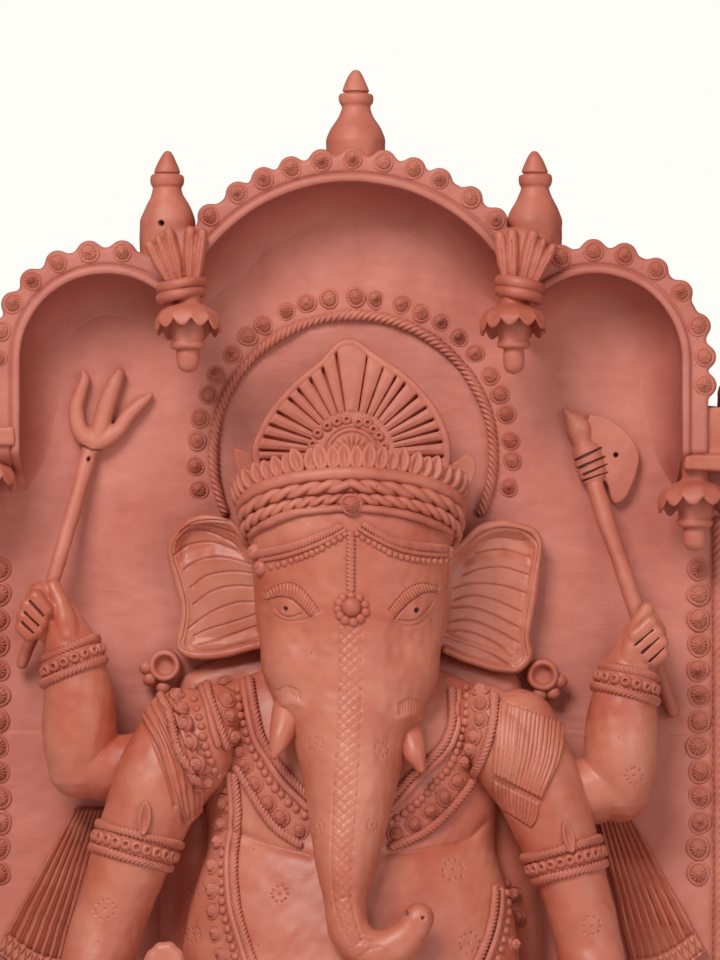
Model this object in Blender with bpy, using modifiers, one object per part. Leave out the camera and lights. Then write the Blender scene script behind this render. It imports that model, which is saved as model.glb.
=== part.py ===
"""Terracotta ganesha idol seated in a three-lobed niche, as separate clay pieces luted together.

Metres, +Z up, the figure faces -Y. The origin is on the floor under the middle of the plinth.
Places are given as (x, depth, height): x to the viewer's right from the middle, depth forward from the
face of the back panel, height above the seat. A piece that is luted to others is trimmed to their
surfaces, so that only a thin slip joint stays between them.
"""
import math

import bmesh
import bpy
from mathutils import Matrix, Vector

# Joints and pressing
SLIP_JOINT = 0.0004
PRESS_DEPTH = 0.004
LARGEST_CORNER = 1.8

# Plinth, a box of slabs
PLINTH_WIDTH = 0.704
PLINTH_DEPTH = 0.244
PLINTH_HEIGHT = 0.090
PLINTH_SLAB = 0.018
PLINTH_OVERHANG = 0.007
SLAB_EDGE = 0.0025

# Back panel, two slabs with a seam; heights above the seat are drawn for a lower slab of the drawn height
PANEL_THICKNESS = 0.023
PANEL_SETBACK = 0.004
PANEL_SHOULDER = 0.0565
LOWER_SLAB_HEIGHT = 0.368
DRAWN_SLAB_HEIGHT = 0.368
PANEL_TOP_INSET = 0.003

# Head and trunk: (x, depth, height, half width, half thickness)
HEAD_STATIONS = [
    (0.000, 0.066, 0.553, 0.050, 0.022),
    (0.000, 0.063, 0.542, 0.0735, 0.047),
    (0.000, 0.066, 0.512, 0.0777, 0.052),
    (0.000, 0.070, 0.480, 0.0750, 0.053),
    (0.000, 0.074, 0.449, 0.0707, 0.052),
    (0.000, 0.082, 0.410, 0.0617, 0.049),
    (0.000, 0.093, 0.382, 0.0500, 0.043),
    (0.000, 0.105, 0.346, 0.0380, 0.036),
    (-0.001, 0.113, 0.322, 0.0328, 0.032),
    (-0.003, 0.127, 0.282, 0.0246, 0.026),
    (-0.004, 0.135, 0.252, 0.0165, 0.019),
    (-0.001, 0.139, 0.231, 0.0158, 0.017),
    (0.009, 0.141, 0.2185, 0.0155, 0.016),
    (0.0255, 0.142, 0.2155, 0.0150, 0.0155),
    (0.042, 0.142, 0.2250, 0.0140, 0.0145),
    (0.052, 0.142, 0.2400, 0.0122, 0.0125),
]
HEAD_SIDES = 14

# Heights, each from the piece below it: crown on the head, fan and halo on the crown, arches over the halo
CROWN_SINK = 0.0245
FAN_LIFT = 0.0655
ARCH_LIFT = 0.072
SIDE_ARCH_LIFT = 0.002
CROWN_HEIGHT = HEAD_STATIONS[0][2] - CROWN_SINK
FAN_HEIGHT = CROWN_HEIGHT + FAN_LIFT
HALO_HEIGHT = FAN_HEIGHT
CENTRE_ARCH_HEIGHT = HALO_HEIGHT + ARCH_LIFT
SIDE_ARCH_HEIGHT = CENTRE_ARCH_HEIGHT + SIDE_ARCH_LIFT

# Niche arches; radii are to the groove inside the rosette strip
CENTRE_ARCH_RADIUS = 0.1497
SIDE_ARCH_RADIUS = 0.0755
SIDE_ARCH_OFFSET = 0.192
ARCH_DEPTH = 0.056
STRIP_WIDTH = 0.0140
GROOVE_DEPTH = 0.002
GROOVE_HALF_WIDTH = 0.001
STRIP_EDGE = 0.003
ROLL_LIP = 0.006
CUSP_SPARE = math.radians(14)
ROLL_WIDTH = 0.007
ROLL_RISE = 0.0025
COVE_WIDTH = 0.029
COVE_TOE_ANGLE = math.radians(74)
CENTRE_ARCH_STEPS = 16
SIDE_ARCH_STEPS = 9
ARCH_FOOT = SIDE_ARCH_OFFSET + SIDE_ARCH_RADIUS
PANEL_HALF_WIDTH = ARCH_FOOT + STRIP_WIDTH + PANEL_SHOULDER

# Stamped rosettes
ROSETTE_RADIUS = 0.0090
ROSETTE_RISE = 0.0042
ROSETTE_CROWN = 0.66
ROSETTE_SIDES = 6
ARCH_ROSETTE_LINE = 0.0100
ARCH_ROSETTE_PITCH = 0.0242

# Capitals at the outer feet of the side arches
ARCH_LEG = 0.070
CAPITAL_THICKNESS = 0.014
CAPITAL_SHOULDER_RISE = 0.032
CAPITAL_LEDGE_HEIGHT = SIDE_ARCH_HEIGHT - ARCH_LEG
CAPITAL_FOOT_HEIGHT = CAPITAL_LEDGE_HEIGHT - CAPITAL_THICKNESS
CAPITAL_SHOULDER_HEIGHT = CAPITAL_LEDGE_HEIGHT + CAPITAL_SHOULDER_RISE
CAPITAL_REACH = 0.0075
CAPITAL_SHOULDER_GAP = 0.0085
CAPITAL_INNER = ARCH_FOOT - CAPITAL_REACH
CAPITAL_SHOULDER_INNER = ARCH_FOOT + STRIP_WIDTH + CAPITAL_SHOULDER_GAP
CAPITAL_PROUD = 0.006

# Finials, turned
FINIAL_RADIUS = 0.0232
FINIAL_HEIGHT = 0.0690
FINIAL_FOOT = 0.020
FINIAL_FOOT_SHARE = 0.90
FINIAL_DEPTH = 0.026
FINIAL_STEPS = 9
VALLEY_FINIAL_OFFSET = 0.1455
VALLEY_FINIAL_LIFT = 0.0995
VALLEY_FINIAL_BASE = CENTRE_ARCH_HEIGHT + VALLEY_FINIAL_LIFT
CENTRE_FINIAL_OFFSET = 0.004
OUTER_FINIAL_INSET = 0.0255
OUTER_FINIAL_OFFSET = PANEL_HALF_WIDTH - OUTER_FINIAL_INSET
CENTRE_FINIAL_SCALE = 1.07

# Sheaf brackets on the cusps and the pendants under them
BRACKET_TOP_OFFSET = 0.136
BRACKET_FOOT_OFFSET = 0.1325
BRACKET_LIFT = 0.009784
BRACKET_LENGTH = 0.0375
BRACKET_TOP_HALF_WIDTH = 0.0255
BRACKET_FOOT_HALF_WIDTH = 0.0150
BRACKET_WAIST = 0.96
BRACKET_TOP_RISE = 0.0180
BRACKET_FOOT_RISE = 0.0210
BRACKET_SIDES = 16
FLUTE = 0.10
PENDANT_OFFSET = 0.1285
PENDANT_DROP = 0.0020
PENDANT_LENGTH = 0.0725
PENDANT_RADIUS = 0.0255
PENDANT_SIDES = 10
TIE_SHARE = 0.62
SCALLOP_LIFT = 0.35
OUTER_PENDANT_INSET = 0.009
OUTER_PENDANT_OFFSET = CAPITAL_INNER + OUTER_PENDANT_INSET
OUTER_PENDANT_DEPTH = 0.040
OUTER_PENDANT_LENGTH = 0.066

# Side border and halo
BORDER_OFFSET = 0.278
BORDER_TOP_RISE = 0.135
BORDER_TOP_HEIGHT = DRAWN_SLAB_HEIGHT + BORDER_TOP_RISE
BORDER_PITCH = 0.0203
BORDER_COUNT = 24
BORDER_ROSETTE_RADIUS = 0.0095
ROPE_OFFSET = 0.2935
ROPE_RADIUS = 0.0048
ROPE_FOOT_HEIGHT = 0.0014
ROPE_TOP_GAP = 0.039
ROPE_TOP_HEIGHT = CAPITAL_FOOT_HEIGHT - ROPE_TOP_GAP
ROPE_SHARE = 0.72
HALO_OFFSET = 0.002
HALO_RADIUS = 0.112
HALO_ROSETTE_LINE = 0.0143
HALO_ROSETTE_COUNT = 25
HALO_LOW_ANGLE = math.radians(-20)
HALO_ROPE_RADIUS = 0.0047
HALO_STEPS = 20

# Torso: (height, half width, front)
TORSO_BACK = -0.006
TORSO_STATIONS = [
    (0.004, 0.088, 0.088),
    (0.030, 0.113, 0.116),
    (0.070, 0.128, 0.131),
    (0.120, 0.134, 0.136),
    (0.170, 0.134, 0.134),
    (0.220, 0.130, 0.123),
    (0.257, 0.121, 0.112),
    (0.290, 0.113, 0.099),
    (0.334, 0.119, 0.095),
    (0.368, 0.127, 0.089),
    (0.393, 0.121, 0.080),
    (0.410, 0.098, 0.068),
    (0.419, 0.060, 0.056),
]
TORSO_SIDES = 18

# Ears: outline of the viewer's right ear as (x, height), from the crown round to the cheek
EAR_RIM = [
    (0.080, 0.527), (0.096, 0.537), (0.112, 0.5435), (0.134, 0.5415), (0.148, 0.530), (0.1495, 0.511),
    (0.1405, 0.484), (0.1360, 0.460), (0.1395, 0.438), (0.134, 0.4285), (0.112, 0.4305), (0.070, 0.441),
]
EAR_ROOT = [(0.050, 0.446), (0.050, 0.522)]
EAR_BACK_DEPTH = 0.010
EAR_FRONT_DEPTH = 0.020
EAR_ROLL_RADIUS = 0.0052
EAR_SLOPE = 0.24
EAR_SLOPE_FROM = 0.150

# Earrings and tusks
EARRING_OFFSET = 0.1505
EARRING_HEIGHT = 0.421
EARRING_RADIUS = 0.0142
EARRING_RISE = 0.0115
EARRING_SIDES = 10
EARRING_BEAD_RADIUS = 0.0050
EARRING_BEAD_SINK = 0.78
EARRING_BEAD_ANGLES = (-150, -118, -86, -54)
TUSK_ROOT = (0.0470, 0.086, 0.399)
TUSK_TIP = (0.0580, 0.112, 0.354)
TUSK_ROOT_RADIUS = 0.0112
TUSK_TIP_RADIUS = 0.0062
TUSK_SIDES = 7

# Crown, set on the head with its front raised
CROWN_DEPTH = 0.070
CROWN_TILT = math.radians(30)
CROWN_SIDES = 20
CROWN_PROFILE = [
    (0.000, 0.0785, 0.0495), (0.003, 0.0815, 0.0525), (0.006, 0.0800, 0.0510), (0.0115, 0.0850, 0.0555),
    (0.0165, 0.0825, 0.0530), (0.0220, 0.0865, 0.0565), (0.0278, 0.0840, 0.0540), (0.0325, 0.0885, 0.0585),
    (0.0362, 0.0850, 0.0550), (0.0372, 0.0740, 0.0450), (0.0480, 0.0380, 0.0250),
]
PETAL_COUNT = 25
PETAL_SWEEP = math.radians(98)
PETAL_FOOT = 0.0378
PETAL_TOP = 0.0545
PETAL_VALLEY = 0.0455
PETAL_HALF_WIDTH = 0.0868
PETAL_HALF_DEPTH = 0.0560
PETAL_THICKNESS = 0.0055
FAN_OUTLINE = [(0.0775, 0.0), (0.0700, 0.026), (0.0520, 0.0515), (0.0250, 0.0750), (0.0, 0.0905)]
FAN_FOOT = 0.034
FAN_FOOT_SHARE = 0.86
FAN_DEPTH = 0.048
FAN_THICKNESS = 0.009
FAN_LEAN = math.radians(9)
FAN_JOINT = 0.0010
FAN_SLOT_COUNT = 20
FAN_SLOT_INNER = 0.038
FAN_SLOT_OUTER = 0.0680
FAN_SLOT_WIDTH = 0.0022
FAN_HUB_RADIUS = 0.032
FAN_HUB_RISE = 0.004
HUB_STEPS = 18
SIDE_LEAF_OUTLINE = [
    (-0.010, -0.014), (0.009, -0.014), (0.0115, 0.006), (0.006, 0.0165), (-0.003, 0.015), (-0.010, 0.002),
]
SIDE_LEAF_OFFSET = 0.0870
SIDE_LEAF_LIFT = 0.0505
SIDE_LEAF_HEIGHT = CROWN_HEIGHT + SIDE_LEAF_LIFT
SIDE_LEAF_DEPTH = 0.052
SIDE_LEAF_THICKNESS = 0.008
BOSS_RADIUS = 0.0082
BOSS_RISE = 0.0075
BOSS_STEPS = 12
BOSS_LIFT = 0.027
BOSS_HEIGHT = CROWN_HEIGHT + BOSS_LIFT
BROW_FLOWER_DROP = 0.0525
BROW_FLOWER_HEIGHT = CROWN_HEIGHT - BROW_FLOWER_DROP
BROW_FLOWER_RADIUS = 0.0138
BROW_FLOWER_RISE = 0.007

# Raised rear arms: forearm (x, depth, height, radius), then wrist to fist; the second arm hangs lower
REAR_FOREARM = [
    (0.2120, 0.045, 0.348, 0.0262), (0.2135, 0.047, 0.372, 0.0295), (0.2145, 0.046, 0.402, 0.0280),
    (0.2185, 0.044, 0.433, 0.0230), (0.2225, 0.042, 0.449, 0.0208), (0.2275, 0.041, 0.464, 0.0180),
]
REAR_UPPER_ARM = [
    (0.150, 0.040, 0.352, 0.0270), (0.182, 0.044, 0.346, 0.0270), (0.210, 0.046, 0.352, 0.0255),
]
FIST = [(0.2420, 0.047, 0.456, 0.0135), (0.2470, 0.048, 0.470, 0.0150), (0.2445, 0.047, 0.484, 0.0125)]
THUMB = [(0.2215, 0.052, 0.450, 0.0115), (0.2265, 0.051, 0.472, 0.0085), (0.2345, 0.046, 0.490, 0.0062)]
REAR_ARM_DROP = {-1: 0.000, 1: 0.018}
REAR_ARM_SHIFT = {-1: 0.000, 1: -0.006}
REAR_WRIST_BAND = [(0.2170, 0.0445, 0.420, 0.0282), (0.2222, 0.0425, 0.4435, 0.0252)]
LIMB_SIDES = 9
BAND_SIDES = 11
SMALL_SIDES = 6

# Front arms: (x, depth, height, radius), shoulder to wrist, then the hands
BLESSING_ARM = [
    (-0.143, 0.056, 0.372, 0.0390), (-0.158, 0.064, 0.335, 0.0390), (-0.169, 0.070, 0.290, 0.0340),
    (-0.182, 0.074, 0.251, 0.0295), (-0.194, 0.080, 0.212, 0.0280), (-0.200, 0.096, 0.170, 0.0275),
    (-0.186, 0.124, 0.146, 0.0240), (-0.162, 0.142, 0.142, 0.0190),
]
BLESSING_HAND = [
    (-0.160, 0.140, 0.140, 0.0170), (-0.152, 0.144, 0.166, 0.0215), (-0.147, 0.142, 0.196, 0.0205),
]
BLESSING_FINGERS = [(-0.1625, 0.210), (-0.1515, 0.216), (-0.1405, 0.217), (-0.1305, 0.211)]
BLESSING_THUMB = [(-0.136, 0.148, 0.160, 0.0085), (-0.125, 0.152, 0.180, 0.0065)]
FINGER_RADIUS = 0.0058
FINGER_TAPER = 0.9
OFFERING_ARM = [
    (0.143, 0.056, 0.372, 0.0380), (0.158, 0.064, 0.330, 0.0370), (0.169, 0.070, 0.277, 0.0310),
    (0.180, 0.074, 0.234, 0.0270), (0.188, 0.080, 0.200, 0.0260), (0.192, 0.098, 0.166, 0.0260),
    (0.178, 0.128, 0.140, 0.0230), (0.156, 0.150, 0.132, 0.0185),
]
OFFERING_HAND = [(0.158, 0.150, 0.132, 0.0165), (0.134, 0.164, 0.131, 0.0200), (0.112, 0.172, 0.133, 0.0150)]
HAND_FLATTEN = 0.62
LEFT_ARMLET = [(-0.1665, 0.069, 0.302, 0.0398), (-0.1735, 0.0715, 0.276, 0.0372)]
RIGHT_ARMLET = [(0.1665, 0.069, 0.290, 0.0372), (0.1735, 0.0715, 0.263, 0.0338)]

# Crossed legs: (x, depth, height, radius)
THIGH = [(0.070, 0.070, 0.056, 0.050), (0.130, 0.098, 0.052, 0.048), (0.190, 0.122, 0.047, 0.041)]
FRONT_SHIN = [(-0.190, 0.122, 0.047, 0.040), (-0.120, 0.156, 0.038, 0.034), (-0.040, 0.174, 0.031, 0.027),
              (0.010, 0.178, 0.027, 0.023)]
FRONT_FOOT = [(0.010, 0.178, 0.025, 0.022), (0.045, 0.180, 0.022, 0.021), (0.080, 0.178, 0.018, 0.016)]
BACK_SHIN = [(0.190, 0.122, 0.047, 0.040), (0.125, 0.148, 0.040, 0.034), (0.055, 0.152, 0.036, 0.028),
             (0.000, 0.146, 0.034, 0.024)]
LEG_SIDES = 9

# Held things
TRIDENT_SHAFT = [
    (-0.2083, 0.006, 0.597, 0.0070), (-0.223, 0.022, 0.542, 0.0062), (-0.2390, 0.036, 0.484, 0.0055),
    (-0.262, 0.012, 0.428, 0.0052),
]
TRIDENT_ROOT = (-0.207, 0.006, 0.600, 0.0072)
TRIDENT_PRONGS = [
    [(-0.221, 0.006, 0.621, 0.0058), (-0.221, 0.006, 0.641, 0.0048), (-0.2135, 0.006, 0.660, 0.0024)],
    [(-0.199, 0.006, 0.618, 0.0062), (-0.194, 0.006, 0.640, 0.0052), (-0.185, 0.006, 0.660, 0.0024)],
    [(-0.189, 0.006, 0.610, 0.0060), (-0.175, 0.006, 0.624, 0.0050), (-0.159, 0.006, 0.642, 0.0024)],
]
AXE_SHAFT = [
    (0.190, 0.006, 0.583, 0.0070), (0.205, 0.020, 0.535, 0.0070), (0.2275, 0.034, 0.466, 0.0066),
    (0.246, 0.012, 0.420, 0.0066), (0.2565, 0.008, 0.390, 0.0060),
]
AXE_POINT = [
    (0.190, 0.007, 0.586, 0.0090), (0.1805, 0.007, 0.606, 0.0126), (0.1745, 0.007, 0.620, 0.0068),
    (0.1712, 0.007, 0.629, 0.0026),
]
AXE_BINDING = [(0.1955, 0.007, 0.5715, 0.0128), (0.1860, 0.007, 0.5965, 0.0138)]
AXE_BLADE = [
    (0.1870, 0.6300), (0.2080, 0.6225), (0.2240, 0.607), (0.2300, 0.5925), (0.2255, 0.5715), (0.2105, 0.5540),
    (0.2060, 0.5710), (0.1990, 0.5790), (0.1930, 0.5960),
]
AXE_BLADE_THICKNESS = 0.009
SHAFT_SIDES = 6
BINDING_SIDES = 8

# Cloth and jewellery laid on the body: outlines (x, height)
LAID_THICKNESS = 0.0055
NECKLACE_OUTER = [
    (-0.1020, 0.4150), (-0.0900, 0.3560), (-0.0400, 0.2915), (0.0, 0.2780), (0.0390, 0.2880),
    (0.0920, 0.3460), (0.1100, 0.4060),
]
NECKLACE_INNER = [
    (0.0800, 0.4180), (0.0690, 0.3690), (0.0310, 0.3160), (0.0, 0.3035), (-0.0320, 0.3150), (-0.0640, 0.3650),
    (-0.0720, 0.4190),
]
GARLAND_OUTER = [
    (-0.1180, 0.345), (-0.1180, 0.270), (-0.1185, 0.200), (-0.1120, 0.140), (-0.0860, 0.082), (-0.030, 0.054),
    (0.040, 0.054), (0.096, 0.086), (0.1220, 0.144), (0.1270, 0.205), (0.1230, 0.262),
]
GARLAND_INNER = [
    (0.1080, 0.262), (0.1110, 0.205), (0.1050, 0.152), (0.080, 0.103), (0.034, 0.076), (-0.024, 0.076),
    (-0.068, 0.101), (-0.0880, 0.150), (-0.0900, 0.200), (-0.0890, 0.262), (-0.0940, 0.345),
]
CLOTH_THICKNESS = 0.0045
CLOTH_OUTLINE = [
    (0.1120, 0.3980), (0.1480, 0.4080), (0.1700, 0.3880), (0.1630, 0.3450), (0.1520, 0.3050),
    (0.1300, 0.3030), (0.1150, 0.3450),
]
LAID_FRONT = 0.190
LAID_BACK = 0.030

# Pleated scarf ends
SCARF_APEX = (0.2080, 0.312)
SCARF_OUTER_END = (0.2840, 0.198)
SCARF_INNER_END = (0.2260, 0.172)
SCARF_APEX_HALF_WIDTH = 0.013
SCARF_PLEATS = 6
SCARF_THICKNESS = 0.010
SCARF_PLEAT_DEPTH = 0.005
SCARF_SAG = 0.010
SCARF_APEX_PLEAT = 0.4

CLAY_COLOURS = {
    "panel_clay": (0.596, 0.209, 0.147, 1.0),
    "figure_clay": (0.571, 0.195, 0.138, 1.0),
    "ornament_clay": (0.539, 0.175, 0.119, 1.0),
    "plinth_clay": (0.520, 0.172, 0.120, 1.0),
}
CLAY_ROUGHNESS = 0.85
SMOOTH_ANGLE = math.radians(38)
FLAT_ANGLE = math.radians(0.4)

# Domed limb ends: reach past the end and share of the radius, for each extra ring
DOME = [(0.72, 0.62)]

PANEL_FACE = PLINTH_DEPTH / 2 - PANEL_SETBACK - PANEL_THICKNESS


def lifted(height):
    """Height above the seat: what is above the seam rides on the lower slab, the rest spreads with it."""
    if height > DRAWN_SLAB_HEIGHT:
        return height + LOWER_SLAB_HEIGHT - DRAWN_SLAB_HEIGHT
    return height * LOWER_SLAB_HEIGHT / DRAWN_SLAB_HEIGHT


def at(x, depth, height):
    """Place in the room of a point given from the panel's face and the seat."""
    return Vector((x, PANEL_FACE - depth, PLINTH_HEIGHT + lifted(height)))


def start_afresh():
    """Empty the scene and make the collection of pieces and the collection of cutters."""
    for thing in list(bpy.data.objects):
        bpy.data.objects.remove(thing)
    made = []
    for name in ("ganesha_idol", "cutters"):
        collection = bpy.data.collections.new(name)
        bpy.context.scene.collection.children.link(collection)
        made.append(collection)
    return made


IDOL, CUTTERS = start_afresh()
CLAYS = {}
for clay_name, colour in CLAY_COLOURS.items():
    clay = bpy.data.materials.new(clay_name)
    clay.use_nodes = True
    shader = clay.node_tree.nodes["Principled BSDF"]
    shader.inputs["Base Color"].default_value = colour
    shader.inputs["Roughness"].default_value = CLAY_ROUGHNESS
    CLAYS[clay_name] = clay


def piece_of(name, shape, clay_name="ornament_clay"):
    """Make an object of the modelled shape, facing outward, in the given clay."""
    bmesh.ops.recalc_face_normals(shape, faces=shape.faces)
    mesh = bpy.data.meshes.new(name)
    shape.to_mesh(mesh)
    shape.free()
    piece = bpy.data.objects.new(name, mesh)
    IDOL.objects.link(piece)
    mesh.materials.append(CLAYS[clay_name])
    return piece


def discard(piece):
    """Take away a helper piece and its mesh."""
    mesh = piece.data
    bpy.data.objects.remove(piece)
    bpy.data.meshes.remove(mesh)


def shaped(piece, join_flats=False):
    """Fix an object's curve or modifiers as a plain welded mesh in the room's axes."""
    graph = bpy.context.evaluated_depsgraph_get()
    mesh = bpy.data.meshes.new_from_object(piece.evaluated_get(graph))
    shape = bmesh.new()
    shape.from_mesh(mesh)
    shape.transform(piece.matrix_world)
    bmesh.ops.remove_doubles(shape, verts=shape.verts, dist=1e-6)
    bmesh.ops.dissolve_degenerate(shape, edges=shape.edges, dist=1e-6)
    if join_flats:
        bmesh.ops.dissolve_limit(shape, angle_limit=FLAT_ANGLE, verts=shape.verts, edges=shape.edges)
    name = piece.name
    clay_name = piece.data.materials[0].name
    bpy.data.objects.remove(piece)
    bpy.data.meshes.remove(mesh)
    return piece_of(name, shape, clay_name)


def combined(piece, other, operation, join_flats=False):
    """Cut, join or intersect a piece with a helper, which is used up."""
    for used in list(other.users_collection):
        used.objects.unlink(other)
    CUTTERS.objects.link(other)
    other.hide_render = True
    other.display_type = "WIRE"
    step = piece.modifiers.new(operation.lower(), "BOOLEAN")
    step.operation = operation
    step.solver = "EXACT"
    step.object = other
    done = shaped(piece, join_flats)
    discard(other)
    return done


def grown(piece, amount):
    """Copy of a piece that is thicker all round by an amount."""
    shape = bmesh.new()
    shape.from_mesh(piece.data)
    shape.normal_update()
    moves = [vert.normal * amount * min(vert.calc_shell_factor(), LARGEST_CORNER) for vert in shape.verts]
    for vert, move in zip(shape.verts, moves):
        vert.co += move
    return piece_of(piece.name + "_grown", shape)


def main_body(piece):
    """Trim off the crumbs that a cut leaves beside the main body."""
    shape = bmesh.new()
    shape.from_mesh(piece.data)
    left = set(shape.verts)
    bodies = []
    while left:
        reached = {left.pop()}
        front = list(reached)
        while front:
            vert = front.pop()
            for edge in vert.link_edges:
                other = edge.other_vert(vert)
                if other not in reached:
                    reached.add(other)
                    front.append(other)
        left -= reached
        bodies.append(reached)

    def spread(body):
        """Diagonal of a body's box."""
        low = [min(vert.co[axis] for vert in body) for axis in range(3)]
        high = [max(vert.co[axis] for vert in body) for axis in range(3)]
        return (Vector(high) - Vector(low)).length

    bodies.sort(key=spread)
    crumbs = [vert for body in bodies[:-1] for vert in body]
    bmesh.ops.delete(shape, geom=crumbs, context="VERTS")
    shape.to_mesh(piece.data)
    shape.free()
    return piece


def seated(piece, *carriers, joint=SLIP_JOINT):
    """Trim a piece to the surfaces of the pieces that it is luted to."""
    for carrier in carriers:
        piece = combined(piece, grown(carrier, joint), "DIFFERENCE")
    return main_body(piece)


def lofted(name, rings, clay_name="ornament_clay"):
    """Solid through rings of points, capped at both ends."""
    shape = bmesh.new()
    loops = [[shape.verts.new(point) for point in ring] for ring in rings]
    shape.faces.new(loops[0])
    shape.faces.new(loops[-1])
    for low, high in zip(loops, loops[1:]):
        for index in range(len(low)):
            after = (index + 1) % len(low)
            shape.faces.new((low[index], low[after], high[after], high[index]))
    bmesh.ops.connect_verts_nonplanar(shape, angle_limit=FLAT_ANGLE, faces=shape.faces)
    return piece_of(name, shape, clay_name)


def limb(name, stations, sides, clay_name="figure_clay", domes=1, flatten=1.0, flute=0.0):
    """Tapered solid along stations (x, depth, height, half width[, half thickness]) with domed ends."""
    path = [row if len(row) == 5 else (*row, row[3] * flatten) for row in stations]
    centres = [at(*row[:3]) for row in path]
    last = len(path) - 1
    ways = [(centres[min(i + 1, last)] - centres[max(i - 1, 0)]).normalized() for i in range(last + 1)]
    rows = list(zip(centres, ways, [row[3:] for row in path]))
    first_row, last_row = rows[0], rows[-1]
    for reach, share in DOME[:domes]:
        for sign, (centre, way, half) in ((-1, first_row), (1, last_row)):
            row = (centre + way * sign * reach * min(half), way, tuple(size * share for size in half))
            rows.insert(0 if sign < 0 else len(rows), row)
    across = Vector((1.0, 0.0, 0.0)) if abs(ways[0].x) < 0.9 else Vector((0.0, 0.0, 1.0))
    rings = []
    for centre, way, (half_width, half_thickness) in rows:
        across = (across - way * across.dot(way)).normalized()
        through = way.cross(across)
        ring = []
        for step in range(sides):
            turn = math.tau * step / sides
            swell = 1 + flute * math.cos(turn * sides / 2)
            spread = across * math.cos(turn) * half_width + through * math.sin(turn) * half_thickness
            ring.append(centre + spread * swell)
        rings.append(ring)
    return lofted(name, rings, clay_name)


def mirrored(stations, side):
    """The same stations on the viewer's left (-1) or right (1)."""
    return [(row[0] * side, *row[1:]) for row in stations]


def plate(name, outline, back, front, clay_name="ornament_clay"):
    """Upright slab of an outline of (x, height) points between two depths."""
    curve = bpy.data.curves.new(name, "CURVE")
    curve.dimensions = "2D"
    curve.fill_mode = "BOTH"
    curve.extrude = (front - back) / 2
    spline = curve.splines.new("POLY")
    spline.points.add(len(outline) - 1)
    for point, (x, height) in zip(spline.points, outline):
        point.co = (x, lifted(height), 0.0, 1.0)
    spline.use_cyclic_u = True
    curve.materials.append(CLAYS[clay_name])
    slab = bpy.data.objects.new(name, curve)
    IDOL.objects.link(slab)
    slab.rotation_euler = (math.pi / 2, 0.0, 0.0)
    slab.location = at(0.0, (back + front) / 2, 0.0)
    bpy.context.view_layer.update()
    return shaped(slab, join_flats=True)


def coil(name, points, radius, clay_name="ornament_clay"):
    """Rolled coil of clay along points (x, depth, height)."""
    curve = bpy.data.curves.new(name, "CURVE")
    curve.dimensions = "3D"
    curve.bevel_depth = radius
    curve.bevel_resolution = 1
    curve.use_fill_caps = True
    spline = curve.splines.new("POLY")
    spline.points.add(len(points) - 1)
    for point, place in zip(spline.points, points):
        point.co = (*at(*place), 1.0)
    curve.materials.append(CLAYS[clay_name])
    rolled = bpy.data.objects.new(name, curve)
    IDOL.objects.link(rolled)
    return shaped(rolled)


def turned(name, profile, place, steps, clay_name="ornament_clay", forward=False):
    """Piece turned round an upright axis, or one pointing forward, from (radius, rise) points."""
    shape = bmesh.new()
    verts = [shape.verts.new((radius, 0.0, rise)) for radius, rise in profile]
    for start, end in zip(verts, verts[1:]):
        shape.edges.new((start, end))
    mesh = bpy.data.meshes.new(name)
    shape.to_mesh(mesh)
    shape.free()
    mesh.materials.append(CLAYS[clay_name])
    piece = bpy.data.objects.new(name, mesh)
    IDOL.objects.link(piece)
    piece.location = at(*place)
    if forward:
        piece.rotation_euler = (math.pi / 2, 0.0, 0.0)
    turn = piece.modifiers.new("turn", "SCREW")
    turn.axis = "Z"
    turn.steps = steps
    turn.render_steps = steps
    turn.use_merge_vertices = True
    turn.merge_threshold = 1e-5
    turn.use_normal_calculate = True
    bpy.context.view_layer.update()
    return shaped(piece)


def slab_box(name, low, high, clay_name="plinth_clay"):
    """Clay slab between two corners with softened edges."""
    shape = bmesh.new()
    bmesh.ops.create_cube(shape, size=1.0)
    size = Vector(high) - Vector(low)
    bmesh.ops.scale(shape, vec=size, verts=shape.verts)
    piece = piece_of(name, shape, clay_name)
    piece.location = (Vector(high) + Vector(low)) / 2
    soften = piece.modifiers.new("soft edges", "BEVEL")
    soften.width = SLAB_EDGE
    soften.segments = 1
    bpy.context.view_layer.update()
    return shaped(piece)


def with_rosettes(piece, places, radius):
    """Press stamped rosettes, given as (x, depth, height) on a surface facing forward, onto a piece."""
    shape = bmesh.new()
    face_forward = Matrix.Rotation(math.pi / 2, 4, "X")
    length = PRESS_DEPTH + ROSETTE_RISE
    for x, depth, height in places:
        middle = at(x, depth + ROSETTE_RISE - length / 2, height)
        bmesh.ops.create_cone(shape, cap_ends=True, segments=ROSETTE_SIDES, radius1=radius,
                              radius2=radius * ROSETTE_CROWN, depth=length,
                              matrix=Matrix.Translation(middle) @ face_forward)
    return combined(piece, piece_of("pressed_rosettes", shape), "UNION", join_flats=True)


def laid_on(name, carrier, outline, thickness, clay_name="ornament_clay"):
    """Sheet of clay within an outline (x, height), laid over the front of a carrier."""
    skin = grown(carrier, thickness)
    skin = combined(skin, plate("outline", outline, LAID_BACK, LAID_FRONT), "INTERSECT")
    skin = combined(skin, grown(carrier, SLIP_JOINT), "DIFFERENCE")
    skin.name = name
    skin.data.materials[0] = CLAYS[clay_name]
    return main_body(skin)


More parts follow.
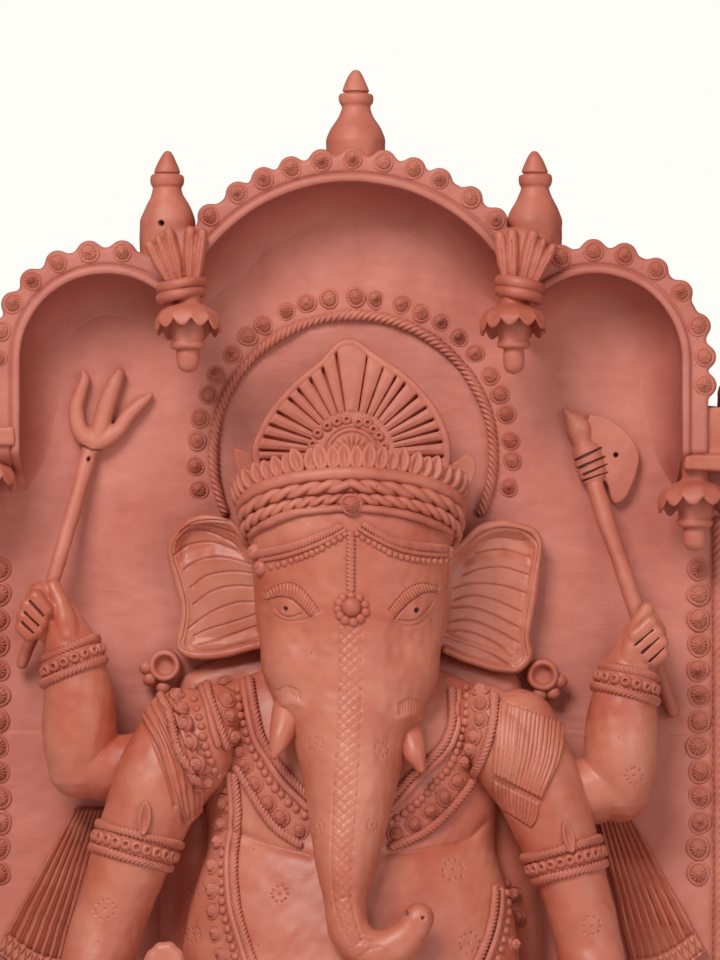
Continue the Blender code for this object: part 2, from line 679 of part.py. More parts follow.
def arches_meet(outside):
    """Upper crossing (x, height) of the centre and right-hand arch circles, that far outside the groove."""
    centre_radius = CENTRE_ARCH_RADIUS + outside
    side_radius = SIDE_ARCH_RADIUS + outside
    rise = SIDE_ARCH_HEIGHT - CENTRE_ARCH_HEIGHT
    gap = math.hypot(SIDE_ARCH_OFFSET, rise)
    along = (gap ** 2 + centre_radius ** 2 - side_radius ** 2) / (2 * gap)
    off = math.sqrt(max(centre_radius ** 2 - along ** 2, 0.0))
    x = (SIDE_ARCH_OFFSET * along - rise * off) / gap
    return x, CENTRE_ARCH_HEIGHT + (rise * along + SIDE_ARCH_OFFSET * off) / gap


def arc(centre_x, centre_height, radius, start, end, steps):
    """Points (x, height) on an arc between two angles."""
    turns = [start + (end - start) * step / steps for step in range(steps + 1)]
    return [(centre_x + radius * math.cos(turn), centre_height + radius * math.sin(turn)) for turn in turns]


def made_plinth():
    """Seat slab on four wall slabs, open underneath."""
    half_width, half_depth = PLINTH_WIDTH / 2, PLINTH_DEPTH / 2
    wall_top = PLINTH_HEIGHT - PLINTH_SLAB - SLIP_JOINT
    wall_x = half_width - PLINTH_OVERHANG
    wall_y = half_depth - PLINTH_OVERHANG
    inner_y = wall_y - PLINTH_SLAB - SLIP_JOINT
    seat_foot = PLINTH_HEIGHT - PLINTH_SLAB
    slab_box("plinth_seat", (-half_width, -half_depth, seat_foot), (half_width, half_depth, PLINTH_HEIGHT))
    slab_box("plinth_front", (-wall_x, -wall_y, 0.0), (wall_x, PLINTH_SLAB - wall_y, wall_top))
    slab_box("plinth_back", (-wall_x, wall_y - PLINTH_SLAB, 0.0), (wall_x, wall_y, wall_top))
    slab_box("plinth_side_left", (-wall_x, -inner_y, 0.0), (PLINTH_SLAB - wall_x, inner_y, wall_top))
    slab_box("plinth_side_right", (wall_x - PLINTH_SLAB, -inner_y, 0.0), (wall_x, inner_y, wall_top))


def panel_top_outline():
    """Top edge of the panel from the right shoulder to the left one, behind the arches."""
    centre_radius = CENTRE_ARCH_RADIUS + STRIP_WIDTH - PANEL_TOP_INSET
    side_radius = SIDE_ARCH_RADIUS + STRIP_WIDTH - PANEL_TOP_INSET
    meet_x, meet_height = arches_meet(STRIP_WIDTH - PANEL_TOP_INSET)
    side_end = math.atan2(meet_height - SIDE_ARCH_HEIGHT, meet_x - SIDE_ARCH_OFFSET)
    centre_start = math.atan2(meet_height - CENTRE_ARCH_HEIGHT, meet_x)
    right = arc(SIDE_ARCH_OFFSET, SIDE_ARCH_HEIGHT, side_radius, 0.0, side_end, SIDE_ARCH_STEPS)
    centre_end = math.pi - centre_start
    middle = arc(0.0, CENTRE_ARCH_HEIGHT, centre_radius, centre_start, centre_end, CENTRE_ARCH_STEPS)
    shoulder = CAPITAL_SHOULDER_HEIGHT
    right_side = [(PANEL_HALF_WIDTH, shoulder), (SIDE_ARCH_OFFSET + side_radius, shoulder), *right[:-1]]
    left_side = [(-x, height) for x, height in reversed(right_side)]
    return [*right_side, *middle, *left_side]


def made_panels():
    """Lower and upper back slabs with the border and halo rosettes pressed on."""
    seam = DRAWN_SLAB_HEIGHT
    side = PANEL_HALF_WIDTH
    lower_outline = [(-side, SLIP_JOINT), (side, SLIP_JOINT), (side, seam), (-side, seam)]
    lower = plate("back_panel_lower", lower_outline, -PANEL_THICKNESS, 0.0, "panel_clay")
    foot = seam + SLIP_JOINT
    upper_outline = [(-side, foot), (side, foot), *panel_top_outline()]
    upper = plate("back_panel_upper", upper_outline, -PANEL_THICKNESS, 0.0, "panel_clay")
    border = [BORDER_TOP_HEIGHT - BORDER_PITCH * step for step in range(BORDER_COUNT)]
    apex_edge = SCARF_APEX[0] + SCARF_APEX_HALF_WIDTH
    border_edge = BORDER_OFFSET - BORDER_ROSETTE_RADIUS
    share = (border_edge - apex_edge) / (SCARF_OUTER_END[0] - apex_edge)
    cover_top = SCARF_APEX[1] + (SCARF_OUTER_END[1] - SCARF_APEX[1]) * share + BORDER_ROSETTE_RADIUS
    cover_foot = SCARF_INNER_END[1] - BORDER_ROSETTE_RADIUS
    border = [height for height in border if not cover_foot < height < cover_top]
    clear = BORDER_ROSETTE_RADIUS + SLIP_JOINT
    sides = (-BORDER_OFFSET, BORDER_OFFSET)
    low_border = [(x, 0.0, height) for height in border if clear < height < seam - clear for x in sides]
    high_border = [(x, 0.0, height) for height in border if height > foot + clear for x in sides]
    line = HALO_RADIUS + HALO_ROSETTE_LINE
    halo_end = math.pi - HALO_LOW_ANGLE
    ring = arc(HALO_OFFSET, HALO_HEIGHT, line, HALO_LOW_ANGLE, halo_end, HALO_ROSETTE_COUNT - 1)
    halo = [(x, 0.0, height) for x, height in ring]
    lower = with_rosettes(lower, low_border, BORDER_ROSETTE_RADIUS)
    upper = with_rosettes(upper, high_border, BORDER_ROSETTE_RADIUS)
    upper = with_rosettes(upper, halo, ROSETTE_RADIUS)
    return lower, upper


def arch_section():
    """Section (outward from the groove, depth): strip, groove, roll and cove."""
    deep = ARCH_DEPTH
    wall = -ROLL_WIDTH - GROOVE_HALF_WIDTH
    wall_depth = deep - ROLL_LIP
    section = [
        (STRIP_WIDTH, SLIP_JOINT), (STRIP_WIDTH, deep - STRIP_EDGE), (STRIP_WIDTH - STRIP_EDGE, deep),
        (GROOVE_HALF_WIDTH, deep), (0.0, deep - GROOVE_DEPTH), (-GROOVE_HALF_WIDTH, deep),
        (-ROLL_WIDTH / 2, deep + ROLL_RISE), (-ROLL_WIDTH, deep), (wall, wall_depth),
    ]
    for step in range(1, 4):
        turn = COVE_TOE_ANGLE * step / 3
        section.append((wall - COVE_WIDTH * (1 - math.cos(turn)), wall_depth * (1 - math.sin(turn))))
    section.append((section[-1][0], SLIP_JOINT))
    return section


def arch_rings(path):
    """Section rings along a path of ((x, height), (outward x, outward height))."""
    section = arch_section()
    rings = []
    for (x, height), (out_x, out_h) in path:
        rings.append([at(x + out_x * out, depth, height + out_h * out) for out, depth in section])
    return rings


def block(name, low, high):
    """Plain block between two corners, to clear clay away."""
    shape = bmesh.new()
    bmesh.ops.create_cube(shape, size=1.0)
    bmesh.ops.scale(shape, vec=Vector(high) - Vector(low), verts=shape.verts)
    bmesh.ops.translate(shape, vec=(Vector(high) + Vector(low)) / 2, verts=shape.verts)
    return piece_of(name, shape)


def beyond(x_low, x_high):
    """Block that clears everything between two values of x."""
    return block("beyond", (x_low, -1.0, -1.0), (x_high, 1.0, 2.0))


def made_arches():
    """Centre arch and two side arches, meeting at the cusps, with rosettes along their strips."""
    cusp_x, cusp_height = arches_meet(0.0)
    start = math.atan2(cusp_height - CENTRE_ARCH_HEIGHT, cusp_x) - CUSP_SPARE
    path = []
    for step in range(CENTRE_ARCH_STEPS + 1):
        turn = start + (math.pi - 2 * start) * step / CENTRE_ARCH_STEPS
        out = (math.cos(turn), math.sin(turn))
        path.append(((out[0] * CENTRE_ARCH_RADIUS, CENTRE_ARCH_HEIGHT + out[1] * CENTRE_ARCH_RADIUS), out))
    centre = lofted("arch_centre", arch_rings(path))
    for side in (-1, 1):
        edges = sorted((side * (cusp_x - SLIP_JOINT / 2), side * 1.0))
        centre = combined(centre, beyond(*edges), "DIFFERENCE")
    centre = main_body(centre)
    line = CENTRE_ARCH_RADIUS + ARCH_ROSETTE_LINE
    step_turn = ARCH_ROSETTE_PITCH / line
    reach = math.acos(min((cusp_x - ROSETTE_RADIUS - SLIP_JOINT) / line, 1.0))
    count = int((math.pi / 2 - reach) / step_turn)
    places = []
    for step in range(-count, count + 1):
        turn = math.pi / 2 + step * step_turn
        places.append((line * math.cos(turn), ARCH_DEPTH, CENTRE_ARCH_HEIGHT + line * math.sin(turn)))
    arches = [with_rosettes(centre, places, ROSETTE_RADIUS)]

    side_end = math.atan2(cusp_height - SIDE_ARCH_HEIGHT, cusp_x - SIDE_ARCH_OFFSET) + CUSP_SPARE
    foot = CAPITAL_LEDGE_HEIGHT + SLIP_JOINT
    for side, name in ((-1, "arch_left"), (1, "arch_right")):
        path = [((side * (SIDE_ARCH_OFFSET + SIDE_ARCH_RADIUS), foot), (side, 0.0))]
        for step in range(SIDE_ARCH_STEPS + 1):
            turn = side_end * step / SIDE_ARCH_STEPS
            out = (side * math.cos(turn), math.sin(turn))
            x = side * SIDE_ARCH_OFFSET + out[0] * SIDE_ARCH_RADIUS
            path.append(((x, SIDE_ARCH_HEIGHT + out[1] * SIDE_ARCH_RADIUS), out))
        arch = lofted(name, arch_rings(path))
        edges = sorted((side * (cusp_x + SLIP_JOINT / 2), -side * 1.0))
        arch = main_body(combined(arch, beyond(*edges), "DIFFERENCE"))
        line = SIDE_ARCH_RADIUS + ARCH_ROSETTE_LINE
        step_turn = ARCH_ROSETTE_PITCH / line
        reach = math.acos(max((cusp_x + ROSETTE_RADIUS + SLIP_JOINT - SIDE_ARCH_OFFSET) / line, -1.0))
        places = []
        for step in range(int(reach / step_turn) + 1):
            turn = step * step_turn
            x = side * (SIDE_ARCH_OFFSET + line * math.cos(turn))
            places.append((x, ARCH_DEPTH, SIDE_ARCH_HEIGHT + line * math.sin(turn)))
        places.append((side * (SIDE_ARCH_OFFSET + line), ARCH_DEPTH, SIDE_ARCH_HEIGHT - ARCH_ROSETTE_PITCH))
        arches.append(with_rosettes(arch, places, ROSETTE_RADIUS))
    return arches


def made_capitals():
    """Stepped blocks that carry the outer arch feet and the outer finials."""
    capitals = []
    for side, name in ((-1, "capital_left"), (1, "capital_right")):
        outline = [
            (CAPITAL_INNER, CAPITAL_FOOT_HEIGHT),
            (PANEL_HALF_WIDTH, CAPITAL_FOOT_HEIGHT),
            (PANEL_HALF_WIDTH, CAPITAL_SHOULDER_HEIGHT),
            (CAPITAL_SHOULDER_INNER, CAPITAL_SHOULDER_HEIGHT),
            (CAPITAL_SHOULDER_INNER, CAPITAL_LEDGE_HEIGHT),
            (CAPITAL_INNER, CAPITAL_LEDGE_HEIGHT),
        ]
        outline = [(side * x, height) for x, height in outline]
        capitals.append(plate(name, outline, SLIP_JOINT, ARCH_DEPTH + CAPITAL_PROUD))
    return capitals


def made_finials(panel, arches, capitals):
    """Five turned finials with a cone, a collar and a bell body."""
    shares = [
        (0.00, 1.000), (0.24, 0.890), (0.45, 0.785), (0.57, 0.735), (0.54, 0.655), (0.50, 0.600),
        (0.68, 0.450), (0.93, 0.260), (1.00, 0.130),
    ]
    centre, left, right = arches
    top = CENTRE_ARCH_HEIGHT + CENTRE_ARCH_RADIUS + STRIP_WIDTH
    shoulder = CAPITAL_SHOULDER_HEIGHT
    spots = [
        ("finial_centre", CENTRE_FINIAL_OFFSET, top, CENTRE_FINIAL_SCALE, [centre]),
        ("finial_left", -VALLEY_FINIAL_OFFSET, VALLEY_FINIAL_BASE, 1.0, [centre, left, panel]),
        ("finial_right", VALLEY_FINIAL_OFFSET, VALLEY_FINIAL_BASE, 1.0, [centre, right, panel]),
        ("finial_outer_left", -OUTER_FINIAL_OFFSET, shoulder, 1.0, [capitals[0], left, panel]),
        ("finial_outer_right", OUTER_FINIAL_OFFSET, shoulder, 1.0, [capitals[1], right, panel]),
    ]
    for name, x, base, scale, carriers in spots:
        profile = [(FINIAL_RADIUS * scale * across, FINIAL_HEIGHT * up) for across, up in shares]
        profile += [(FINIAL_RADIUS * scale * FINIAL_FOOT_SHARE, -FINIAL_FOOT), (0.0, -FINIAL_FOOT)]
        finial = turned(name, profile, (x, FINIAL_DEPTH, base), FINIAL_STEPS)
        seated(finial, *carriers)


def made_brackets_and_pendants():
    """Fluted sheaves on the fronts of the cusps, and a pendant under each cusp and capital."""
    cusp_front = ARCH_DEPTH + max(ROLL_RISE, ROSETTE_RISE) + SLIP_JOINT
    behind = at(0.0, cusp_front, 0.0).y
    foot_height = arches_meet(0.0)[1] + BRACKET_LIFT
    top_height = foot_height + BRACKET_LENGTH
    for side, word in ((-1, "left"), (1, "right")):
        middle_height = (top_height + foot_height) / 2
        middle_width = (BRACKET_TOP_HALF_WIDTH + BRACKET_FOOT_HALF_WIDTH) / 2 * BRACKET_WAIST
        middle_offset = (BRACKET_TOP_OFFSET + BRACKET_FOOT_OFFSET) / 2
        middle_rise = (BRACKET_TOP_RISE + BRACKET_FOOT_RISE) / 2
        rows = [
            (BRACKET_TOP_OFFSET, top_height, BRACKET_TOP_HALF_WIDTH, BRACKET_TOP_RISE),
            (middle_offset, middle_height, middle_width, middle_rise),
            (BRACKET_FOOT_OFFSET, foot_height, BRACKET_FOOT_HALF_WIDTH, BRACKET_FOOT_RISE),
        ]
        stations = [(side * x, cusp_front, height, half_width, rise) for x, height, half_width, rise in rows]
        name = "sheaf_bracket_" + word
        bracket = limb(name, stations, BRACKET_SIDES, "ornament_clay", domes=0, flute=FLUTE)
        combined(bracket, block("behind", (-1.0, behind, -1.0), (1.0, 1.0, 2.0)), "DIFFERENCE")
        depth = cusp_front + PENDANT_RADIUS * TIE_SHARE
        place = (side * PENDANT_OFFSET, depth, foot_height - PENDANT_DROP)
        pendant("pendant_" + word, place, PENDANT_LENGTH)
        place = (side * OUTER_PENDANT_OFFSET, OUTER_PENDANT_DEPTH, CAPITAL_FOOT_HEIGHT - SLIP_JOINT)
        pendant("pendant_outer_" + word, place, OUTER_PENDANT_LENGTH)


def pendant(name, place, length):
    """Tie band, bell cup with a scalloped rim, and a bud on a collar, hanging from a place."""
    shares = [
        (0.58, 0.0, 0.0), (TIE_SHARE, -0.10, 0.0), (0.46, -0.21, 0.0), (0.70, -0.37, 0.06),
        (0.97, -0.60, 0.18), (0.60, -0.560, 0.08), (0.44, -0.61, 0.0), (0.50, -0.70, 0.0),
        (0.30, -0.87, 0.0), (0.10, -1.0, 0.0),
    ]
    x, depth, top = place
    rings = []
    for across, drop, scallop in shares:
        ring = []
        for step in range(PENDANT_SIDES):
            turn = math.tau * step / PENDANT_SIDES
            notch = scallop * (step % 2)
            centre = at(x, depth, top + length * (drop + notch * SCALLOP_LIFT))
            radius = PENDANT_RADIUS * across * (1 - notch)
            ring.append(centre + Vector((radius * math.cos(turn), radius * math.sin(turn), 0.0)))
        rings.append(ring)
    return lofted(name, rings)


def made_ropes(lower, upper):
    """Rope mouldings: one up each side border and one round the halo."""
    sink = ROPE_RADIUS * ROPE_SHARE
    for side, word in ((-1, "left"), (1, "right")):
        points = [(side * ROPE_OFFSET, sink, height) for height in (ROPE_FOOT_HEIGHT, ROPE_TOP_HEIGHT)]
        seated(coil("border_rope_" + word, points, ROPE_RADIUS), lower, upper)
    ring = arc(HALO_OFFSET, HALO_HEIGHT, HALO_RADIUS, HALO_LOW_ANGLE, math.pi - HALO_LOW_ANGLE, HALO_STEPS)
    points = [(x, HALO_ROPE_RADIUS * ROPE_SHARE, height) for x, height in ring]
    return seated(coil("halo_rope", points, HALO_ROPE_RADIUS), upper)


def made_torso(lower, upper):
    """Chest and belly, flat at the back against the panel."""
    stations = []
    for height, half_width, front in TORSO_STATIONS:
        stations.append((0.0, (front + TORSO_BACK) / 2, height, half_width, (front - TORSO_BACK) / 2))
    torso = limb("torso", stations, TORSO_SIDES, domes=0)
    return seated(torso, lower, upper, bpy.data.objects["plinth_seat"])


def made_scarf(word, side):
    """Pleated scarf end, spreading from the elbow down the panel."""
    folds = SCARF_PLEATS * 2
    front = [(step / folds, step % 2) for step in range(folds + 1)]
    rings = []
    for share in (0.0, 0.55, 1.0):
        spread = SCARF_APEX_HALF_WIDTH * (1 - share)
        outer = Vector(SCARF_APEX).lerp(Vector(SCARF_OUTER_END), share) + Vector((spread, 0.0))
        inner = Vector(SCARF_APEX).lerp(Vector(SCARF_INNER_END), share) - Vector((spread, 0.0))

        def hung(along, depth):
            """Point across the scarf at this share of its length, sagging in the middle."""
            x, height = outer.lerp(inner, along)
            return at(side * x, depth, height - SCARF_SAG * share * math.sin(math.pi * along))

        pleat = SCARF_PLEAT_DEPTH * (SCARF_APEX_PLEAT + (1 - SCARF_APEX_PLEAT) * share)
        ring = [hung(along, SCARF_THICKNESS - pleat * low) for along, low in front]
        ring += [hung(along, SLIP_JOINT) for along in (1.0, 0.5, 0.0)]
        rings.append(ring)
    return lofted("scarf_end_" + word, rings, "figure_clay")


def made_legs(torso, panel):
    """Crossed legs: the viewer's left leg in front with its foot, the other one behind it."""
    legs = []
    front_leg = limb("leg_left", mirrored(THIGH, -1), LEG_SIDES)
    front_leg = combined(front_leg, limb("shin", FRONT_SHIN, LEG_SIDES), "UNION")
    front_leg = combined(front_leg, limb("foot", FRONT_FOOT, LEG_SIDES, flatten=0.8), "UNION")
    back_leg = limb("leg_right", THIGH, LEG_SIDES)
    back_leg = combined(back_leg, limb("shin", BACK_SHIN, LEG_SIDES), "UNION")
    seat = bpy.data.objects["plinth_seat"]
    legs.append(seated(front_leg, seat, torso, panel))
    legs.append(seated(back_leg, seat, torso, panel, legs[0]))
    return legs


def made_weapons(panel):
    """Trident and axe, lying on the panel above and brought forward to the fists."""
    trident = limb("trident", TRIDENT_SHAFT, SHAFT_SIDES, "ornament_clay")
    for prong in TRIDENT_PRONGS:
        stations = [TRIDENT_ROOT, *prong]
        trident = combined(trident, limb("prong", stations, SHAFT_SIDES, "ornament_clay"), "UNION")
    axe = limb("axe", AXE_SHAFT, SHAFT_SIDES, "ornament_clay")
    axe = combined(axe, limb("point", AXE_POINT, SHAFT_SIDES, "ornament_clay"), "UNION")
    axe = combined(axe, limb("binding", AXE_BINDING, BINDING_SIDES, "ornament_clay", domes=0), "UNION")
    axe = combined(axe, plate("blade", AXE_BLADE, SLIP_JOINT, AXE_BLADE_THICKNESS), "UNION")
    return seated(trident, *panel), seated(axe, *panel)


def made_front_arms(torso, legs, scarves, panels):
    """Blessing arm on the viewer's left, its hand raised, and offering arm on the right, its hand open."""
    blessing = limb("front_arm_left", BLESSING_ARM, LIMB_SIDES)
    blessing = combined(blessing, limb("palm", BLESSING_HAND, LIMB_SIDES, flatten=HAND_FLATTEN), "UNION")
    base_depth = BLESSING_HAND[-1][1]
    base_height = BLESSING_HAND[-1][2] - FINGER_RADIUS
    tip_radius = FINGER_RADIUS * FINGER_TAPER
    for x, height in BLESSING_FINGERS:
        finger = [(x, base_depth, base_height, FINGER_RADIUS), (x, base_depth, height, tip_radius)]
        blessing = combined(blessing, limb("finger", finger, SMALL_SIDES), "UNION")
    blessing = combined(blessing, limb("thumb", BLESSING_THUMB, SMALL_SIDES), "UNION")
    offering = limb("front_arm_right", OFFERING_ARM, LIMB_SIDES)
    offering = combined(offering, limb("palm", OFFERING_HAND, LIMB_SIDES, flatten=HAND_FLATTEN), "UNION")
    arms = []
    for arm, scarf in ((blessing, scarves[0]), (offering, scarves[1])):
        arms.append(seated(arm, torso, legs[0], legs[1], scarf, *panels))
    return arms


def made_rear_arms(torso, arms, scarves, weapons, panels):
    """Raised arms with closed fists round the trident and the axe."""
    rear = []
    for side, word, arm, scarf, weapon in zip((-1, 1), ("left", "right"), arms, scarves, weapons):
        drop = REAR_ARM_DROP[side]
        shift = REAR_ARM_SHIFT[side]

        def placed(stations):
            """Stations on this side, hung lower and shifted as this arm is."""
            return [(side * (row[0] + shift), row[1], row[2] - drop, row[3]) for row in stations]

        raised = limb("rear_arm_" + word, placed(REAR_FOREARM), LIMB_SIDES)
        raised = combined(raised, limb("upper", placed(REAR_UPPER_ARM), LIMB_SIDES), "UNION")
        raised = combined(raised, limb("fist", placed(FIST), LIMB_SIDES), "UNION")
        raised = combined(raised, limb("thumb", placed(THUMB), SMALL_SIDES), "UNION")
        rear.append(seated(raised, torso, arm, scarf, weapon, *panels))
        band = limb("wrist_band_" + word, placed(REAR_WRIST_BAND), BAND_SIDES, "ornament_clay", domes=0)
        seated(band, rear[-1], weapon, *panels)
    return rear


def made_body_dress(torso, arms, legs, rear, panels):
    """Armlets, necklace, garland and the shoulder cloths."""
    for word, stations, arm in (("left", LEFT_ARMLET, arms[0]), ("right", RIGHT_ARMLET, arms[1])):
        band = limb("armlet_" + word, stations, BAND_SIDES, "ornament_clay", domes=0)
        seated(band, arm, torso, *panels)
    necklace = laid_on("necklace", torso, NECKLACE_OUTER + NECKLACE_INNER, LAID_THICKNESS)
    necklace = seated(necklace, *arms)
    garland = laid_on("garland", torso, GARLAND_OUTER + GARLAND_INNER, LAID_THICKNESS)
    garland = seated(garland, necklace, *arms, *legs)
    for side, word, arm, raised in ((-1, "left", arms[0], rear[0]), (1, "right", arms[1], rear[1])):
        outline = mirrored(CLOTH_OUTLINE, side)
        cloth = laid_on("shoulder_cloth_" + word, arm, outline, CLOTH_THICKNESS, "figure_clay")
        seated(cloth, torso, necklace, garland, raised, bpy.data.objects["armlet_" + word])
    return necklace, garland


def made_head(torso, necklace, garland, panel):
    """Head with the trunk hanging over the chest and curling to the viewer's right."""
    head = limb("head_and_trunk", HEAD_STATIONS, HEAD_SIDES)
    head = seated(head, torso, necklace, garland, panel)
    for side, word in ((-1, "left"), (1, "right")):
        root = (TUSK_ROOT[0] * side, *TUSK_ROOT[1:])
        tip = (TUSK_TIP[0] * side, *TUSK_TIP[1:])
        tusk = limb("tusk_" + word, [(*root, TUSK_ROOT_RADIUS), (*tip, TUSK_TIP_RADIUS)], TUSK_SIDES)
        seated(tusk, head, necklace, torso)
    return head


def made_ears(head, halo, panel):
    """Dished ears with a rolled rim, and the earrings hanging at their lower corners."""
    ears = []
    for side, word in ((-1, "left"), (1, "right")):
        outline = mirrored(EAR_RIM + EAR_ROOT, side)
        ear = plate("ear_" + word, outline, EAR_BACK_DEPTH, EAR_FRONT_DEPTH, "figure_clay")
        rim = [(x, EAR_FRONT_DEPTH, height) for x, height in mirrored(EAR_RIM, side)]
        roll = coil("roll", rim, EAR_ROLL_RADIUS, "figure_clay")
        ear = combined(ear, roll, "UNION")
        for vert in ear.data.vertices:
            vert.co.y -= EAR_SLOPE * (EAR_SLOPE_FROM - abs(vert.co.x))
        ears.append(seated(ear, head, panel, halo))
        dish = [(0.0, 0.50), (0.50, 0.50), (0.76, 1.0), (1.0, 0.55), (0.97, 0.0), (0.0, 0.0)]
        profile = [(EARRING_RADIUS * across, EARRING_RISE * rise) for across, rise in dish]
        place = (side * EARRING_OFFSET, SLIP_JOINT, EARRING_HEIGHT)
        earring = turned("earring_" + word, profile, place, EARRING_SIDES, forward=True)
        for angle in EARRING_BEAD_ANGLES:
            turn = math.radians(angle if side < 0 else 180 - angle)
            reach = EARRING_RADIUS + EARRING_BEAD_RADIUS * EARRING_BEAD_SINK
            depth = EARRING_BEAD_RADIUS * EARRING_BEAD_SINK
            spot = (place[0] + reach * math.cos(turn), depth, place[2] + reach * math.sin(turn))
            shape = bmesh.new()
            bmesh.ops.create_uvsphere(shape, u_segments=6, v_segments=3, radius=EARRING_BEAD_RADIUS)
            bmesh.ops.translate(shape, vec=at(*spot), verts=shape.verts)
            earring = combined(earring, piece_of("bead", shape), "UNION")
        seated(earring, ears[-1], panel)
    return ears


def crown_point(rise, half_width, half_depth, turn):
    """Point of the tilted oval crown at a rise along its axis and an angle round it."""
    up = Vector((0.0, math.sin(CROWN_TILT), math.cos(CROWN_TILT)))
    front = Vector((0.0, -math.cos(CROWN_TILT), math.sin(CROWN_TILT)))
    across = Vector((1.0, 0.0, 0.0))
    middle = at(0.0, CROWN_DEPTH, CROWN_HEIGHT) + up * rise
    return middle + across * math.cos(turn) * half_width + front * math.sin(turn) * half_depth


def made_fan():
    """Ray fan: a pointed plate pierced by slots between its rays, with a raised half-round hub."""
    foot = (FAN_OUTLINE[0][0] * FAN_FOOT_SHARE, -FAN_FOOT)
    right = [foot, *FAN_OUTLINE]
    outline = right + mirrored(right[-2::-1], -1)
    back = FAN_DEPTH - FAN_THICKNESS / 2
    front = FAN_DEPTH + FAN_THICKNESS / 2
    fan = plate("crown_fan", [(x, height + FAN_HEIGHT) for x, height in outline], back, front)
    slots = bmesh.new()
    size = Matrix.Diagonal((FAN_SLOT_OUTER - FAN_SLOT_INNER, FAN_THICKNESS * 2, FAN_SLOT_WIDTH, 1.0))
    middle = (FAN_SLOT_OUTER + FAN_SLOT_INNER) / 2
    for step in range(FAN_SLOT_COUNT):
        turn = math.pi * (step + 0.5) / FAN_SLOT_COUNT
        spot = at(middle * math.cos(turn), FAN_DEPTH, FAN_HEIGHT + middle * math.sin(turn))
        place = Matrix.Translation(spot) @ Matrix.Rotation(-turn, 4, "Y")
        bmesh.ops.create_cube(slots, size=1.0, matrix=place @ size)
    fan = combined(fan, piece_of("slots", slots), "DIFFERENCE")
    shares = [(0.0, 1.0), (0.9, 1.0), (1.0, 0.6), (1.0, -0.5), (0.0, -0.5)]
    profile = [(FAN_HUB_RADIUS * across, FAN_HUB_RISE * rise) for across, rise in shares]
    hub = turned("hub", profile, (0.0, front, FAN_HEIGHT), HUB_STEPS, forward=True)
    fan = combined(fan, hub, "UNION")
    hinge = at(0.0, FAN_DEPTH, FAN_HEIGHT)
    lean = Matrix.Rotation(-FAN_LEAN, 4, "X")
    fan.data.transform(Matrix.Translation(hinge) @ lean @ Matrix.Translation(-hinge))
    return fan


def made_crown(head, ears, halo, panel):
    """Crown cap, petal row, pierced ray fan, side leaves and front boss."""
    turns = [math.tau * step / CROWN_SIDES for step in range(CROWN_SIDES)]
    cap = lofted("crown_cap", [[crown_point(*row, turn) for turn in turns] for row in CROWN_PROFILE])
    cap = seated(cap, head, *ears, panel, halo)
    rings = []
    for step in range(PETAL_COUNT * 2 + 1):
        turn = math.pi / 2 - PETAL_SWEEP + 2 * PETAL_SWEEP * step / (PETAL_COUNT * 2)
        top = PETAL_TOP if step % 2 else PETAL_VALLEY
        corners = ((PETAL_FOOT, 0.0), (top, 0.0), (top, PETAL_THICKNESS), (PETAL_FOOT, PETAL_THICKNESS))
        ring = []
        for rise, inset in corners:
            ring.append(crown_point(rise, PETAL_HALF_WIDTH - inset, PETAL_HALF_DEPTH - inset, turn))
        rings.append(ring)
    petals = lofted("crown_petals", rings)

    fan = seated(made_fan(), head, cap, joint=FAN_JOINT)
    for side, word in ((-1, "left"), (1, "right")):
        right = [(SIDE_LEAF_OFFSET + x, SIDE_LEAF_HEIGHT + height) for x, height in SIDE_LEAF_OUTLINE]
        back = SIDE_LEAF_DEPTH - SIDE_LEAF_THICKNESS / 2
        leaf = plate("crown_leaf_" + word, mirrored(right, side), back, back + SIDE_LEAF_THICKNESS)
        seated(leaf, cap, petals, fan, head, panel)

    boss_depth = CROWN_DEPTH + CROWN_PROFILE[0][2] * math.cos(CROWN_TILT)
    dome = [(0.0, 1.0), (0.5, 0.9), (0.85, 0.55), (1.0, 0.1), (1.0, -0.9), (0.0, -0.9)]
    profile = [(BOSS_RADIUS * across, BOSS_RISE * rise) for across, rise in dome]
    boss = turned("crown_boss", profile, (0.0, boss_depth, BOSS_HEIGHT), BOSS_STEPS, forward=True)
    seated(boss, cap, head)


def made_brow_flower(head):
    """Flower of pellets on the brow, at the root of the trunk."""
    nearest = max(row[1] + row[4] for row in HEAD_STATIONS[2:4])
    dome = [(0.0, 1.0), (0.42, 0.92), (0.62, 0.52), (0.80, 0.60), (1.0, 0.30), (1.0, -1.3), (0.0, -1.3)]
    profile = [(BROW_FLOWER_RADIUS * across, BROW_FLOWER_RISE * rise) for across, rise in dome]
    flower = turned("brow_flower", profile, (0.0, nearest, BROW_FLOWER_HEIGHT), BOSS_STEPS, forward=True)
    seated(flower, head)


def set_out():
    """Give every piece its own origin, smooth shading and a place under the idol's empty."""
    root = bpy.data.objects.new("ganesha_idol", None)
    IDOL.objects.link(root)
    for piece in [thing for thing in IDOL.objects if thing.type == "MESH"]:
        corners = [Vector(corner) for corner in piece.bound_box]
        middle = sum(corners, Vector()) / len(corners)
        piece.data.transform(Matrix.Translation(-middle))
        piece.location = middle
        piece.parent = root
        piece.data.shade_smooth()
        piece.data.set_sharp_from_angle(angle=SMOOTH_ANGLE)


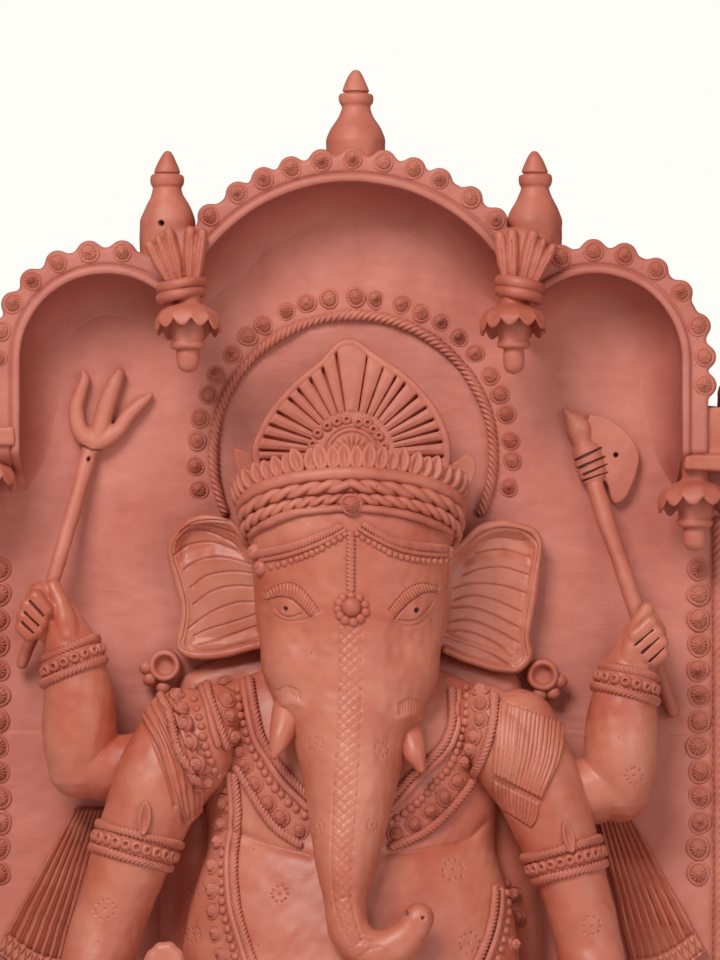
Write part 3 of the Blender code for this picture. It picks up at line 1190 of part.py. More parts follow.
made_plinth()
LOWER, UPPER = made_panels()
ARCHES = made_arches()
CAPITALS = made_capitals()
made_finials(UPPER, ARCHES, CAPITALS)
made_brackets_and_pendants()
HALO = made_ropes(LOWER, UPPER)
TORSO = made_torso(LOWER, UPPER)
SCARVES = [made_scarf("left", -1), made_scarf("right", 1)]
LEGS = made_legs(TORSO, LOWER)
WEAPONS = made_weapons((LOWER, UPPER))
FRONT_ARMS = made_front_arms(TORSO, LEGS, SCARVES, (LOWER, UPPER))
REAR_ARMS = made_rear_arms(TORSO, FRONT_ARMS, SCARVES, WEAPONS, (LOWER, UPPER))
NECKLACE, GARLAND = made_body_dress(TORSO, FRONT_ARMS, LEGS, REAR_ARMS, (LOWER, UPPER))
HEAD = made_head(TORSO, NECKLACE, GARLAND, UPPER)
EARS = made_ears(HEAD, HALO, UPPER)
made_crown(HEAD, EARS, HALO, UPPER)
made_brow_flower(HEAD)
set_out()
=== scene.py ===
"""Looks of the terracotta ganesha idol: the part's pieces worked up as hand-modelled, fired clay.

Places are (x, depth, height) as in the part: x to the viewer's right from the middle, depth forward from the
face of the back panel, height above the seat, in metres. Marks that follow the photograph are given in pixels
of its frame and pressed into the clay where the line of sight through that pixel meets it.
"""

import math

import bmesh
import bpy
import numpy as np
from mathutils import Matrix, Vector
from mathutils.bvhtree import BVHTree


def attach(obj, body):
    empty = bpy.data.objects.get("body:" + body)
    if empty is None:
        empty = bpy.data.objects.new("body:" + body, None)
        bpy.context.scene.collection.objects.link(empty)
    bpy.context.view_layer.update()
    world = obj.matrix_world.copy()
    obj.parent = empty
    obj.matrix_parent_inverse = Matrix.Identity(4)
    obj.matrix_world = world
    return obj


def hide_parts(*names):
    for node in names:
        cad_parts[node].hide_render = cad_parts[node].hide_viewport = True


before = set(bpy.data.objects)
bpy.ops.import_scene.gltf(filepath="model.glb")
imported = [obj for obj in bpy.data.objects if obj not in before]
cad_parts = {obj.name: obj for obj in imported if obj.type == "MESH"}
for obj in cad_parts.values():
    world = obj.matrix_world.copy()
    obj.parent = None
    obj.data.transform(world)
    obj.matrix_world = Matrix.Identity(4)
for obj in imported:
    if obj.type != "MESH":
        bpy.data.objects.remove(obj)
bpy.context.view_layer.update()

# The photograph's frame and the camera that gives its view
IMAGE_WIDTH = 720
IMAGE_HEIGHT = 960
EYE = (0.0072, -2.905, 0.664)
SENSOR_HEIGHT = 24.0
LENS = 93.75
PIXELS_PER_TANGENT = IMAGE_HEIGHT * LENS / SENSOR_HEIGHT

# Datum faces of the part
PANEL_FACE = 0.095
SEAT_HEIGHT = 0.09
SLIP_JOINT = 0.0004
VIEWER = np.array((0.0, -1.0, 0.0))
UPWARD = np.array((0.0, 0.0, 1.0))
SIDEWAYS = np.array((1.0, 0.0, 0.0))

# Chance, the same at every run: small strays of placed pieces, and a seed for each piece's own unevenness
CHANCE = np.random.default_rng(5)
SEEDS = iter(range(1, 1000))

# Guards against dividing by nothing
TINY = 1e-12
TINY_SQUARE = 1e-9

# Shapes: numbers in a full station of a limb, the rings of its domed ends, a coil's blunt end, a slab's rings
FULL_STATION = 5
DOME_LEANS = (20, 40, 60, 80)
NEARLY_SIDEWAYS = 0.9
COIL_END = 0.02
SLAB_SHARES = (0.02, 0.5, 1.0)

# Pressed pieces by the start of their names: the grain of the skin in metres and the rounds of wiping
GRAINS = {
    "back_panel": (0.0028, 3),
    "sheaf_bracket": (0.0007, 2),
    "capital": (0.0013, 14),
    "head": (0.0019, 7),
    "ear": (0.001, 3),
    "torso": (0.0026, 5),
    "front_arm": (0.0014, 4),
    "rear_arm": (0.0011, 4),
    "leg": (0.0026, 5),
    "trident": (0.0009, 4),
    "axe": (0.0009, 4),
    "crown_leaf": (0.0009, 9)}

# Marks: how far clay has to look to the viewer to take a mark or a raise, and how uneven pricked flowers are
MARK_FACING = 0.1
RAISE_FACING = 0.05
PRICK_COUNT = 10
PRICK_STRAY = 0.12
PRICK_SPREAD = 0.1
LAID_ROUNDS = 4

# Unevenness left by the hand: size of the waves and how far they swell, slow ones and quick ones
UNEVENNESS = ((0.045, 0.00045), (0.012, 0.00016))
WAVE_COUNT = 9
WAVE_RANGE = (0.7, 1.6)

# Curvature, per metre, that counts as a full hollow, and rounds that soften the note of it; the note paints
# shade into hollows and marks and paler wear onto edges
HOLLOW_BEND = 1900.0
HOLLOW_ROUNDS = 2

# Back panel
PANEL_THICKNESS = 0.023
PANEL_HALF_WIDTH = 0.338
PANEL_SEAM_HEIGHT = 0.368
PANEL_TOP_INSET = 0.0014

# Niche arches; radii are to the groove inside the rosette strip
CENTRE_ARCH_RADIUS = 0.1497
CENTRE_ARCH_HEIGHT = 0.666
SIDE_ARCH_RADIUS = 0.0755
SIDE_ARCH_HEIGHT = 0.668
SIDE_ARCH_OFFSET = 0.192
ARCH_FOOT_HEIGHT = 0.5984
LEG_END_HEIGHT = 0.56
ARCH_DEPTH = 0.056
STRIP_VALLEY = 0.0133
STRIP_LOBE = 0.01
ROLL_WIDTH = 0.0072
ROLL_RISE = 0.0026
ROLL_LIP = 0.006
COVE_WIDTH = 0.045
COVE_EASE = 1.2
COVE_SINK = 0.0022
COVE_FOOT_FADE = 0.085
CUSP_OFFSET = 0.13895
CUSP_SPARE = math.radians(14)
CUSP_FADE = math.radians(34)
# Darker tone of the arch strip and roll, beside the painted shade in the coves
STRIP_TONE = 0.28
ROSETTE_LINE = 0.01
ROSETTE_RADIUS = 0.008
SHOULDER_HEIGHT = 0.63

# Halo and side borders
HALO_OFFSET = 0.002
HALO_HEIGHT = 0.594
HALO_RADIUS = 0.112
HALO_LOW_ANGLE = math.radians(-20)
HALO_ROPE_LOW_ANGLE = math.radians(-26)
HALO_ROPE_RADIUS = 0.0044
HALO_ROSETTE_LINE = 0.0143
HALO_ROSETTE_COUNT = 25
BORDER_OFFSET = 0.278
BORDER_TOP_HEIGHT = 0.503
BORDER_PITCH = 0.0203
BORDER_COUNT = 24
BORDER_ROSETTE_RADIUS = 0.0096
SCARF_COVER = (0.15, 0.246)
BORDER_ROPE_OFFSET = 0.2935
BORDER_LEFT_STRAY = 0.0035
BORDER_ROPE_RADIUS = 0.0048
BORDER_ROPE_SPAN = (0.0014, 0.545)
ROPE_SHARE = 0.62


def at(x, depth, height):
    """Places in the room of points given from the panel's face and the seat."""
    rows = np.broadcast_arrays(x, PANEL_FACE - np.asarray(depth), SEAT_HEIGHT + np.asarray(height))
    return np.stack(rows, axis=-1).astype(float)


def pixels_of(points):
    """Where points in the room fall in the photograph's frame."""
    away = points[:, 1] - EYE[1]
    across = IMAGE_WIDTH / 2 + PIXELS_PER_TANGENT * (points[:, 0] - EYE[0]) / away
    down = IMAGE_HEIGHT / 2 - PIXELS_PER_TANGENT * (points[:, 2] - EYE[2]) / away
    return np.stack([across, down], axis=1)


def in_sight(pixel, depth):
    """Place (x, depth, height) behind a pixel of the photograph at a depth before the panel."""
    scale = (PANEL_FACE - depth - EYE[1]) / PIXELS_PER_TANGENT
    x = EYE[0] + (pixel[0] - IMAGE_WIDTH / 2) * scale
    height = EYE[2] - SEAT_HEIGHT - (pixel[1] - IMAGE_HEIGHT / 2) * scale
    return x, depth, height


def outlined(pixels, depth):
    """Points (x, height) behind pixels of the photograph at a depth before the panel."""
    return np.array([in_sight(pixel, depth) for pixel in pixels])[:, [0, 2]]


def eased(rows, per_span=8):
    """Rows on a smooth line through the given rows."""
    rows = np.asarray(rows, dtype=float)
    before = 2 * rows[:1] - rows[1:2]
    beyond = 2 * rows[-1:] - rows[-2:-1]
    padded = np.concatenate([before, rows, beyond])
    share = np.arange(per_span)[:, None] / per_span
    made = []
    for a, b, c, d in zip(padded, padded[1:], padded[2:], padded[3:]):
        bend = (2 * a - 5 * b + 4 * c - d) * share ** 2 + (3 * b - a - 3 * c + d) * share ** 3
        made.append(b + ((c - a) * share + bend) / 2)
    made.append(rows[-1:])
    return np.concatenate(made)


def smooth(lines):
    """Smooth lines through several lines of points."""
    return [eased(line) for line in lines]


def mirrored(stations):
    """Stations on the other side of the middle."""
    return [(-station[0], *station[1:]) for station in stations]


def stepped(line, step):
    """Points at even steps along a line of points."""
    line = np.asarray(line, dtype=float)
    along = np.concatenate([[0.0], np.cumsum(np.linalg.norm(np.diff(line, axis=0), axis=1))])
    marks = np.linspace(0.0, along[-1], max(int(round(along[-1] / step)), 1) + 1)
    return np.stack([np.interp(marks, along, column) for column in line.T], axis=1)


def unit(vectors):
    """Vectors of length one."""
    return vectors / np.maximum(np.linalg.norm(vectors, axis=-1, keepdims=True), TINY)


def skinned(rings):
    """Closed shape through rings of points (rings x around x 3), its ends filled."""
    count, around = rings.shape[:2]
    start = np.arange(count - 1)[:, None] * around
    here = np.arange(around)[None, :]
    after = (here + 1) % around
    quads = np.stack([start + here, start + after, start + around + after, start + around + here], axis=-1)
    faces = quads.reshape(-1, 4).tolist()
    foot = count * around
    last = foot - around
    for index in range(around):
        beside = (index + 1) % around
        faces.append((foot, beside, index))
        faces.append((foot + 1, last + index, last + beside))
    points = np.concatenate([rings.reshape(-1, 3), [rings[0].mean(axis=0), rings[-1].mean(axis=0)]])
    return points, faces


def joined(shapes):
    """One shape of several."""
    points = []
    faces = []
    count = 0
    for shape_points, shape_faces in shapes:
        points.append(shape_points)
        faces.extend([[corner + count for corner in face] for face in shape_faces])
        count += len(shape_points)
    return np.concatenate(points), faces


def limb(stations, sides=40, flatten=1.0):
    """Rounded shape along stations (x, depth, height, half width[, half thickness]) with domed ends."""
    path = eased([row if len(row) == FULL_STATION else (*row, row[3] * flatten) for row in stations])
    centres = at(path[:, 0], path[:, 1], path[:, 2])
    ways = unit(np.gradient(centres, axis=0))
    rows = list(zip(centres, ways, path[:, 3:]))
    first = rows[0]
    last = rows[-1]
    for lean in np.radians(DOME_LEANS):
        for sign, (centre, way, half) in ((-1, first), (1, last)):
            row = (centre + way * sign * math.sin(lean) * half.min(), way, half * math.cos(lean))
            rows.insert(0 if sign < 0 else len(rows), row)
    across = SIDEWAYS if abs(ways[0][0]) < NEARLY_SIDEWAYS else UPWARD
    turns = np.linspace(0.0, math.tau, sides, endpoint=False)[:, None]
    rings = []
    for centre, way, half in rows:
        across = unit(across - way * across.dot(way))
        through = np.cross(way, across)
        rings.append(centre + across * np.cos(turns) * half[0] + through * np.sin(turns) * half[1])
    return skinned(np.array(rings))


def coil(path, radius, sides=14, up=VIEWER, flatten=1.0, mark=None):
    """Rolled coil along places; mark(along, turn) scales its radius, as a twist or a comb does."""
    path = np.asarray(path, dtype=float)
    along = np.concatenate([[0.0], np.cumsum(np.linalg.norm(np.diff(path, axis=0), axis=1))])
    ways = unit(np.gradient(path, axis=0))
    up = np.broadcast_to(up, path.shape)
    through = unit(up - ways * (up * ways).sum(axis=1, keepdims=True))
    across = np.cross(ways, through)
    turns = np.linspace(0.0, math.tau, sides, endpoint=False)
    near_end = np.clip(np.minimum(along, along[-1] - along) / radius, 0.0, 1.0)
    swell = radius * np.sqrt(np.clip(1.0 - (1.0 - near_end) ** 2, COIL_END, 1.0))[:, None]
    if mark is not None:
        swell = swell * mark(along[:, None], turns[None, :])
    else:
        swell = np.broadcast_to(swell, (len(path), sides))
    spread = across[:, None] * (np.cos(turns) * swell)[..., None]
    rise = through[:, None] * (np.sin(turns) * swell)[..., None] * flatten
    return skinned(path[:, None] + spread + rise)


def twist(pitch, strands, hand, depth, fullness):
    """Mark of a twisted rope: strands winding one way, with a pitch along the rope between them."""
    def mark(along, turn):
        phase = turn * strands / 2 + hand * math.pi * along / pitch
        return 1.0 - depth * (1.0 - np.abs(np.cos(phase)) ** fullness)
    return mark


def comb(pitch, slant, depth=0.36):
    """Mark of a comb drawn across a band: slanting strokes at a pitch."""
    def mark(along, turn):
        phase = math.pi * along / pitch + slant * np.cos(turn)
        return 1.0 - depth * np.abs(np.cos(phase)) ** 3
    return mark


def plate(outline, back, front, step=0.004):
    """Upright slab of an outline of (x, height) points between two depths, star-shaped from its middle."""
    line = stepped(np.concatenate([outline, outline[:1]]), step)[:-1]
    middle = line.mean(axis=0)
    rings = []
    for depth, shares in ((back, SLAB_SHARES), (front, SLAB_SHARES[::-1])):
        for share in shares:
            spread = middle + (line - middle) * share
            rings.append(at(spread[:, 0], depth, spread[:, 1]))
    return skinned(np.array(rings))


def mesh_of(name, shape):
    """Blender mesh of a shape, its faces turned outward."""
    mesh = bpy.data.meshes.new(name)
    points, faces = shape
    mesh.from_pydata(points, [], faces)
    faced_out(mesh)
    return mesh


def faced_out(mesh):
    """Turn every face outward."""
    work = bmesh.new()
    work.from_mesh(mesh)
    bmesh.ops.recalc_face_normals(work, faces=work.faces)
    work.to_mesh(mesh)
    work.free()


def points_of(mesh):
    """The mesh's points as rows."""
    flat = np.empty(len(mesh.vertices) * 3)
    mesh.vertices.foreach_get("co", flat)
    return flat.reshape(-1, 3)


def set_points(mesh, points):
    """Move the mesh's points to the given rows."""
    mesh.vertices.foreach_set("co", points.ravel())
    mesh.update()


def normals_of(mesh):
    """Outward directions at the mesh's points."""
    flat = np.empty(len(mesh.vertices) * 3)
    mesh.vertex_normals.foreach_get("vector", flat)
    return flat.reshape(-1, 3)


def edges_of(mesh):
    """The mesh's edges as pairs of point numbers."""
    flat = np.empty(len(mesh.edges) * 2, dtype=int)
    mesh.edges.foreach_get("vertices", flat)
    return flat.reshape(-1, 2)


def beside(values, edges):
    """Mean of each point's neighbours."""
    ends = edges.ravel()
    others = edges[:, ::-1].ravel()
    count = np.maximum(np.bincount(ends, minlength=len(values)), 1)
    columns = [np.bincount(ends, weights=column[others], minlength=len(values)) for column in values.T]
    return np.stack(columns, axis=1) / count[:, None]


def sponged(mesh, rounds):
    """Wipe the clay smooth."""
    points = points_of(mesh)
    edges = edges_of(mesh)
    for _ in range(rounds):
        points += (beside(points, edges) - points) / 2
    set_points(mesh, points)


def pressed(name, shapes):
    """One skin over shapes of wet clay pressed together, at the piece's grain, and wiped smooth."""
    grain, rounds = next(GRAINS[kind] for kind in GRAINS if name.startswith(kind))
    rough = mesh_of(name, joined(shapes))
    lump = bpy.data.objects.new(name, rough)
    bpy.context.scene.collection.objects.link(lump)
    remesh = lump.modifiers.new("one skin", "REMESH")
    remesh.mode = "VOXEL"
    remesh.voxel_size = grain
    mesh = bpy.data.meshes.new_from_object(lump.evaluated_get(bpy.context.evaluated_depsgraph_get()))
    bpy.data.objects.remove(lump)
    bpy.data.meshes.remove(rough)
    sponged(mesh, rounds)
    return mesh


def off_line(spots, line):
    """Distance of spots from a line of points."""
    line = np.asarray(line, dtype=float)
    nearest = np.linalg.norm(spots - line[0], axis=1)
    for start, end in zip(line, line[1:]):
        way = end - start
        share = np.clip((spots - start) @ way / max(way @ way, TINY_SQUARE), 0.0, 1.0)
        nearest = np.minimum(nearest, np.linalg.norm(spots - start - share[:, None] * way, axis=1))
    return nearest


def near_lines(mesh, lines, reach):
    """For points facing the viewer: their distance in pixels to the nearest of the lines, or infinity."""
    spots = pixels_of(points_of(mesh))
    facing = normals_of(mesh)[:, 1] < -MARK_FACING
    nearest = np.full(len(spots), np.inf)
    for line in lines:
        line = np.asarray(line, dtype=float)
        past_start = spots > line.min(axis=0) - reach
        before_end = spots < line.max(axis=0) + reach
        chosen = np.flatnonzero(facing & np.all(past_start & before_end, axis=1))
        if len(chosen):
            nearest[chosen] = np.minimum(nearest[chosen], off_line(spots[chosen], line))
    return nearest


def finer(mesh, lines, *reaches):
    """Split the faces within each reach in pixels of the lines in turn, so that marks come out crisp."""
    for reach in reaches:
        chosen = near_lines(mesh, lines, reach + 1) < reach
        work = bmesh.new()
        work.from_mesh(mesh)
        work.verts.ensure_lookup_table()
        split = [edge for edge in work.edges if all(chosen[corner.index] for corner in edge.verts)]
        bmesh.ops.subdivide_edges(work, edges=split, cuts=1, use_grid_fill=True)
        work.to_mesh(mesh)
        work.free()


def marked(mesh, lines, half_width, depth, painted_mark_shade=0.0, wall=2):
    """Draw a tool of a half width in pixels along lines; negative depth raises, more wall is steeper."""
    nearest = near_lines(mesh, lines, half_width * 3)
    cut = np.exp(-(nearest / half_width) ** wall)
    set_points(mesh, points_of(mesh) - normals_of(mesh) * (cut * depth)[:, None])
    # Paint shade into the mark: pricks, holes and slits are drawn darker than their clay
    if painted_mark_shade:
        shaded = mesh.attributes.get("painted_mark_shade") or mesh.attributes.new("painted_mark_shade", "FLOAT", "POINT")
        values = np.empty(len(mesh.vertices))
        shaded.data.foreach_get("value", values)
        shaded.data.foreach_set("value", np.maximum(values, cut * painted_mark_shade))


def swollen(mesh, pixel, radius, rise):
    """Raise a round swelling about a pixel."""
    marked(mesh, [[pixel]], radius, -rise)


def raised(mesh, outline, rise, edge):
    """Raise the clay inside an outline of pixels by a rise, over an edge in pixels."""
    spots = pixels_of(points_of(mesh))
    outline = np.asarray(outline, dtype=float)
    closed = np.concatenate([outline, outline[:1]])
    inside = np.zeros(len(spots), dtype=bool)
    for (x0, y0), (x1, y1) in zip(closed, closed[1:]):
        crosses = (y0 > spots[:, 1]) != (y1 > spots[:, 1])
        # A level edge is crossed by no point, so its height may be anything but nothing
        height = (y1 - y0) or TINY_SQUARE
        inside ^= crosses & (spots[:, 0] < x0 + (x1 - x0) * (spots[:, 1] - y0) / height)
    inside &= normals_of(mesh)[:, 1] < -RAISE_FACING
    share = np.zeros(len(spots))
    chosen = np.flatnonzero(inside)
    share[chosen] = np.clip(off_line(spots[chosen], closed) / edge, 0.0, 1.0)
    share = share * share * (3 - 2 * share)
    set_points(mesh, points_of(mesh) + normals_of(mesh) * (share * rise)[:, None])


def dotted(pixel, radius):
    """A ring of pricks about a middle one, as one-point lines."""
    turns = np.linspace(0.0, math.tau, PRICK_COUNT, endpoint=False)
    turns = turns + CHANCE.uniform(-PRICK_STRAY, PRICK_STRAY, PRICK_COUNT)
    reach = radius * (1 + CHANCE.uniform(-PRICK_SPREAD, PRICK_SPREAD, PRICK_COUNT))
    ring = [[(pixel[0] + r * math.cos(t), pixel[1] + r * math.sin(t))] for r, t in zip(reach, turns)]
    return [[pixel], *ring]


def flowered(mesh, flowers, tool, *margins):
    """Prick flowers (across, down, radius) with a tool, the clay first made finer by margins about them."""
    for across, down, radius in flowers:
        finer(mesh, [[(across, down)]], *[radius + margin for margin in margins])
        marked(mesh, dotted((across, down), radius), *tool)


def uneven(points, size, amount, seed):
    """Gentle unevenness left by the hand: slow waves of about a size."""
    chance = np.random.default_rng(seed)
    ways = unit(chance.normal(size=(WAVE_COUNT, 3)))
    waves = ways * math.tau / (size * chance.uniform(*WAVE_RANGE, (WAVE_COUNT, 1)))
    phases = chance.uniform(0.0, math.tau, WAVE_COUNT)
    return amount * np.sin(points @ waves.T + phases).sum(axis=1) / math.sqrt(WAVE_COUNT)


def hollowed(mesh):
    """Note at each point how hollow the clay is, for painted shade in hollows and marks and for wear on
    edges.
    """
    points = points_of(mesh)
    edges = edges_of(mesh)
    spans = ((points[edges[:, 0]] - points[edges[:, 1]]) ** 2).sum(axis=1)
    ends = edges.ravel()
    count = np.maximum(np.bincount(ends, minlength=len(points)), 1)
    square = np.bincount(ends, weights=np.repeat(spans, 2), minlength=len(points)) / count
    sunk = ((beside(points, edges) - points) * normals_of(mesh)).sum(axis=1)
    bend = sunk * 2 / np.maximum(square, TINY_SQUARE)
    bend = np.clip(bend / HOLLOW_BEND, -1.0, 1.0)[:, None]
    for _ in range(HOLLOW_ROUNDS):
        bend = (bend + beside(bend, edges)) / 2
    note = mesh.attributes.new("hollow", "FLOAT", "POINT")
    note.data.foreach_set("value", bend[:, 0])


def shown(name, clay, work, *nodes, wobble=1.0, slot=None):
    """Set a worked shape or mesh on the idol in its clay, in place of the named nodes."""
    mesh = mesh_of(name, work) if isinstance(work, tuple) else work
    mesh.name = name
    points = points_of(mesh)
    swells = [uneven(points, size, amount * wobble, next(SEEDS)) for size, amount in UNEVENNESS]
    set_points(mesh, points + normals_of(mesh) * sum(swells)[:, None])
    hollowed(mesh)
    mesh.materials.clear()
    mesh.materials.append(CLAYS[clay])
    mesh.shade_smooth()
    piece = bpy.data.objects.new(name, mesh)
    bpy.context.scene.collection.objects.link(piece)
    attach(piece, "root")
    if nodes:
        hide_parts(*nodes)
    return piece


def felt(piece):
    """Surface of a piece, to lay other pieces on."""
    return BVHTree.FromObject(piece, bpy.context.evaluated_depsgraph_get())


def touched(surfaces, pixels):
    """Places where lines of sight through pixels first meet the surfaces, and outward directions there."""
    places = []
    outward = []
    for across, down in pixels:
        sideways = (across - IMAGE_WIDTH / 2) / PIXELS_PER_TANGENT
        way = Vector((sideways, 1.0, (IMAGE_HEIGHT / 2 - down) / PIXELS_PER_TANGENT)).normalized()
        hits = [surface.ray_cast(Vector(EYE), way) for surface in surfaces]
        hits = [hit for hit in hits if hit[0] is not None]
        if hits:
            place, normal = min(hits, key=lambda hit: hit[3])[:2]
            places.append(tuple(place))
            outward.append(tuple(normal) if normal.y < 0 else tuple(-normal))
    return np.array(places), np.array(outward)


def laid(surfaces, pixels, radius, flatten=1.0, mark=None, sink=0.3, sides=14, step=0.9):
    """Coil of clay laid on the surfaces along pixels."""
    places, outward = touched(surfaces, stepped(eased(pixels), step))
    for _ in range(LAID_ROUNDS):
        outward[1:-1] = unit(outward[:-2] + 2 * outward[1:-1] + outward[2:])
        places[1:-1] = (places[:-2] + 2 * places[1:-1] + places[2:]) / 4
    return coil(places + outward * radius * flatten * (1 - sink), radius, sides, outward, flatten, mark)


def stamped(shapes, places, outward, sizes, turns=None, up=UPWARD):
    """Copies of small shapes, taken in turn, pressed on at places, each with its size and turn."""
    count = len(places)
    sizes = np.broadcast_to(sizes, count)
    turns = np.zeros(count) if turns is None else turns
    copies = []
    for index, (place, normal, size, turn) in enumerate(zip(places, outward, sizes, turns)):
        points, faces = shapes[index % len(shapes)]
        side = unit(np.cross(up, normal))
        over = np.cross(normal, side)
        first = side * math.cos(turn) + over * math.sin(turn)
        second = np.cross(normal, first)
        copies.append((place + points @ np.array((first, second, normal)) * size, faces))
    return joined(copies)


# Small stamped shapes, in shares of their radius
DOME_EDGE = 0.97
DOME_MIDDLE = 0.04
RING_RISE = 0.2
RING_EDGE = 0.06
RING_LEAN = 0.25
GROOVE_DEPTH = 0.15
GROOVE_PLACE = 0.75
GROOVE_WIDTH = 0.05
FLUTES_FROM = 0.72
FLUTES_FADE = 0.14
FLUTE_RISE = 0.13
FLUTE_START = 0.36
FLUTE_GROWTH = 1.5
FLUTE_FULLNESS = 0.6
FLUTE_LEVEL = 1.3
CONE_REACH = 0.95
DOT_RISE = 0.1
DOT_WIDTH = 0.15
OVAL_SWELL = 0.035
THREE_SIDED_SWELL = 0.03
BEAD_RISE = 0.85
HOLED_RISE = 0.72
HOLE_DEPTH = 1.7
HOLE_WIDTH = 0.31
SIZE_STRAY = 0.06


def domed(height, around=52, rings=13, sunk=-0.35):
    """Small stamped shape of radius one: height(share of radius, turn) over a sunk foot."""
    shares = np.concatenate([[1.0, 1.0], np.linspace(DOME_EDGE, DOME_MIDDLE, rings)])
    turns = np.linspace(0.0, math.tau, around, endpoint=False)
    rows = []
    for index, share in enumerate(shares):
        rise = np.full(around, sunk) if index == 0 else np.broadcast_to(height(share, turns), around)
        rows.append(np.stack([share * np.cos(turns), share * np.sin(turns), rise], axis=1))
    return skinned(np.array(rows))


def rosette(petals, lift, lean):
    """Stamped rosette: a ring, uneven by the stamp's lean, and in it a cone of fluted petals about a dot."""
    def height(share, turn):
        ring = RING_RISE * min(1.0, (1.0 - share) / RING_EDGE) * (1 + RING_LEAN * np.cos(turn + lean))
        groove = -GROOVE_DEPTH * math.exp(-((share - GROOVE_PLACE) / GROOVE_WIDTH) ** 2)
        inside = min(max((FLUTES_FROM - share) / FLUTES_FADE, 0.0), 1.0)
        cone = lift * inside * (1.0 - share / CONE_REACH)
        grown = FLUTE_RISE * inside * min(share / FLUTE_START, 1.0) ** FLUTE_GROWTH
        flutes = grown * (2 * np.abs(np.cos(turn * petals / 2)) ** FLUTE_FULLNESS - FLUTE_LEVEL)
        dot = DOT_RISE * math.exp(-(share / DOT_WIDTH) ** 2)
        return ring + groove + cone + flutes + dot
    points, faces = domed(height)
    turn = np.arctan2(points[:, 1], points[:, 0])
    swell = 1 + OVAL_SWELL * np.cos(2 * turn + lean) + THREE_SIDED_SWELL * np.cos(3 * turn - 2 * lean)
    return points * np.stack([swell, swell, np.ones(len(swell))], axis=1), faces


def bead_height(share, _turn):
    """Round pellet."""
    return BEAD_RISE * math.sqrt(max(1.0 - share ** 2, 0.0))


def holed_height(share, _turn):
    """Pellet pricked in the middle."""
    dome = HOLED_RISE * math.sqrt(max(1.0 - share ** 2, 0.0))
    return dome - HOLE_DEPTH * math.exp(-(share / HOLE_WIDTH) ** 4)


# Stamps: petals, lift of the cone and lean, each a little different as the hand presses
ROSETTES = [rosette(13, 0.44, 0.4), rosette(12, 0.40, 2.3), rosette(14, 0.46, 4.1), rosette(13, 0.42, 5.4)]
BOLD_ROSETTES = [rosette(11, 0.66, 0.9), rosette(12, 0.60, 2.9), rosette(10, 0.70, 5.0)]
BEADS = [domed(bead_height, around=18, rings=7)]
HOLED_BEADS = [domed(holed_height, around=28, rings=13)]


def scattered(shapes, surfaces, pixels, size, jitter=0.0):
    """Copies of a small shape pressed where pixels fall on the surfaces, a little uneven."""
    pixels = np.asarray(pixels, dtype=float)
    pixels = pixels + CHANCE.uniform(-1, 1, pixels.shape) * jitter
    places, outward = touched(surfaces, pixels)
    sizes = size * (1 + SIZE_STRAY * CHANCE.uniform(-1, 1, len(places)))
    turns = CHANCE.uniform(0.0, math.tau, len(places))
    return stamped(shapes, places, outward, sizes, turns)


def rowed(shapes, surfaces, pixels, pitch, size, jitter=0.4):
    """Copies of a small shape in a row along pixels at a pitch in pixels."""
    return scattered(shapes, surfaces, stepped(eased(pixels), pitch), size, jitter)


# Fired clay: sizes of its clouds, mottling and wiped smears, and the detail of each
CLOUDS = {"cloud": (0.085, 4.0), "mottle": (0.016, 5.0), "smear": (0.03, 2.0)}
CLOUD_ROUGHNESS = 0.6
# Layers over the body colour: the field, the values from which and to which it takes, its most, its shade.
# The hollow layers paint shade into hollows and marks and put paler wear on edges; the cove layer paints
# shade under the arches and a darker tone on their strips.
LAYERS = (
    ("cloud", 0.36, 0.68, 1.0, "pale"), ("mottle", 0.52, 0.8, 0.18, "deep"),
    ("smear", 0.56, 0.74, 0.2, "pale"), ("cove_shade_and_strip_tone", 0.0, 1.0, 0.62, "cove_shade_and_strip_tone"),
    ("hollow", 0.05, 0.8, 0.86, "deep"), ("hollow", -0.1, -0.8, 0.35, "pale"))
# Colour of the painted shade in the arch coves, under the rolls
COVE_SHADE_COLOUR = "#7d2a20"
# Colour of the painted shade in pricks, holes and slits
PAINTED_MARK_SHADE_COLOUR = "#26100d"
# Lime specks, and pits painted as dark spots of shade: which cells hold one, how far it reaches in its cell,
# its shade
SPECK_CELL = 0.0065
SPOTS = ((0.84, "GREATER_THAN", 0.06, "lime"), (0.22, "LESS_THAN", 0.085, "deep"))
LIME_SHADE = "#dcb3a4"
# Real grit is about 0.2 mm; it is drawn coarser here so that it holds at this distance
GRIT_SIZE = 0.0011
GRIT_RELIEF = 0.00018
GRIT_STRENGTH = 0.7
WIPE_SIZE = 0.011
WIPE_STRETCH = (0.3, 1.0, 1.0)
WIPE_WAVER = 1.2
# Sockets of a colour mix by number, as its names repeat for each kind of data
FACTOR = 0
UNDER = 6
OVER = 7
MIXED = 2


def colour(hexed):
    """Linear colour of an sRGB hex colour."""
    channels = [int(hexed[index:index + 2], 16) / 255 for index in (1, 3, 5)]
    linear = [part / 12.92 if part <= 0.04045 else ((part + 0.055) / 1.055) ** 2.4 for part in channels]
    return (*linear, 1.0)


def added(tree, kind, sockets=None, **settings):
    """Add a shader node with settings; sockets maps its inputs to values or to other nodes' outputs."""
    node = tree.nodes.new(kind)
    for word, value in settings.items():
        setattr(node, word, value)
    for socket, value in (sockets or {}).items():
        if isinstance(value, bpy.types.NodeSocket):
            tree.links.new(value, node.inputs[socket])
        else:
            node.inputs[socket].default_value = value
    return node


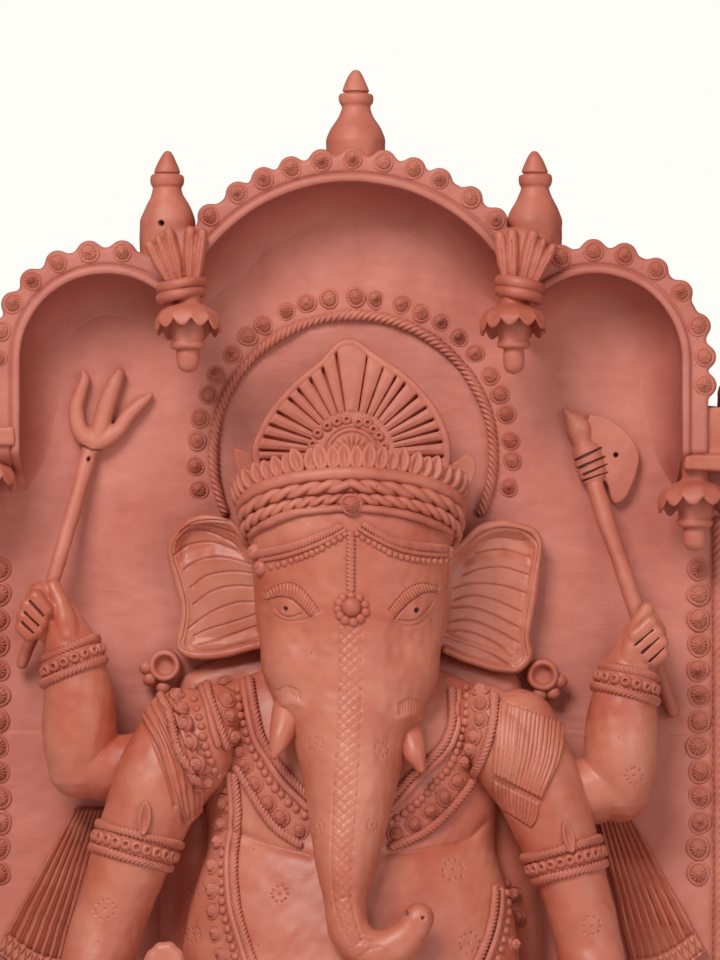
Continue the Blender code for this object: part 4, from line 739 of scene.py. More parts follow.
def fired_clay(name, pale, body, deep, rough, gloss, wiping):
    """Fired clay: cloudy body, painted shade in hollows, marks and arch coves, pale worn edges, lime specks,
    pits painted as dark spots of shade, grit, wiping.
    """
    material = bpy.data.materials.new(name)
    material.use_nodes = True
    tree = material.node_tree
    tree.nodes.clear()
    shades = {"pale": pale, "deep": deep, "cove_shade_and_strip_tone": COVE_SHADE_COLOUR, "lime": LIME_SHADE, "painted_mark_shade": PAINTED_MARK_SHADE_COLOUR}
    where = added(tree, "ShaderNodeTexCoord").outputs["Object"]
    fields = {}
    for field, (size, detail) in CLOUDS.items():
        sockets = {"Vector": where, "Scale": 1 / size, "Detail": detail, "Roughness": CLOUD_ROUGHNESS}
        fields[field] = added(tree, "ShaderNodeTexNoise", sockets).outputs[0]
    # Notes on the points read as colour: hollowness gives painted shade in hollows and marks and paler wear
    # on edges
    for field in ("hollow", "cove_shade_and_strip_tone", "painted_mark_shade"):
        fields[field] = added(tree, "ShaderNodeAttribute", attribute_name=field).outputs["Fac"]
    coats = []
    for field, low, high, most, shade in LAYERS:
        sockets = {"Value": fields[field], "From Min": low, "From Max": high, "To Max": most}
        coats.append((added(tree, "ShaderNodeMapRange", sockets).outputs[0], shade))
    # Painted shade in pricks, holes and slits
    coats.append((fields["painted_mark_shade"], "painted_mark_shade"))
    cells = added(tree, "ShaderNodeTexVoronoi", {"Vector": where, "Scale": 1 / SPECK_CELL})
    for bound, side, reach, shade in SPOTS:
        sockets = {0: cells.outputs["Color"], 1: bound}
        chosen = added(tree, "ShaderNodeMath", sockets, operation=side).outputs[0]
        sockets = {0: cells.outputs["Distance"], 1: reach}
        near = added(tree, "ShaderNodeMath", sockets, operation="LESS_THAN").outputs[0]
        spot = added(tree, "ShaderNodeMath", {0: chosen, 1: near}, operation="MULTIPLY").outputs[0]
        coats.append((spot, shade))
    tone = added(tree, "ShaderNodeRGB").outputs[0]
    tone.default_value = colour(body)
    for share, shade in coats:
        sockets = {FACTOR: share, UNDER: tone, OVER: colour(shades[shade])}
        tone = added(tree, "ShaderNodeMix", sockets, data_type="RGBA").outputs[MIXED]
    sockets = {0: where, 1: WIPE_STRETCH}
    along = added(tree, "ShaderNodeVectorMath", sockets, operation="MULTIPLY").outputs[0]
    sockets = {"Vector": along, "Scale": 1 / WIPE_SIZE, "Detail": 3.0, "Distortion": WIPE_WAVER}
    wiped = added(tree, "ShaderNodeTexNoise", sockets).outputs[0]
    sockets = {"Vector": where, "Scale": 1 / GRIT_SIZE, "Detail": 3.0}
    grit = added(tree, "ShaderNodeTexNoise", sockets).outputs[0]
    sockets = {"Height": wiped, "Strength": 0.5, "Distance": wiping}
    normal = added(tree, "ShaderNodeBump", sockets).outputs[0]
    sockets = {"Height": grit, "Strength": GRIT_STRENGTH, "Distance": GRIT_RELIEF, "Normal": normal}
    normal = added(tree, "ShaderNodeBump", sockets).outputs[0]
    finish = {"Base Color": tone, "Roughness": rough, "Specular IOR Level": gloss, "Normal": normal}
    surface = added(tree, "ShaderNodeBsdfPrincipled", finish).outputs[0]
    added(tree, "ShaderNodeOutputMaterial", {"Surface": surface})
    return material


CLAYS = {
    # Hand-burnished slip: a soft, broad sheen on brow and belly
    "figure": fired_clay("burnished terracotta", "#c87c65", "#b25740", "#6a231b", 0.42, 0.50, 0.0003),
    # Wet-wiped slab: cloudy and dead matte
    "panel": fired_clay("wiped terracotta", "#cb7d6c", "#bb6857", "#7c2f25", 0.60, 0.50, 0.0009),
    # Stamped and coiled clay: drier, edges paler, marks darker with painted shade
    "ornament": fired_clay("stamped terracotta", "#c57560", "#af5844", "#571a14", 0.55, 0.50, 0.0003),
    # Slab-built base: plainer and a little darker
    "plinth": fired_clay("slab terracotta", "#c1735f", "#ad5a47", "#6e2a20", 0.66, 0.40, 0.0006),
}

# Slabs of the back panel
PANEL_COLUMNS = 340
SEAM_LAP = 0.007


def panel_top(x):
    """Height of the panel's top edge: its shoulders and the three lobes behind the arches."""
    top = np.full(len(x), SHOULDER_HEIGHT)
    lobes = ((0.0, CENTRE_ARCH_HEIGHT, CENTRE_ARCH_RADIUS),
             (-SIDE_ARCH_OFFSET, SIDE_ARCH_HEIGHT, SIDE_ARCH_RADIUS),
             (SIDE_ARCH_OFFSET, SIDE_ARCH_HEIGHT, SIDE_ARCH_RADIUS))
    for middle, height, radius in lobes:
        reach = radius + STRIP_VALLEY - PANEL_TOP_INSET
        inside = np.abs(x - middle) < reach
        lobe = height + np.sqrt(reach ** 2 - (x[inside] - middle) ** 2)
        top[inside] = np.maximum(top[inside], lobe)
    return top


def back_panel():
    """The two luted slabs of the panel."""
    x = np.linspace(-PANEL_HALF_WIDTH, PANEL_HALF_WIDTH, PANEL_COLUMNS)
    level = np.zeros(len(x))
    edges = (("back_panel_lower", level + SLIP_JOINT, level + (PANEL_SEAM_HEIGHT + SEAM_LAP)),
             ("back_panel_upper", level + (PANEL_SEAM_HEIGHT + SLIP_JOINT), panel_top(x)))
    for name, low, high in edges:
        outline = np.concatenate([np.stack([x, low], axis=1), np.stack([x, high], axis=1)[::-1]])
        mesh = pressed(name, [plate(outline, -PANEL_THICKNESS, 0.0)])
        shown("worked_" + name, "panel", mesh, name, wobble=1.3)


# Section of an arch: its strip from the panel to the front with a softened edge, the groove, the roll
ARCH_STEP = 0.0012
LEG_ROWS = 90
STRIP_ROUNDS = 3
STRIP_WALL = (0.018, 0.036)
STRIP_EDGE = ((0.0, 0.0034), (0.001, 0.0011), (0.0032, 0.0))
STRIP_FACE = (0.62, 0.32)
GROOVE = ((0.0022, 0.0), (0.0011, 0.0006), (0.0, 0.0024), (-0.0009, 0.0007))
ROLL_TURNS = np.radians(np.arange(20, 201, 18))
ROLL_MIDDLE = 0.62
ROLL_SINK = 0.0008
ROLL_GAP = 0.001
COVE_WALL = -ROLL_WIDTH - ROLL_GAP
COVE_ROWS = 26
COVE_TOE = (0.002, 0.001)
# Least width of the cove at a cusp, and how it opens from there
COVE_LEAST = 0.12
COVE_OPENING = 0.8
ROSETTE_STRAY = 0.05

# Rosettes of the arches as pressed in the photograph
CENTRE_ROSETTES = [
    (208, 213.5), (234, 189), (260, 173), (289, 164), (321, 161), (352, 158), (383, 165), (413, 170),
    (439, 180), (469, 199), (493, 222)]
LEFT_ROSETTES = [(122, 250), (88, 252), (59, 264), (35, 284), (17, 306), (6, 333), (1.5, 359)]
RIGHT_ROSETTES = [
    (563, 262), (594, 257), (623, 264), (651, 279), (674.5, 297), (696, 327), (704, 357.5), (708, 385)]


def arch_section(width):
    """Section of an arch as (outward from the groove, depth), from the panel to the cove's toe."""
    section = [(width, SLIP_JOINT)]
    section += [(width, depth) for depth in STRIP_WALL]
    section += [(width - inward, ARCH_DEPTH - back) for inward, back in STRIP_EDGE]
    section += [(width * share, ARCH_DEPTH) for share in STRIP_FACE]
    section += [(out, ARCH_DEPTH - back) for out, back in GROOVE]
    for turn in ROLL_TURNS:
        out = -ROLL_WIDTH * ROLL_MIDDLE + ROLL_WIDTH / 2 * math.cos(turn)
        section.append((out, ARCH_DEPTH - ROLL_SINK + (ROLL_RISE + ROLL_SINK) * math.sin(turn)))
    drop = ARCH_DEPTH - ROLL_LIP + COVE_SINK
    for turn in np.linspace(0.0, math.pi / 2, COVE_ROWS):
        fall = drop * (1 - math.sin(turn)) ** COVE_EASE - COVE_SINK
        section.append((COVE_WALL - COVE_WIDTH * (1 - math.cos(turn)), fall))
    section.append((COVE_WALL - COVE_WIDTH - COVE_TOE[0], -COVE_SINK - COVE_TOE[1]))
    return section


def arch_path(centre_x, centre_height, radius, start, end, leg):
    """Rows along an arch: base, outward way, share of its full depth, and how open its cove is."""
    turns = np.linspace(start, end, int(abs(end - start) * radius / ARCH_STEP))
    full = np.ones(len(turns))
    to_start = np.abs(turns - start) / CUSP_FADE if leg >= 0 else full
    to_end = np.abs(turns - end) / CUSP_FADE if leg <= 0 else full
    ways = np.stack([np.cos(turns), np.sin(turns)], axis=1)
    bent = (np.stack([full * centre_x, full * centre_height], axis=1), ways, full,
            np.clip(np.minimum(to_start, to_end), 0.0, 1.0))
    if not leg:
        return bent
    drops = np.linspace(LEG_END_HEIGHT, centre_height, LEG_ROWS)[:-1]
    down = np.stack([np.full(len(drops), centre_x), drops], axis=1)
    side = np.broadcast_to(ways[0 if leg < 0 else -1], down.shape)
    depth = np.clip((drops - LEG_END_HEIGHT) / (ARCH_FOOT_HEIGHT - LEG_END_HEIGHT), 0.0, 1.0)
    depth = depth * depth * (3 - 2 * depth)
    opening = np.clip((drops - LEG_END_HEIGHT) / COVE_FOOT_FADE, 0.0, 1.0)
    straight = (down, side, depth, opening)
    if leg < 0:
        return [np.concatenate(pair) for pair in zip(straight, bent)]
    return [np.concatenate([first, last[::-1]]) for first, last in zip(bent, straight)]


def arch(centre_x, centre_height, radius, start, end, leg, rosettes):
    """Sweep of an arch between two angles; leg is -1 or 1 for a straight leg at the start or end, or 0."""
    bases, ways, full, opening = arch_path(centre_x, centre_height, radius, start, end, leg)
    line = bases + ways * (radius + ROSETTE_LINE)
    spots = outlined(rosettes, ARCH_DEPTH)
    away = np.linalg.norm(line[:, None] - spots[None], axis=2)
    places = line[away.argmin(axis=0)]
    gap = np.linalg.norm(line[:, None] - places[None], axis=2).min(axis=1)
    lobes = ROSETTE_LINE + np.sqrt(np.maximum(STRIP_LOBE ** 2 - gap ** 2, 0.0))
    width = np.maximum(STRIP_VALLEY, lobes)
    for _ in range(STRIP_ROUNDS):
        width[1:-1] = (width[:-2] + 2 * width[1:-1] + width[2:]) / 4
    opening = COVE_LEAST + (1 - COVE_LEAST) * opening ** COVE_OPENING
    rings = []
    for out, depth in arch_section(width):
        out = np.broadcast_to(out, len(bases))
        out = np.where(out < COVE_WALL, COVE_WALL + (out - COVE_WALL) * opening, out)
        points = bases + ways * (radius + out)[:, None]
        rings.append(at(points[:, 0], (depth + COVE_SINK) * full - COVE_SINK, points[:, 1]))
    return skinned(np.array(rings).transpose(1, 0, 2)), at(places[:, 0], ARCH_DEPTH, places[:, 1])


def cut_at(mesh, x, keep):
    """Cut a mesh along an upright plane across x, close the cut and keep one side."""
    work = bmesh.new()
    work.from_mesh(mesh)
    geometry = work.verts[:] + work.edges[:] + work.faces[:]
    across = (-keep, 0, 0)
    bmesh.ops.bisect_plane(work, geom=geometry, plane_co=(x, 0, 0), plane_no=across, clear_outer=True)
    rim = [edge for edge in work.edges if edge.is_boundary]
    bmesh.ops.holes_fill(work, edges=rim, sides=0)
    work.to_mesh(mesh)
    work.free()


def painted_cove_shade(mesh, x, height, radius):
    """Note painted shade in an arch's cove, deepest under the roll and gone at the toe, and a darker tone on
    the strip and roll.
    """
    points = points_of(mesh)
    climb = np.maximum(points[:, 2] - SEAT_HEIGHT - height, 0.0)
    inside = radius - ROLL_WIDTH - np.hypot(points[:, 0] - x, climb)
    share = np.clip((PANEL_FACE - points[:, 1]) / ARCH_DEPTH, 0.0, 1.0)
    note = mesh.attributes.new("cove_shade_and_strip_tone", "FLOAT", "POINT")
    note.data.foreach_set("value", np.where(inside < 0, STRIP_TONE, np.sqrt(share)))


def niche_arches():
    """Three arches meeting at the cusps, with their rows of rosettes."""
    lean = math.acos(CUSP_OFFSET / CENTRE_ARCH_RADIUS) - CUSP_SPARE
    side_lean = math.acos((SIDE_ARCH_OFFSET - CUSP_OFFSET) / SIDE_ARCH_RADIUS) - 2 * CUSP_SPARE
    centre = (0.0, CENTRE_ARCH_HEIGHT, CENTRE_ARCH_RADIUS)
    left = (-SIDE_ARCH_OFFSET, SIDE_ARCH_HEIGHT, SIDE_ARCH_RADIUS)
    right = (SIDE_ARCH_OFFSET, SIDE_ARCH_HEIGHT, SIDE_ARCH_RADIUS)
    arches = (
        ("arch_centre", centre, (lean, math.pi - lean, 0, CENTRE_ROSETTES),
         ((CUSP_OFFSET, -1), (-CUSP_OFFSET, 1))),
        ("arch_left", left, (math.pi, side_lean, -1, LEFT_ROSETTES), ((-CUSP_OFFSET, -1),)),
        ("arch_right", right, (math.pi - side_lean, 0.0, 1, RIGHT_ROSETTES), ((CUSP_OFFSET, 1),)),
    )
    for name, bend, sweep, cuts in arches:
        shape, places = arch(*bend, *sweep)
        mesh = mesh_of(name, shape)
        for where, keep in cuts:
            cut_at(mesh, where, keep)
        # Painted shade in the cove under the roll, and a darker tone on the strip
        painted_cove_shade(mesh, *bend)
        shown("worked_" + name, "panel", mesh, name, wobble=0.35, slot="ornament")
        turns = CHANCE.uniform(0.0, math.tau, len(places))
        sizes = ROSETTE_RADIUS * (1 + ROSETTE_STRAY * CHANCE.uniform(-1, 1, len(places)))
        outward = np.broadcast_to(VIEWER, places.shape)
        row = stamped(ROSETTES, places, outward, sizes, turns)
        shown("rosettes_of_" + name, "ornament", row, wobble=0.6)


TURNED_TIP = 0.0003


def turned(x, depth, rows, sides=72, per_span=8, teeth=None):
    """Shape turned about an upright axis from rows (radius, height[, share of teeth on the rim])."""
    rows = eased(rows, per_span)
    turns = np.linspace(0.0, math.tau, sides, endpoint=False)
    radius = np.maximum(rows[:, :1], TURNED_TIP)
    height = rows[:, 1:2] + np.zeros(sides)
    if teeth is not None:
        height = height + rows[:, 2:3] * teeth(turns)
    return skinned(at(x + radius * np.cos(turns), depth + radius * np.sin(turns), height))


# Finials: turned cones over a collar and a wide foot
FINIAL_RADIUS = 0.0232
FINIAL_HEIGHT = 0.069
FINIAL_DEPTH = 0.026
FINIAL_PROFILE = [
    (0.93, -0.29), (0.955, 0.0), (0.96, 0.12), (0.955, 0.21), (0.84, 0.315), (0.71, 0.395),
    (0.575, 0.475), (0.49, 0.545), (0.475, 0.585), (0.54, 0.625), (0.565, 0.675), (0.54, 0.72),
    (0.44, 0.738), (0.37, 0.745), (0.43, 0.757), (0.42, 0.79), (0.33, 0.87), (0.22, 0.945), (0.11, 0.995),
    (0.0, 1.008)]
FINIALS = {
    "finial_centre": (0.004, 0.8297, 1.07),
    "finial_left": (-0.1455, 0.7655, 1.0),
    "finial_right": (0.1455, 0.7655, 1.0),
    "finial_outer_left": (-0.3125, 0.63, 1.0),
    "finial_outer_right": (0.3125, 0.63, 1.0)}
FINIAL_VENTS = {"finial_left": (161, 223), "finial_right": (538, 234)}
FINIAL_SIDES = 110
VENT = (2.3, 0.006, 1.0, 4)
VENT_REACHES = (7, 5)


def finials():
    """Five turned finials; two have the vent hole that lets steam out in firing."""
    for name, (x, base, scale) in FINIALS.items():
        rows = [(r * FINIAL_RADIUS * scale, base + h * FINIAL_HEIGHT) for r, h in FINIAL_PROFILE]
        mesh = mesh_of(name, turned(x, FINIAL_DEPTH, rows, FINIAL_SIDES))
        if name in FINIAL_VENTS:
            finer(mesh, [[FINIAL_VENTS[name]]], *VENT_REACHES)
            marked(mesh, [[FINIAL_VENTS[name]]], *VENT)
        shown("worked_" + name, "ornament", mesh, name, wobble=1.2)


# Sheaf brackets on the cusps: fins of clay bound at the foot, given for the left one and mirrored
BRACKET_BODY = [
    (-0.1325, 0.066, 0.7315, 0.012, 0.012), (-0.1345, 0.066, 0.75, 0.018, 0.011),
    (-0.136, 0.065, 0.763, 0.0225, 0.009)]
FIN_FEET = [(168, 281), (174, 281), (180, 279), (189, 278), (196.5, 279)]
FIN_TOPS = [(149.5, 245), (159, 239), (169, 232), (190, 231), (202.5, 233)]
FIN_HALF_WIDTHS = (0.004, 0.0036, 0.0051, 0.0047, 0.0045)
FIN_DEPTHS = (0.077, 0.076)
FIN_TAPER = (0.62, 1.0, 0.95)
FIN_HALF_THICKNESS = 0.0062
FIN_SIDES = 20
FIN_GROOVE = (1.0, 0.0011)
FIN_GROOVE_SHARE = 0.86
TIE_RADII = (0.015, 0.0236)
TIE_HEIGHTS = (0.7268, 0.719)
TIE_THICKNESS = 0.005
TIE_SLANT = 0.003
TIE_TURNS = np.linspace(math.radians(-25), math.radians(205), 60)
BRACKET_FOOT = (0.1325, 0.064)
MIRROR_LINE = 702
MIRROR_DROP = 3

# Pendants: bell cups with a toothed rim and a bud
BELL_PROFILE = [
    (0.36, -0.08, 0), (0.36, -0.19, 0), (0.4, -0.245, 0), (0.62, -0.285, 0), (0.84, -0.335, 0.1),
    (0.98, -0.42, 0.5), (1.02, -0.5, 1.0), (0.97, -0.525, 1.0), (0.88, -0.46, 0.7), (0.7, -0.375, 0.2),
    (0.53, -0.375, 0), (0.52, -0.45, 0), (0.5, -0.54, 0), (0.465, -0.635, 0), (0.505, -0.665, 0),
    (0.51, -0.71, 0), (0.44, -0.735, 0), (0.335, -0.745, 0), (0.345, -0.83, 0), (0.31, -0.92, 0),
    (0.2, -0.975, 0), (0.0, -1.0, 0)]
BELL_SIDES = 126
BELL_ROWS = 7
BELL_TEETH = 11
TOOTH_DROP = 0.085
TOOTH_FULLNESS = 0.8
TOOTH_LEVEL = 0.5
BELL_TILT = 0.075
PENDANTS = {
    "pendant_left": (-0.1268, 0.0764, 0.7295, 0.0725, 0.0255),
    "pendant_right": (0.1268, 0.0764, 0.7295, 0.0725, 0.0255),
    "pendant_outer_left": (-0.289, 0.04, 0.606, 0.068, 0.0245),
    "pendant_outer_right": (0.2715, 0.04, 0.592, 0.075, 0.0285)}


def brackets():
    """The bound sheaves on the cusps."""
    for name, side in (("sheaf_bracket_left", -1), ("sheaf_bracket_right", 1)):
        shapes = [limb(mirrored(BRACKET_BODY) if side > 0 else BRACKET_BODY)]
        lines = []
        for foot, top, half in zip(FIN_FEET, FIN_TOPS, FIN_HALF_WIDTHS):
            if side > 0:
                foot = (MIRROR_LINE - foot[0], foot[1] + MIRROR_DROP)
                top = (MIRROR_LINE - top[0], top[1] + MIRROR_DROP)
            low = in_sight(foot, FIN_DEPTHS[0])
            high = in_sight(top, FIN_DEPTHS[1])
            middle = tuple((a + b) / 2 for a, b in zip(low, high))
            spots = zip((low, middle, high), FIN_TAPER)
            rows = [(*spot, half * taper, FIN_HALF_THICKNESS) for spot, taper in spots]
            shapes.append(limb(rows, FIN_SIDES))
            lines.append([foot, np.array(foot) + FIN_GROOVE_SHARE * (np.array(top) - foot)])
        mesh = pressed(name, shapes)
        marked(mesh, lines, *FIN_GROOVE)
        wraps = []
        for height in TIE_HEIGHTS:
            x = side * BRACKET_FOOT[0] + TIE_RADII[0] * np.cos(TIE_TURNS)
            depth = BRACKET_FOOT[1] + TIE_RADII[1] * np.sin(TIE_TURNS)
            path = at(x, depth, height - side * TIE_SLANT * np.cos(TIE_TURNS))
            wraps.append(coil(path, TIE_THICKNESS, up=UPWARD))
        shown("worked_" + name, "ornament", mesh, name)
        shown("tie_of_" + name, "ornament", joined(wraps))


def bell_teeth(turns):
    """Lift of a bell's toothed rim round its turn, tilted to the viewer."""
    teeth = np.abs(np.cos(turns * BELL_TEETH / 2)) ** TOOTH_FULLNESS - TOOTH_LEVEL
    return BELL_TILT * np.sin(turns) - TOOTH_DROP * teeth


def pendants():
    """The bell cups under the brackets and under the capitals."""
    for name, (x, depth, top, length, radius) in PENDANTS.items():
        rows = [(r * radius, top + h * length, tooth * length) for r, h, tooth in BELL_PROFILE]
        bell = turned(x, depth, rows, BELL_SIDES, BELL_ROWS, bell_teeth)
        shown("worked_" + name, "ornament", bell, name)


# Twisted ropes of halo and borders: rows along, sides, pitch and strands, depth and fullness of the twist
HALO_ROPE_ROWS = 680
HALO_ROPE_SIDES = 28
HALO_ROPE_PITCH = 0.005
HALO_ROPE_TWIST = (0.42, 0.8)
BORDER_ROPE_ROWS = 420
BORDER_ROPE_SIDES = 20
BORDER_ROPE_PITCH = 0.0062
BORDER_ROPE_TWIST = (0.4, 0.8)
ROPE_STRANDS = 4
# Strays of the hand round the halo, as an angle and a distance, and across the borders
HALO_STRAY = (0.02, 0.0008)
BORDER_STRAY = 0.0012
HALO_ROSETTE_RADIUS = ROSETTE_RADIUS * 0.98


def halo():
    """Rope and rosettes round the halo, pressed on the panel."""
    turns = np.linspace(HALO_ROPE_LOW_ANGLE, math.pi - HALO_ROPE_LOW_ANGLE, HALO_ROPE_ROWS)
    lift = HALO_ROPE_RADIUS * ROPE_SHARE
    ring = at(HALO_OFFSET + HALO_RADIUS * np.cos(turns), lift, HALO_HEIGHT + HALO_RADIUS * np.sin(turns))
    strands = twist(HALO_ROPE_PITCH, ROPE_STRANDS, -1, *HALO_ROPE_TWIST)
    rope = coil(ring, HALO_ROPE_RADIUS, HALO_ROPE_SIDES, mark=strands)
    shown("worked_halo_rope", "ornament", rope, "halo_rope")
    spots = np.linspace(HALO_LOW_ANGLE, math.pi - HALO_LOW_ANGLE, HALO_ROSETTE_COUNT + 2)[1:-1]
    spots = spots + CHANCE.uniform(-HALO_STRAY[0], HALO_STRAY[0], len(spots))
    reach = HALO_RADIUS + HALO_ROSETTE_LINE + CHANCE.uniform(-HALO_STRAY[1], HALO_STRAY[1], len(spots))
    places = at(HALO_OFFSET + reach * np.cos(spots), 0.0, HALO_HEIGHT + reach * np.sin(spots))
    outward = np.broadcast_to(VIEWER, places.shape)
    turns = CHANCE.uniform(0.0, math.tau, len(places))
    ring = stamped(ROSETTES, places, outward, HALO_ROSETTE_RADIUS, turns)
    shown("halo_rosettes", "ornament", ring, wobble=0.6)


def borders():
    """Rope and rosettes down the sides of the panel."""
    heights = BORDER_TOP_HEIGHT - BORDER_PITCH * np.arange(BORDER_COUNT)
    heights = heights[(heights < SCARF_COVER[0]) | (heights > SCARF_COVER[1])]
    span = np.linspace(*BORDER_ROPE_SPAN, BORDER_ROPE_ROWS)
    for name, side, stray in (("left", -1, BORDER_LEFT_STRAY), ("right", 1, 0.0)):
        path = at(side * BORDER_ROPE_OFFSET - stray, BORDER_ROPE_RADIUS * ROPE_SHARE, span)
        strands = twist(BORDER_ROPE_PITCH, ROPE_STRANDS, side, *BORDER_ROPE_TWIST)
        rope = coil(path, BORDER_ROPE_RADIUS, BORDER_ROPE_SIDES, mark=strands)
        shown("worked_border_rope_" + name, "ornament", rope, "border_rope_" + name)
        shift = CHANCE.uniform(-BORDER_STRAY, BORDER_STRAY, len(heights))
        places = at(side * BORDER_OFFSET - stray + shift, 0.0, heights)
        turns = CHANCE.uniform(0.0, math.tau, len(places))
        outward = np.broadcast_to(VIEWER, places.shape)
        column = stamped(ROSETTES, places, outward, BORDER_ROSETTE_RADIUS, turns)
        shown("border_rosettes_" + name, "ornament", column, wobble=0.6)


# Softened arris of the plinth's slabs
ARRIS_WIDTH = 0.0022
ARRIS_ROWS = 3
# Capital slabs: (inner x, low, outer x, high) and how far they stand forward
CAPITAL_SLABS = {
    "capital_left": (((0.263, 0.601, 0.336, 0.6165), 0.062), ((0.278, 0.615, 0.336, 0.632), 0.05)),
    "capital_right": (((0.261, 0.581, 0.336, 0.5945), 0.06), ((0.278, 0.593, 0.336, 0.632), 0.05))}


def plinth_slabs():
    """The plinth's slabs keep the part's shape, with softened arrises."""
    for name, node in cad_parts.items():
        if name.startswith("plinth"):
            soft = node.modifiers.new("soft arris", "BEVEL")
            soft.width = ARRIS_WIDTH
            soft.segments = ARRIS_ROWS
            soft.limit_method = "ANGLE"
            node.data.materials.clear()
            node.data.materials.append(CLAYS["plinth"])


def capitals():
    """The worn ledges that the outer arches stand on."""
    for name, side in (("capital_left", -1), ("capital_right", 1)):
        slabs = []
        for (inner, low, outer, high), front in CAPITAL_SLABS[name]:
            outline = np.array(((inner, low), (outer, low), (outer, high), (inner, high)))
            slabs.append(plate(outline * (side, 1), SLIP_JOINT, front))
        shown("worked_" + name, "ornament", pressed(name, slabs), name, wobble=1.6)


# Figure: stations are (x, depth, height, half width[, half thickness])
TORSO = [
    (0.0, 0.041, 0.004, 0.088, 0.047), (0.0, 0.055, 0.03, 0.113, 0.061),
    (0.0, 0.0625, 0.07, 0.128, 0.0685), (0.0, 0.065, 0.12, 0.134, 0.071), (0.0, 0.064, 0.17, 0.134, 0.07),
    (0.0, 0.0585, 0.22, 0.13, 0.0645), (0.0, 0.053, 0.257, 0.121, 0.059),
    (0.0, 0.0465, 0.29, 0.113, 0.0525), (0.0, 0.0445, 0.334, 0.119, 0.0505),
    (0.0, 0.0415, 0.368, 0.127, 0.0475), (0.0, 0.037, 0.393, 0.121, 0.043),
    (0.0, 0.031, 0.41, 0.098, 0.037), (0.0, 0.025, 0.419, 0.06, 0.031)]
SHOULDER_SLOPE = [(0.05, 0.003, 0.424, 0.022), (0.09, 0.003, 0.418, 0.02), (0.12, 0.002, 0.406, 0.018)]
SIDE_BACKING = [(0.112, 0.012, 0.35, 0.027), (0.122, 0.012, 0.27, 0.029), (0.124, 0.012, 0.15, 0.029)]
HEAD = [
    (0.0, 0.066, 0.572, 0.05, 0.03), (0.0, 0.0645, 0.556, 0.0735, 0.05),
    (0.0, 0.066, 0.535, 0.0772, 0.054), (0.0, 0.067, 0.512, 0.078, 0.0545),
    (0.0, 0.07, 0.48, 0.075, 0.053), (0.0, 0.074, 0.449, 0.0707, 0.052),
    (0.0, 0.082, 0.41, 0.0617, 0.049), (0.0, 0.093, 0.382, 0.0485, 0.043),
    (0.0, 0.105, 0.346, 0.038, 0.036), (-0.001, 0.113, 0.322, 0.0328, 0.032),
    (-0.003, 0.127, 0.282, 0.0246, 0.026), (-0.004, 0.135, 0.252, 0.0165, 0.019),
    (-0.001, 0.139, 0.231, 0.0158, 0.017), (0.009, 0.141, 0.2185, 0.0155, 0.016),
    (0.0255, 0.142, 0.2155, 0.015, 0.0155), (0.042, 0.142, 0.225, 0.014, 0.0145),
    (0.052, 0.142, 0.24, 0.0122, 0.0125)]
TUSKS = {
    "tusk_left": [((290, 704), 0.088, 0.0122), ((286, 720), 0.102, 0.0116), ((280, 738), 0.112, 0.0088),
    ((274, 755), 0.117, 0.0036)],
    "tusk_right": [((405, 719), 0.086, 0.0112), ((410, 736), 0.098, 0.0106), ((415, 754), 0.108, 0.0082),
    ((421, 769), 0.113, 0.0034)]}
EAR_RIMS = {
    "ear_left": [(252, 540), (239, 530), (228, 520), (213.6, 516), (199, 516), (184.5, 521), (174, 532),
    (167, 545.5), (168.5, 562), (174, 582), (179, 602), (180, 618), (177.5, 634), (177, 649),
    (187, 656.5), (204.5, 658), (226.4, 655), (244.5, 650.5), (262, 647)],
    "ear_right": [(452, 552), (464, 541), (478, 528), (491, 523), (507, 521), (524, 524), (537, 529.5),
    (543.5, 540), (542.5, 552.5), (540, 571), (538, 589), (535, 609.5), (531.5, 628), (531, 643),
    (533, 658), (522, 671), (504, 671.5), (482, 666), (463, 659.5), (443, 650.5)]}
EAR_SIGHT_DEPTH = 0.024
EAR_ROOTS = {"ear_left": [(290, 640), (290, 560)], "ear_right": [(415, 640), (415, 570)]}
EAR_DEPTHS = (0.01, 0.0185)
EAR_ROLL_RADIUS = 0.0036
EAR_ROLL_SIDES = 16
EAR_STEP = 0.002
EAR_LINE_STEP = 3
EAR_BOWLS = {
    "ear_left": [(246, 545), (228, 528), (213, 523), (199, 523), (187, 528), (179, 537), (175, 548),
    (177, 562), (183, 582), (188, 602), (189, 618), (187, 634), (190, 646), (226, 645), (262, 636),
    (262, 570)],
    "ear_right": [(460, 552), (478, 537), (491, 531), (507, 529), (522, 531), (532, 538), (536, 548),
    (534, 571), (530, 589), (527, 609), (523, 628), (521, 645), (515, 658), (490, 654), (444, 637),
    (446, 570)]}
EAR_BOWL_TOPS = {
    "ear_left": [(248, 548), (228, 528), (213, 523), (199, 523), (187, 528), (179, 537), (175, 548),
    (179, 566), (215, 556), (250, 566)],
    "ear_right": [(458, 556), (478, 537), (491, 531), (507, 529), (522, 531), (532, 538), (536, 548),
    (533, 566), (500, 560), (460, 570)]}
EAR_SLOPE = 0.24
EAR_SLOPE_FROM = 0.15
REAR_ARM = [
    [(0.15, 0.04, 0.352, 0.027), (0.182, 0.044, 0.346, 0.027), (0.21, 0.046, 0.352, 0.0255)],
    [(0.212, 0.045, 0.348, 0.0262), (0.2135, 0.047, 0.372, 0.0295), (0.2145, 0.046, 0.402, 0.028),
    (0.2185, 0.044, 0.433, 0.023), (0.2235, 0.042, 0.449, 0.02), (0.229, 0.04, 0.464, 0.0165)],
    [(0.2215, 0.052, 0.45, 0.0115), (0.2265, 0.051, 0.472, 0.0085), (0.2345, 0.046, 0.49, 0.0062)]]
REAR_ARM_DROP = {-1: 0.0, 1: 0.018}
REAR_ARM_SHIFT = {-1: 0.0, 1: -0.001}
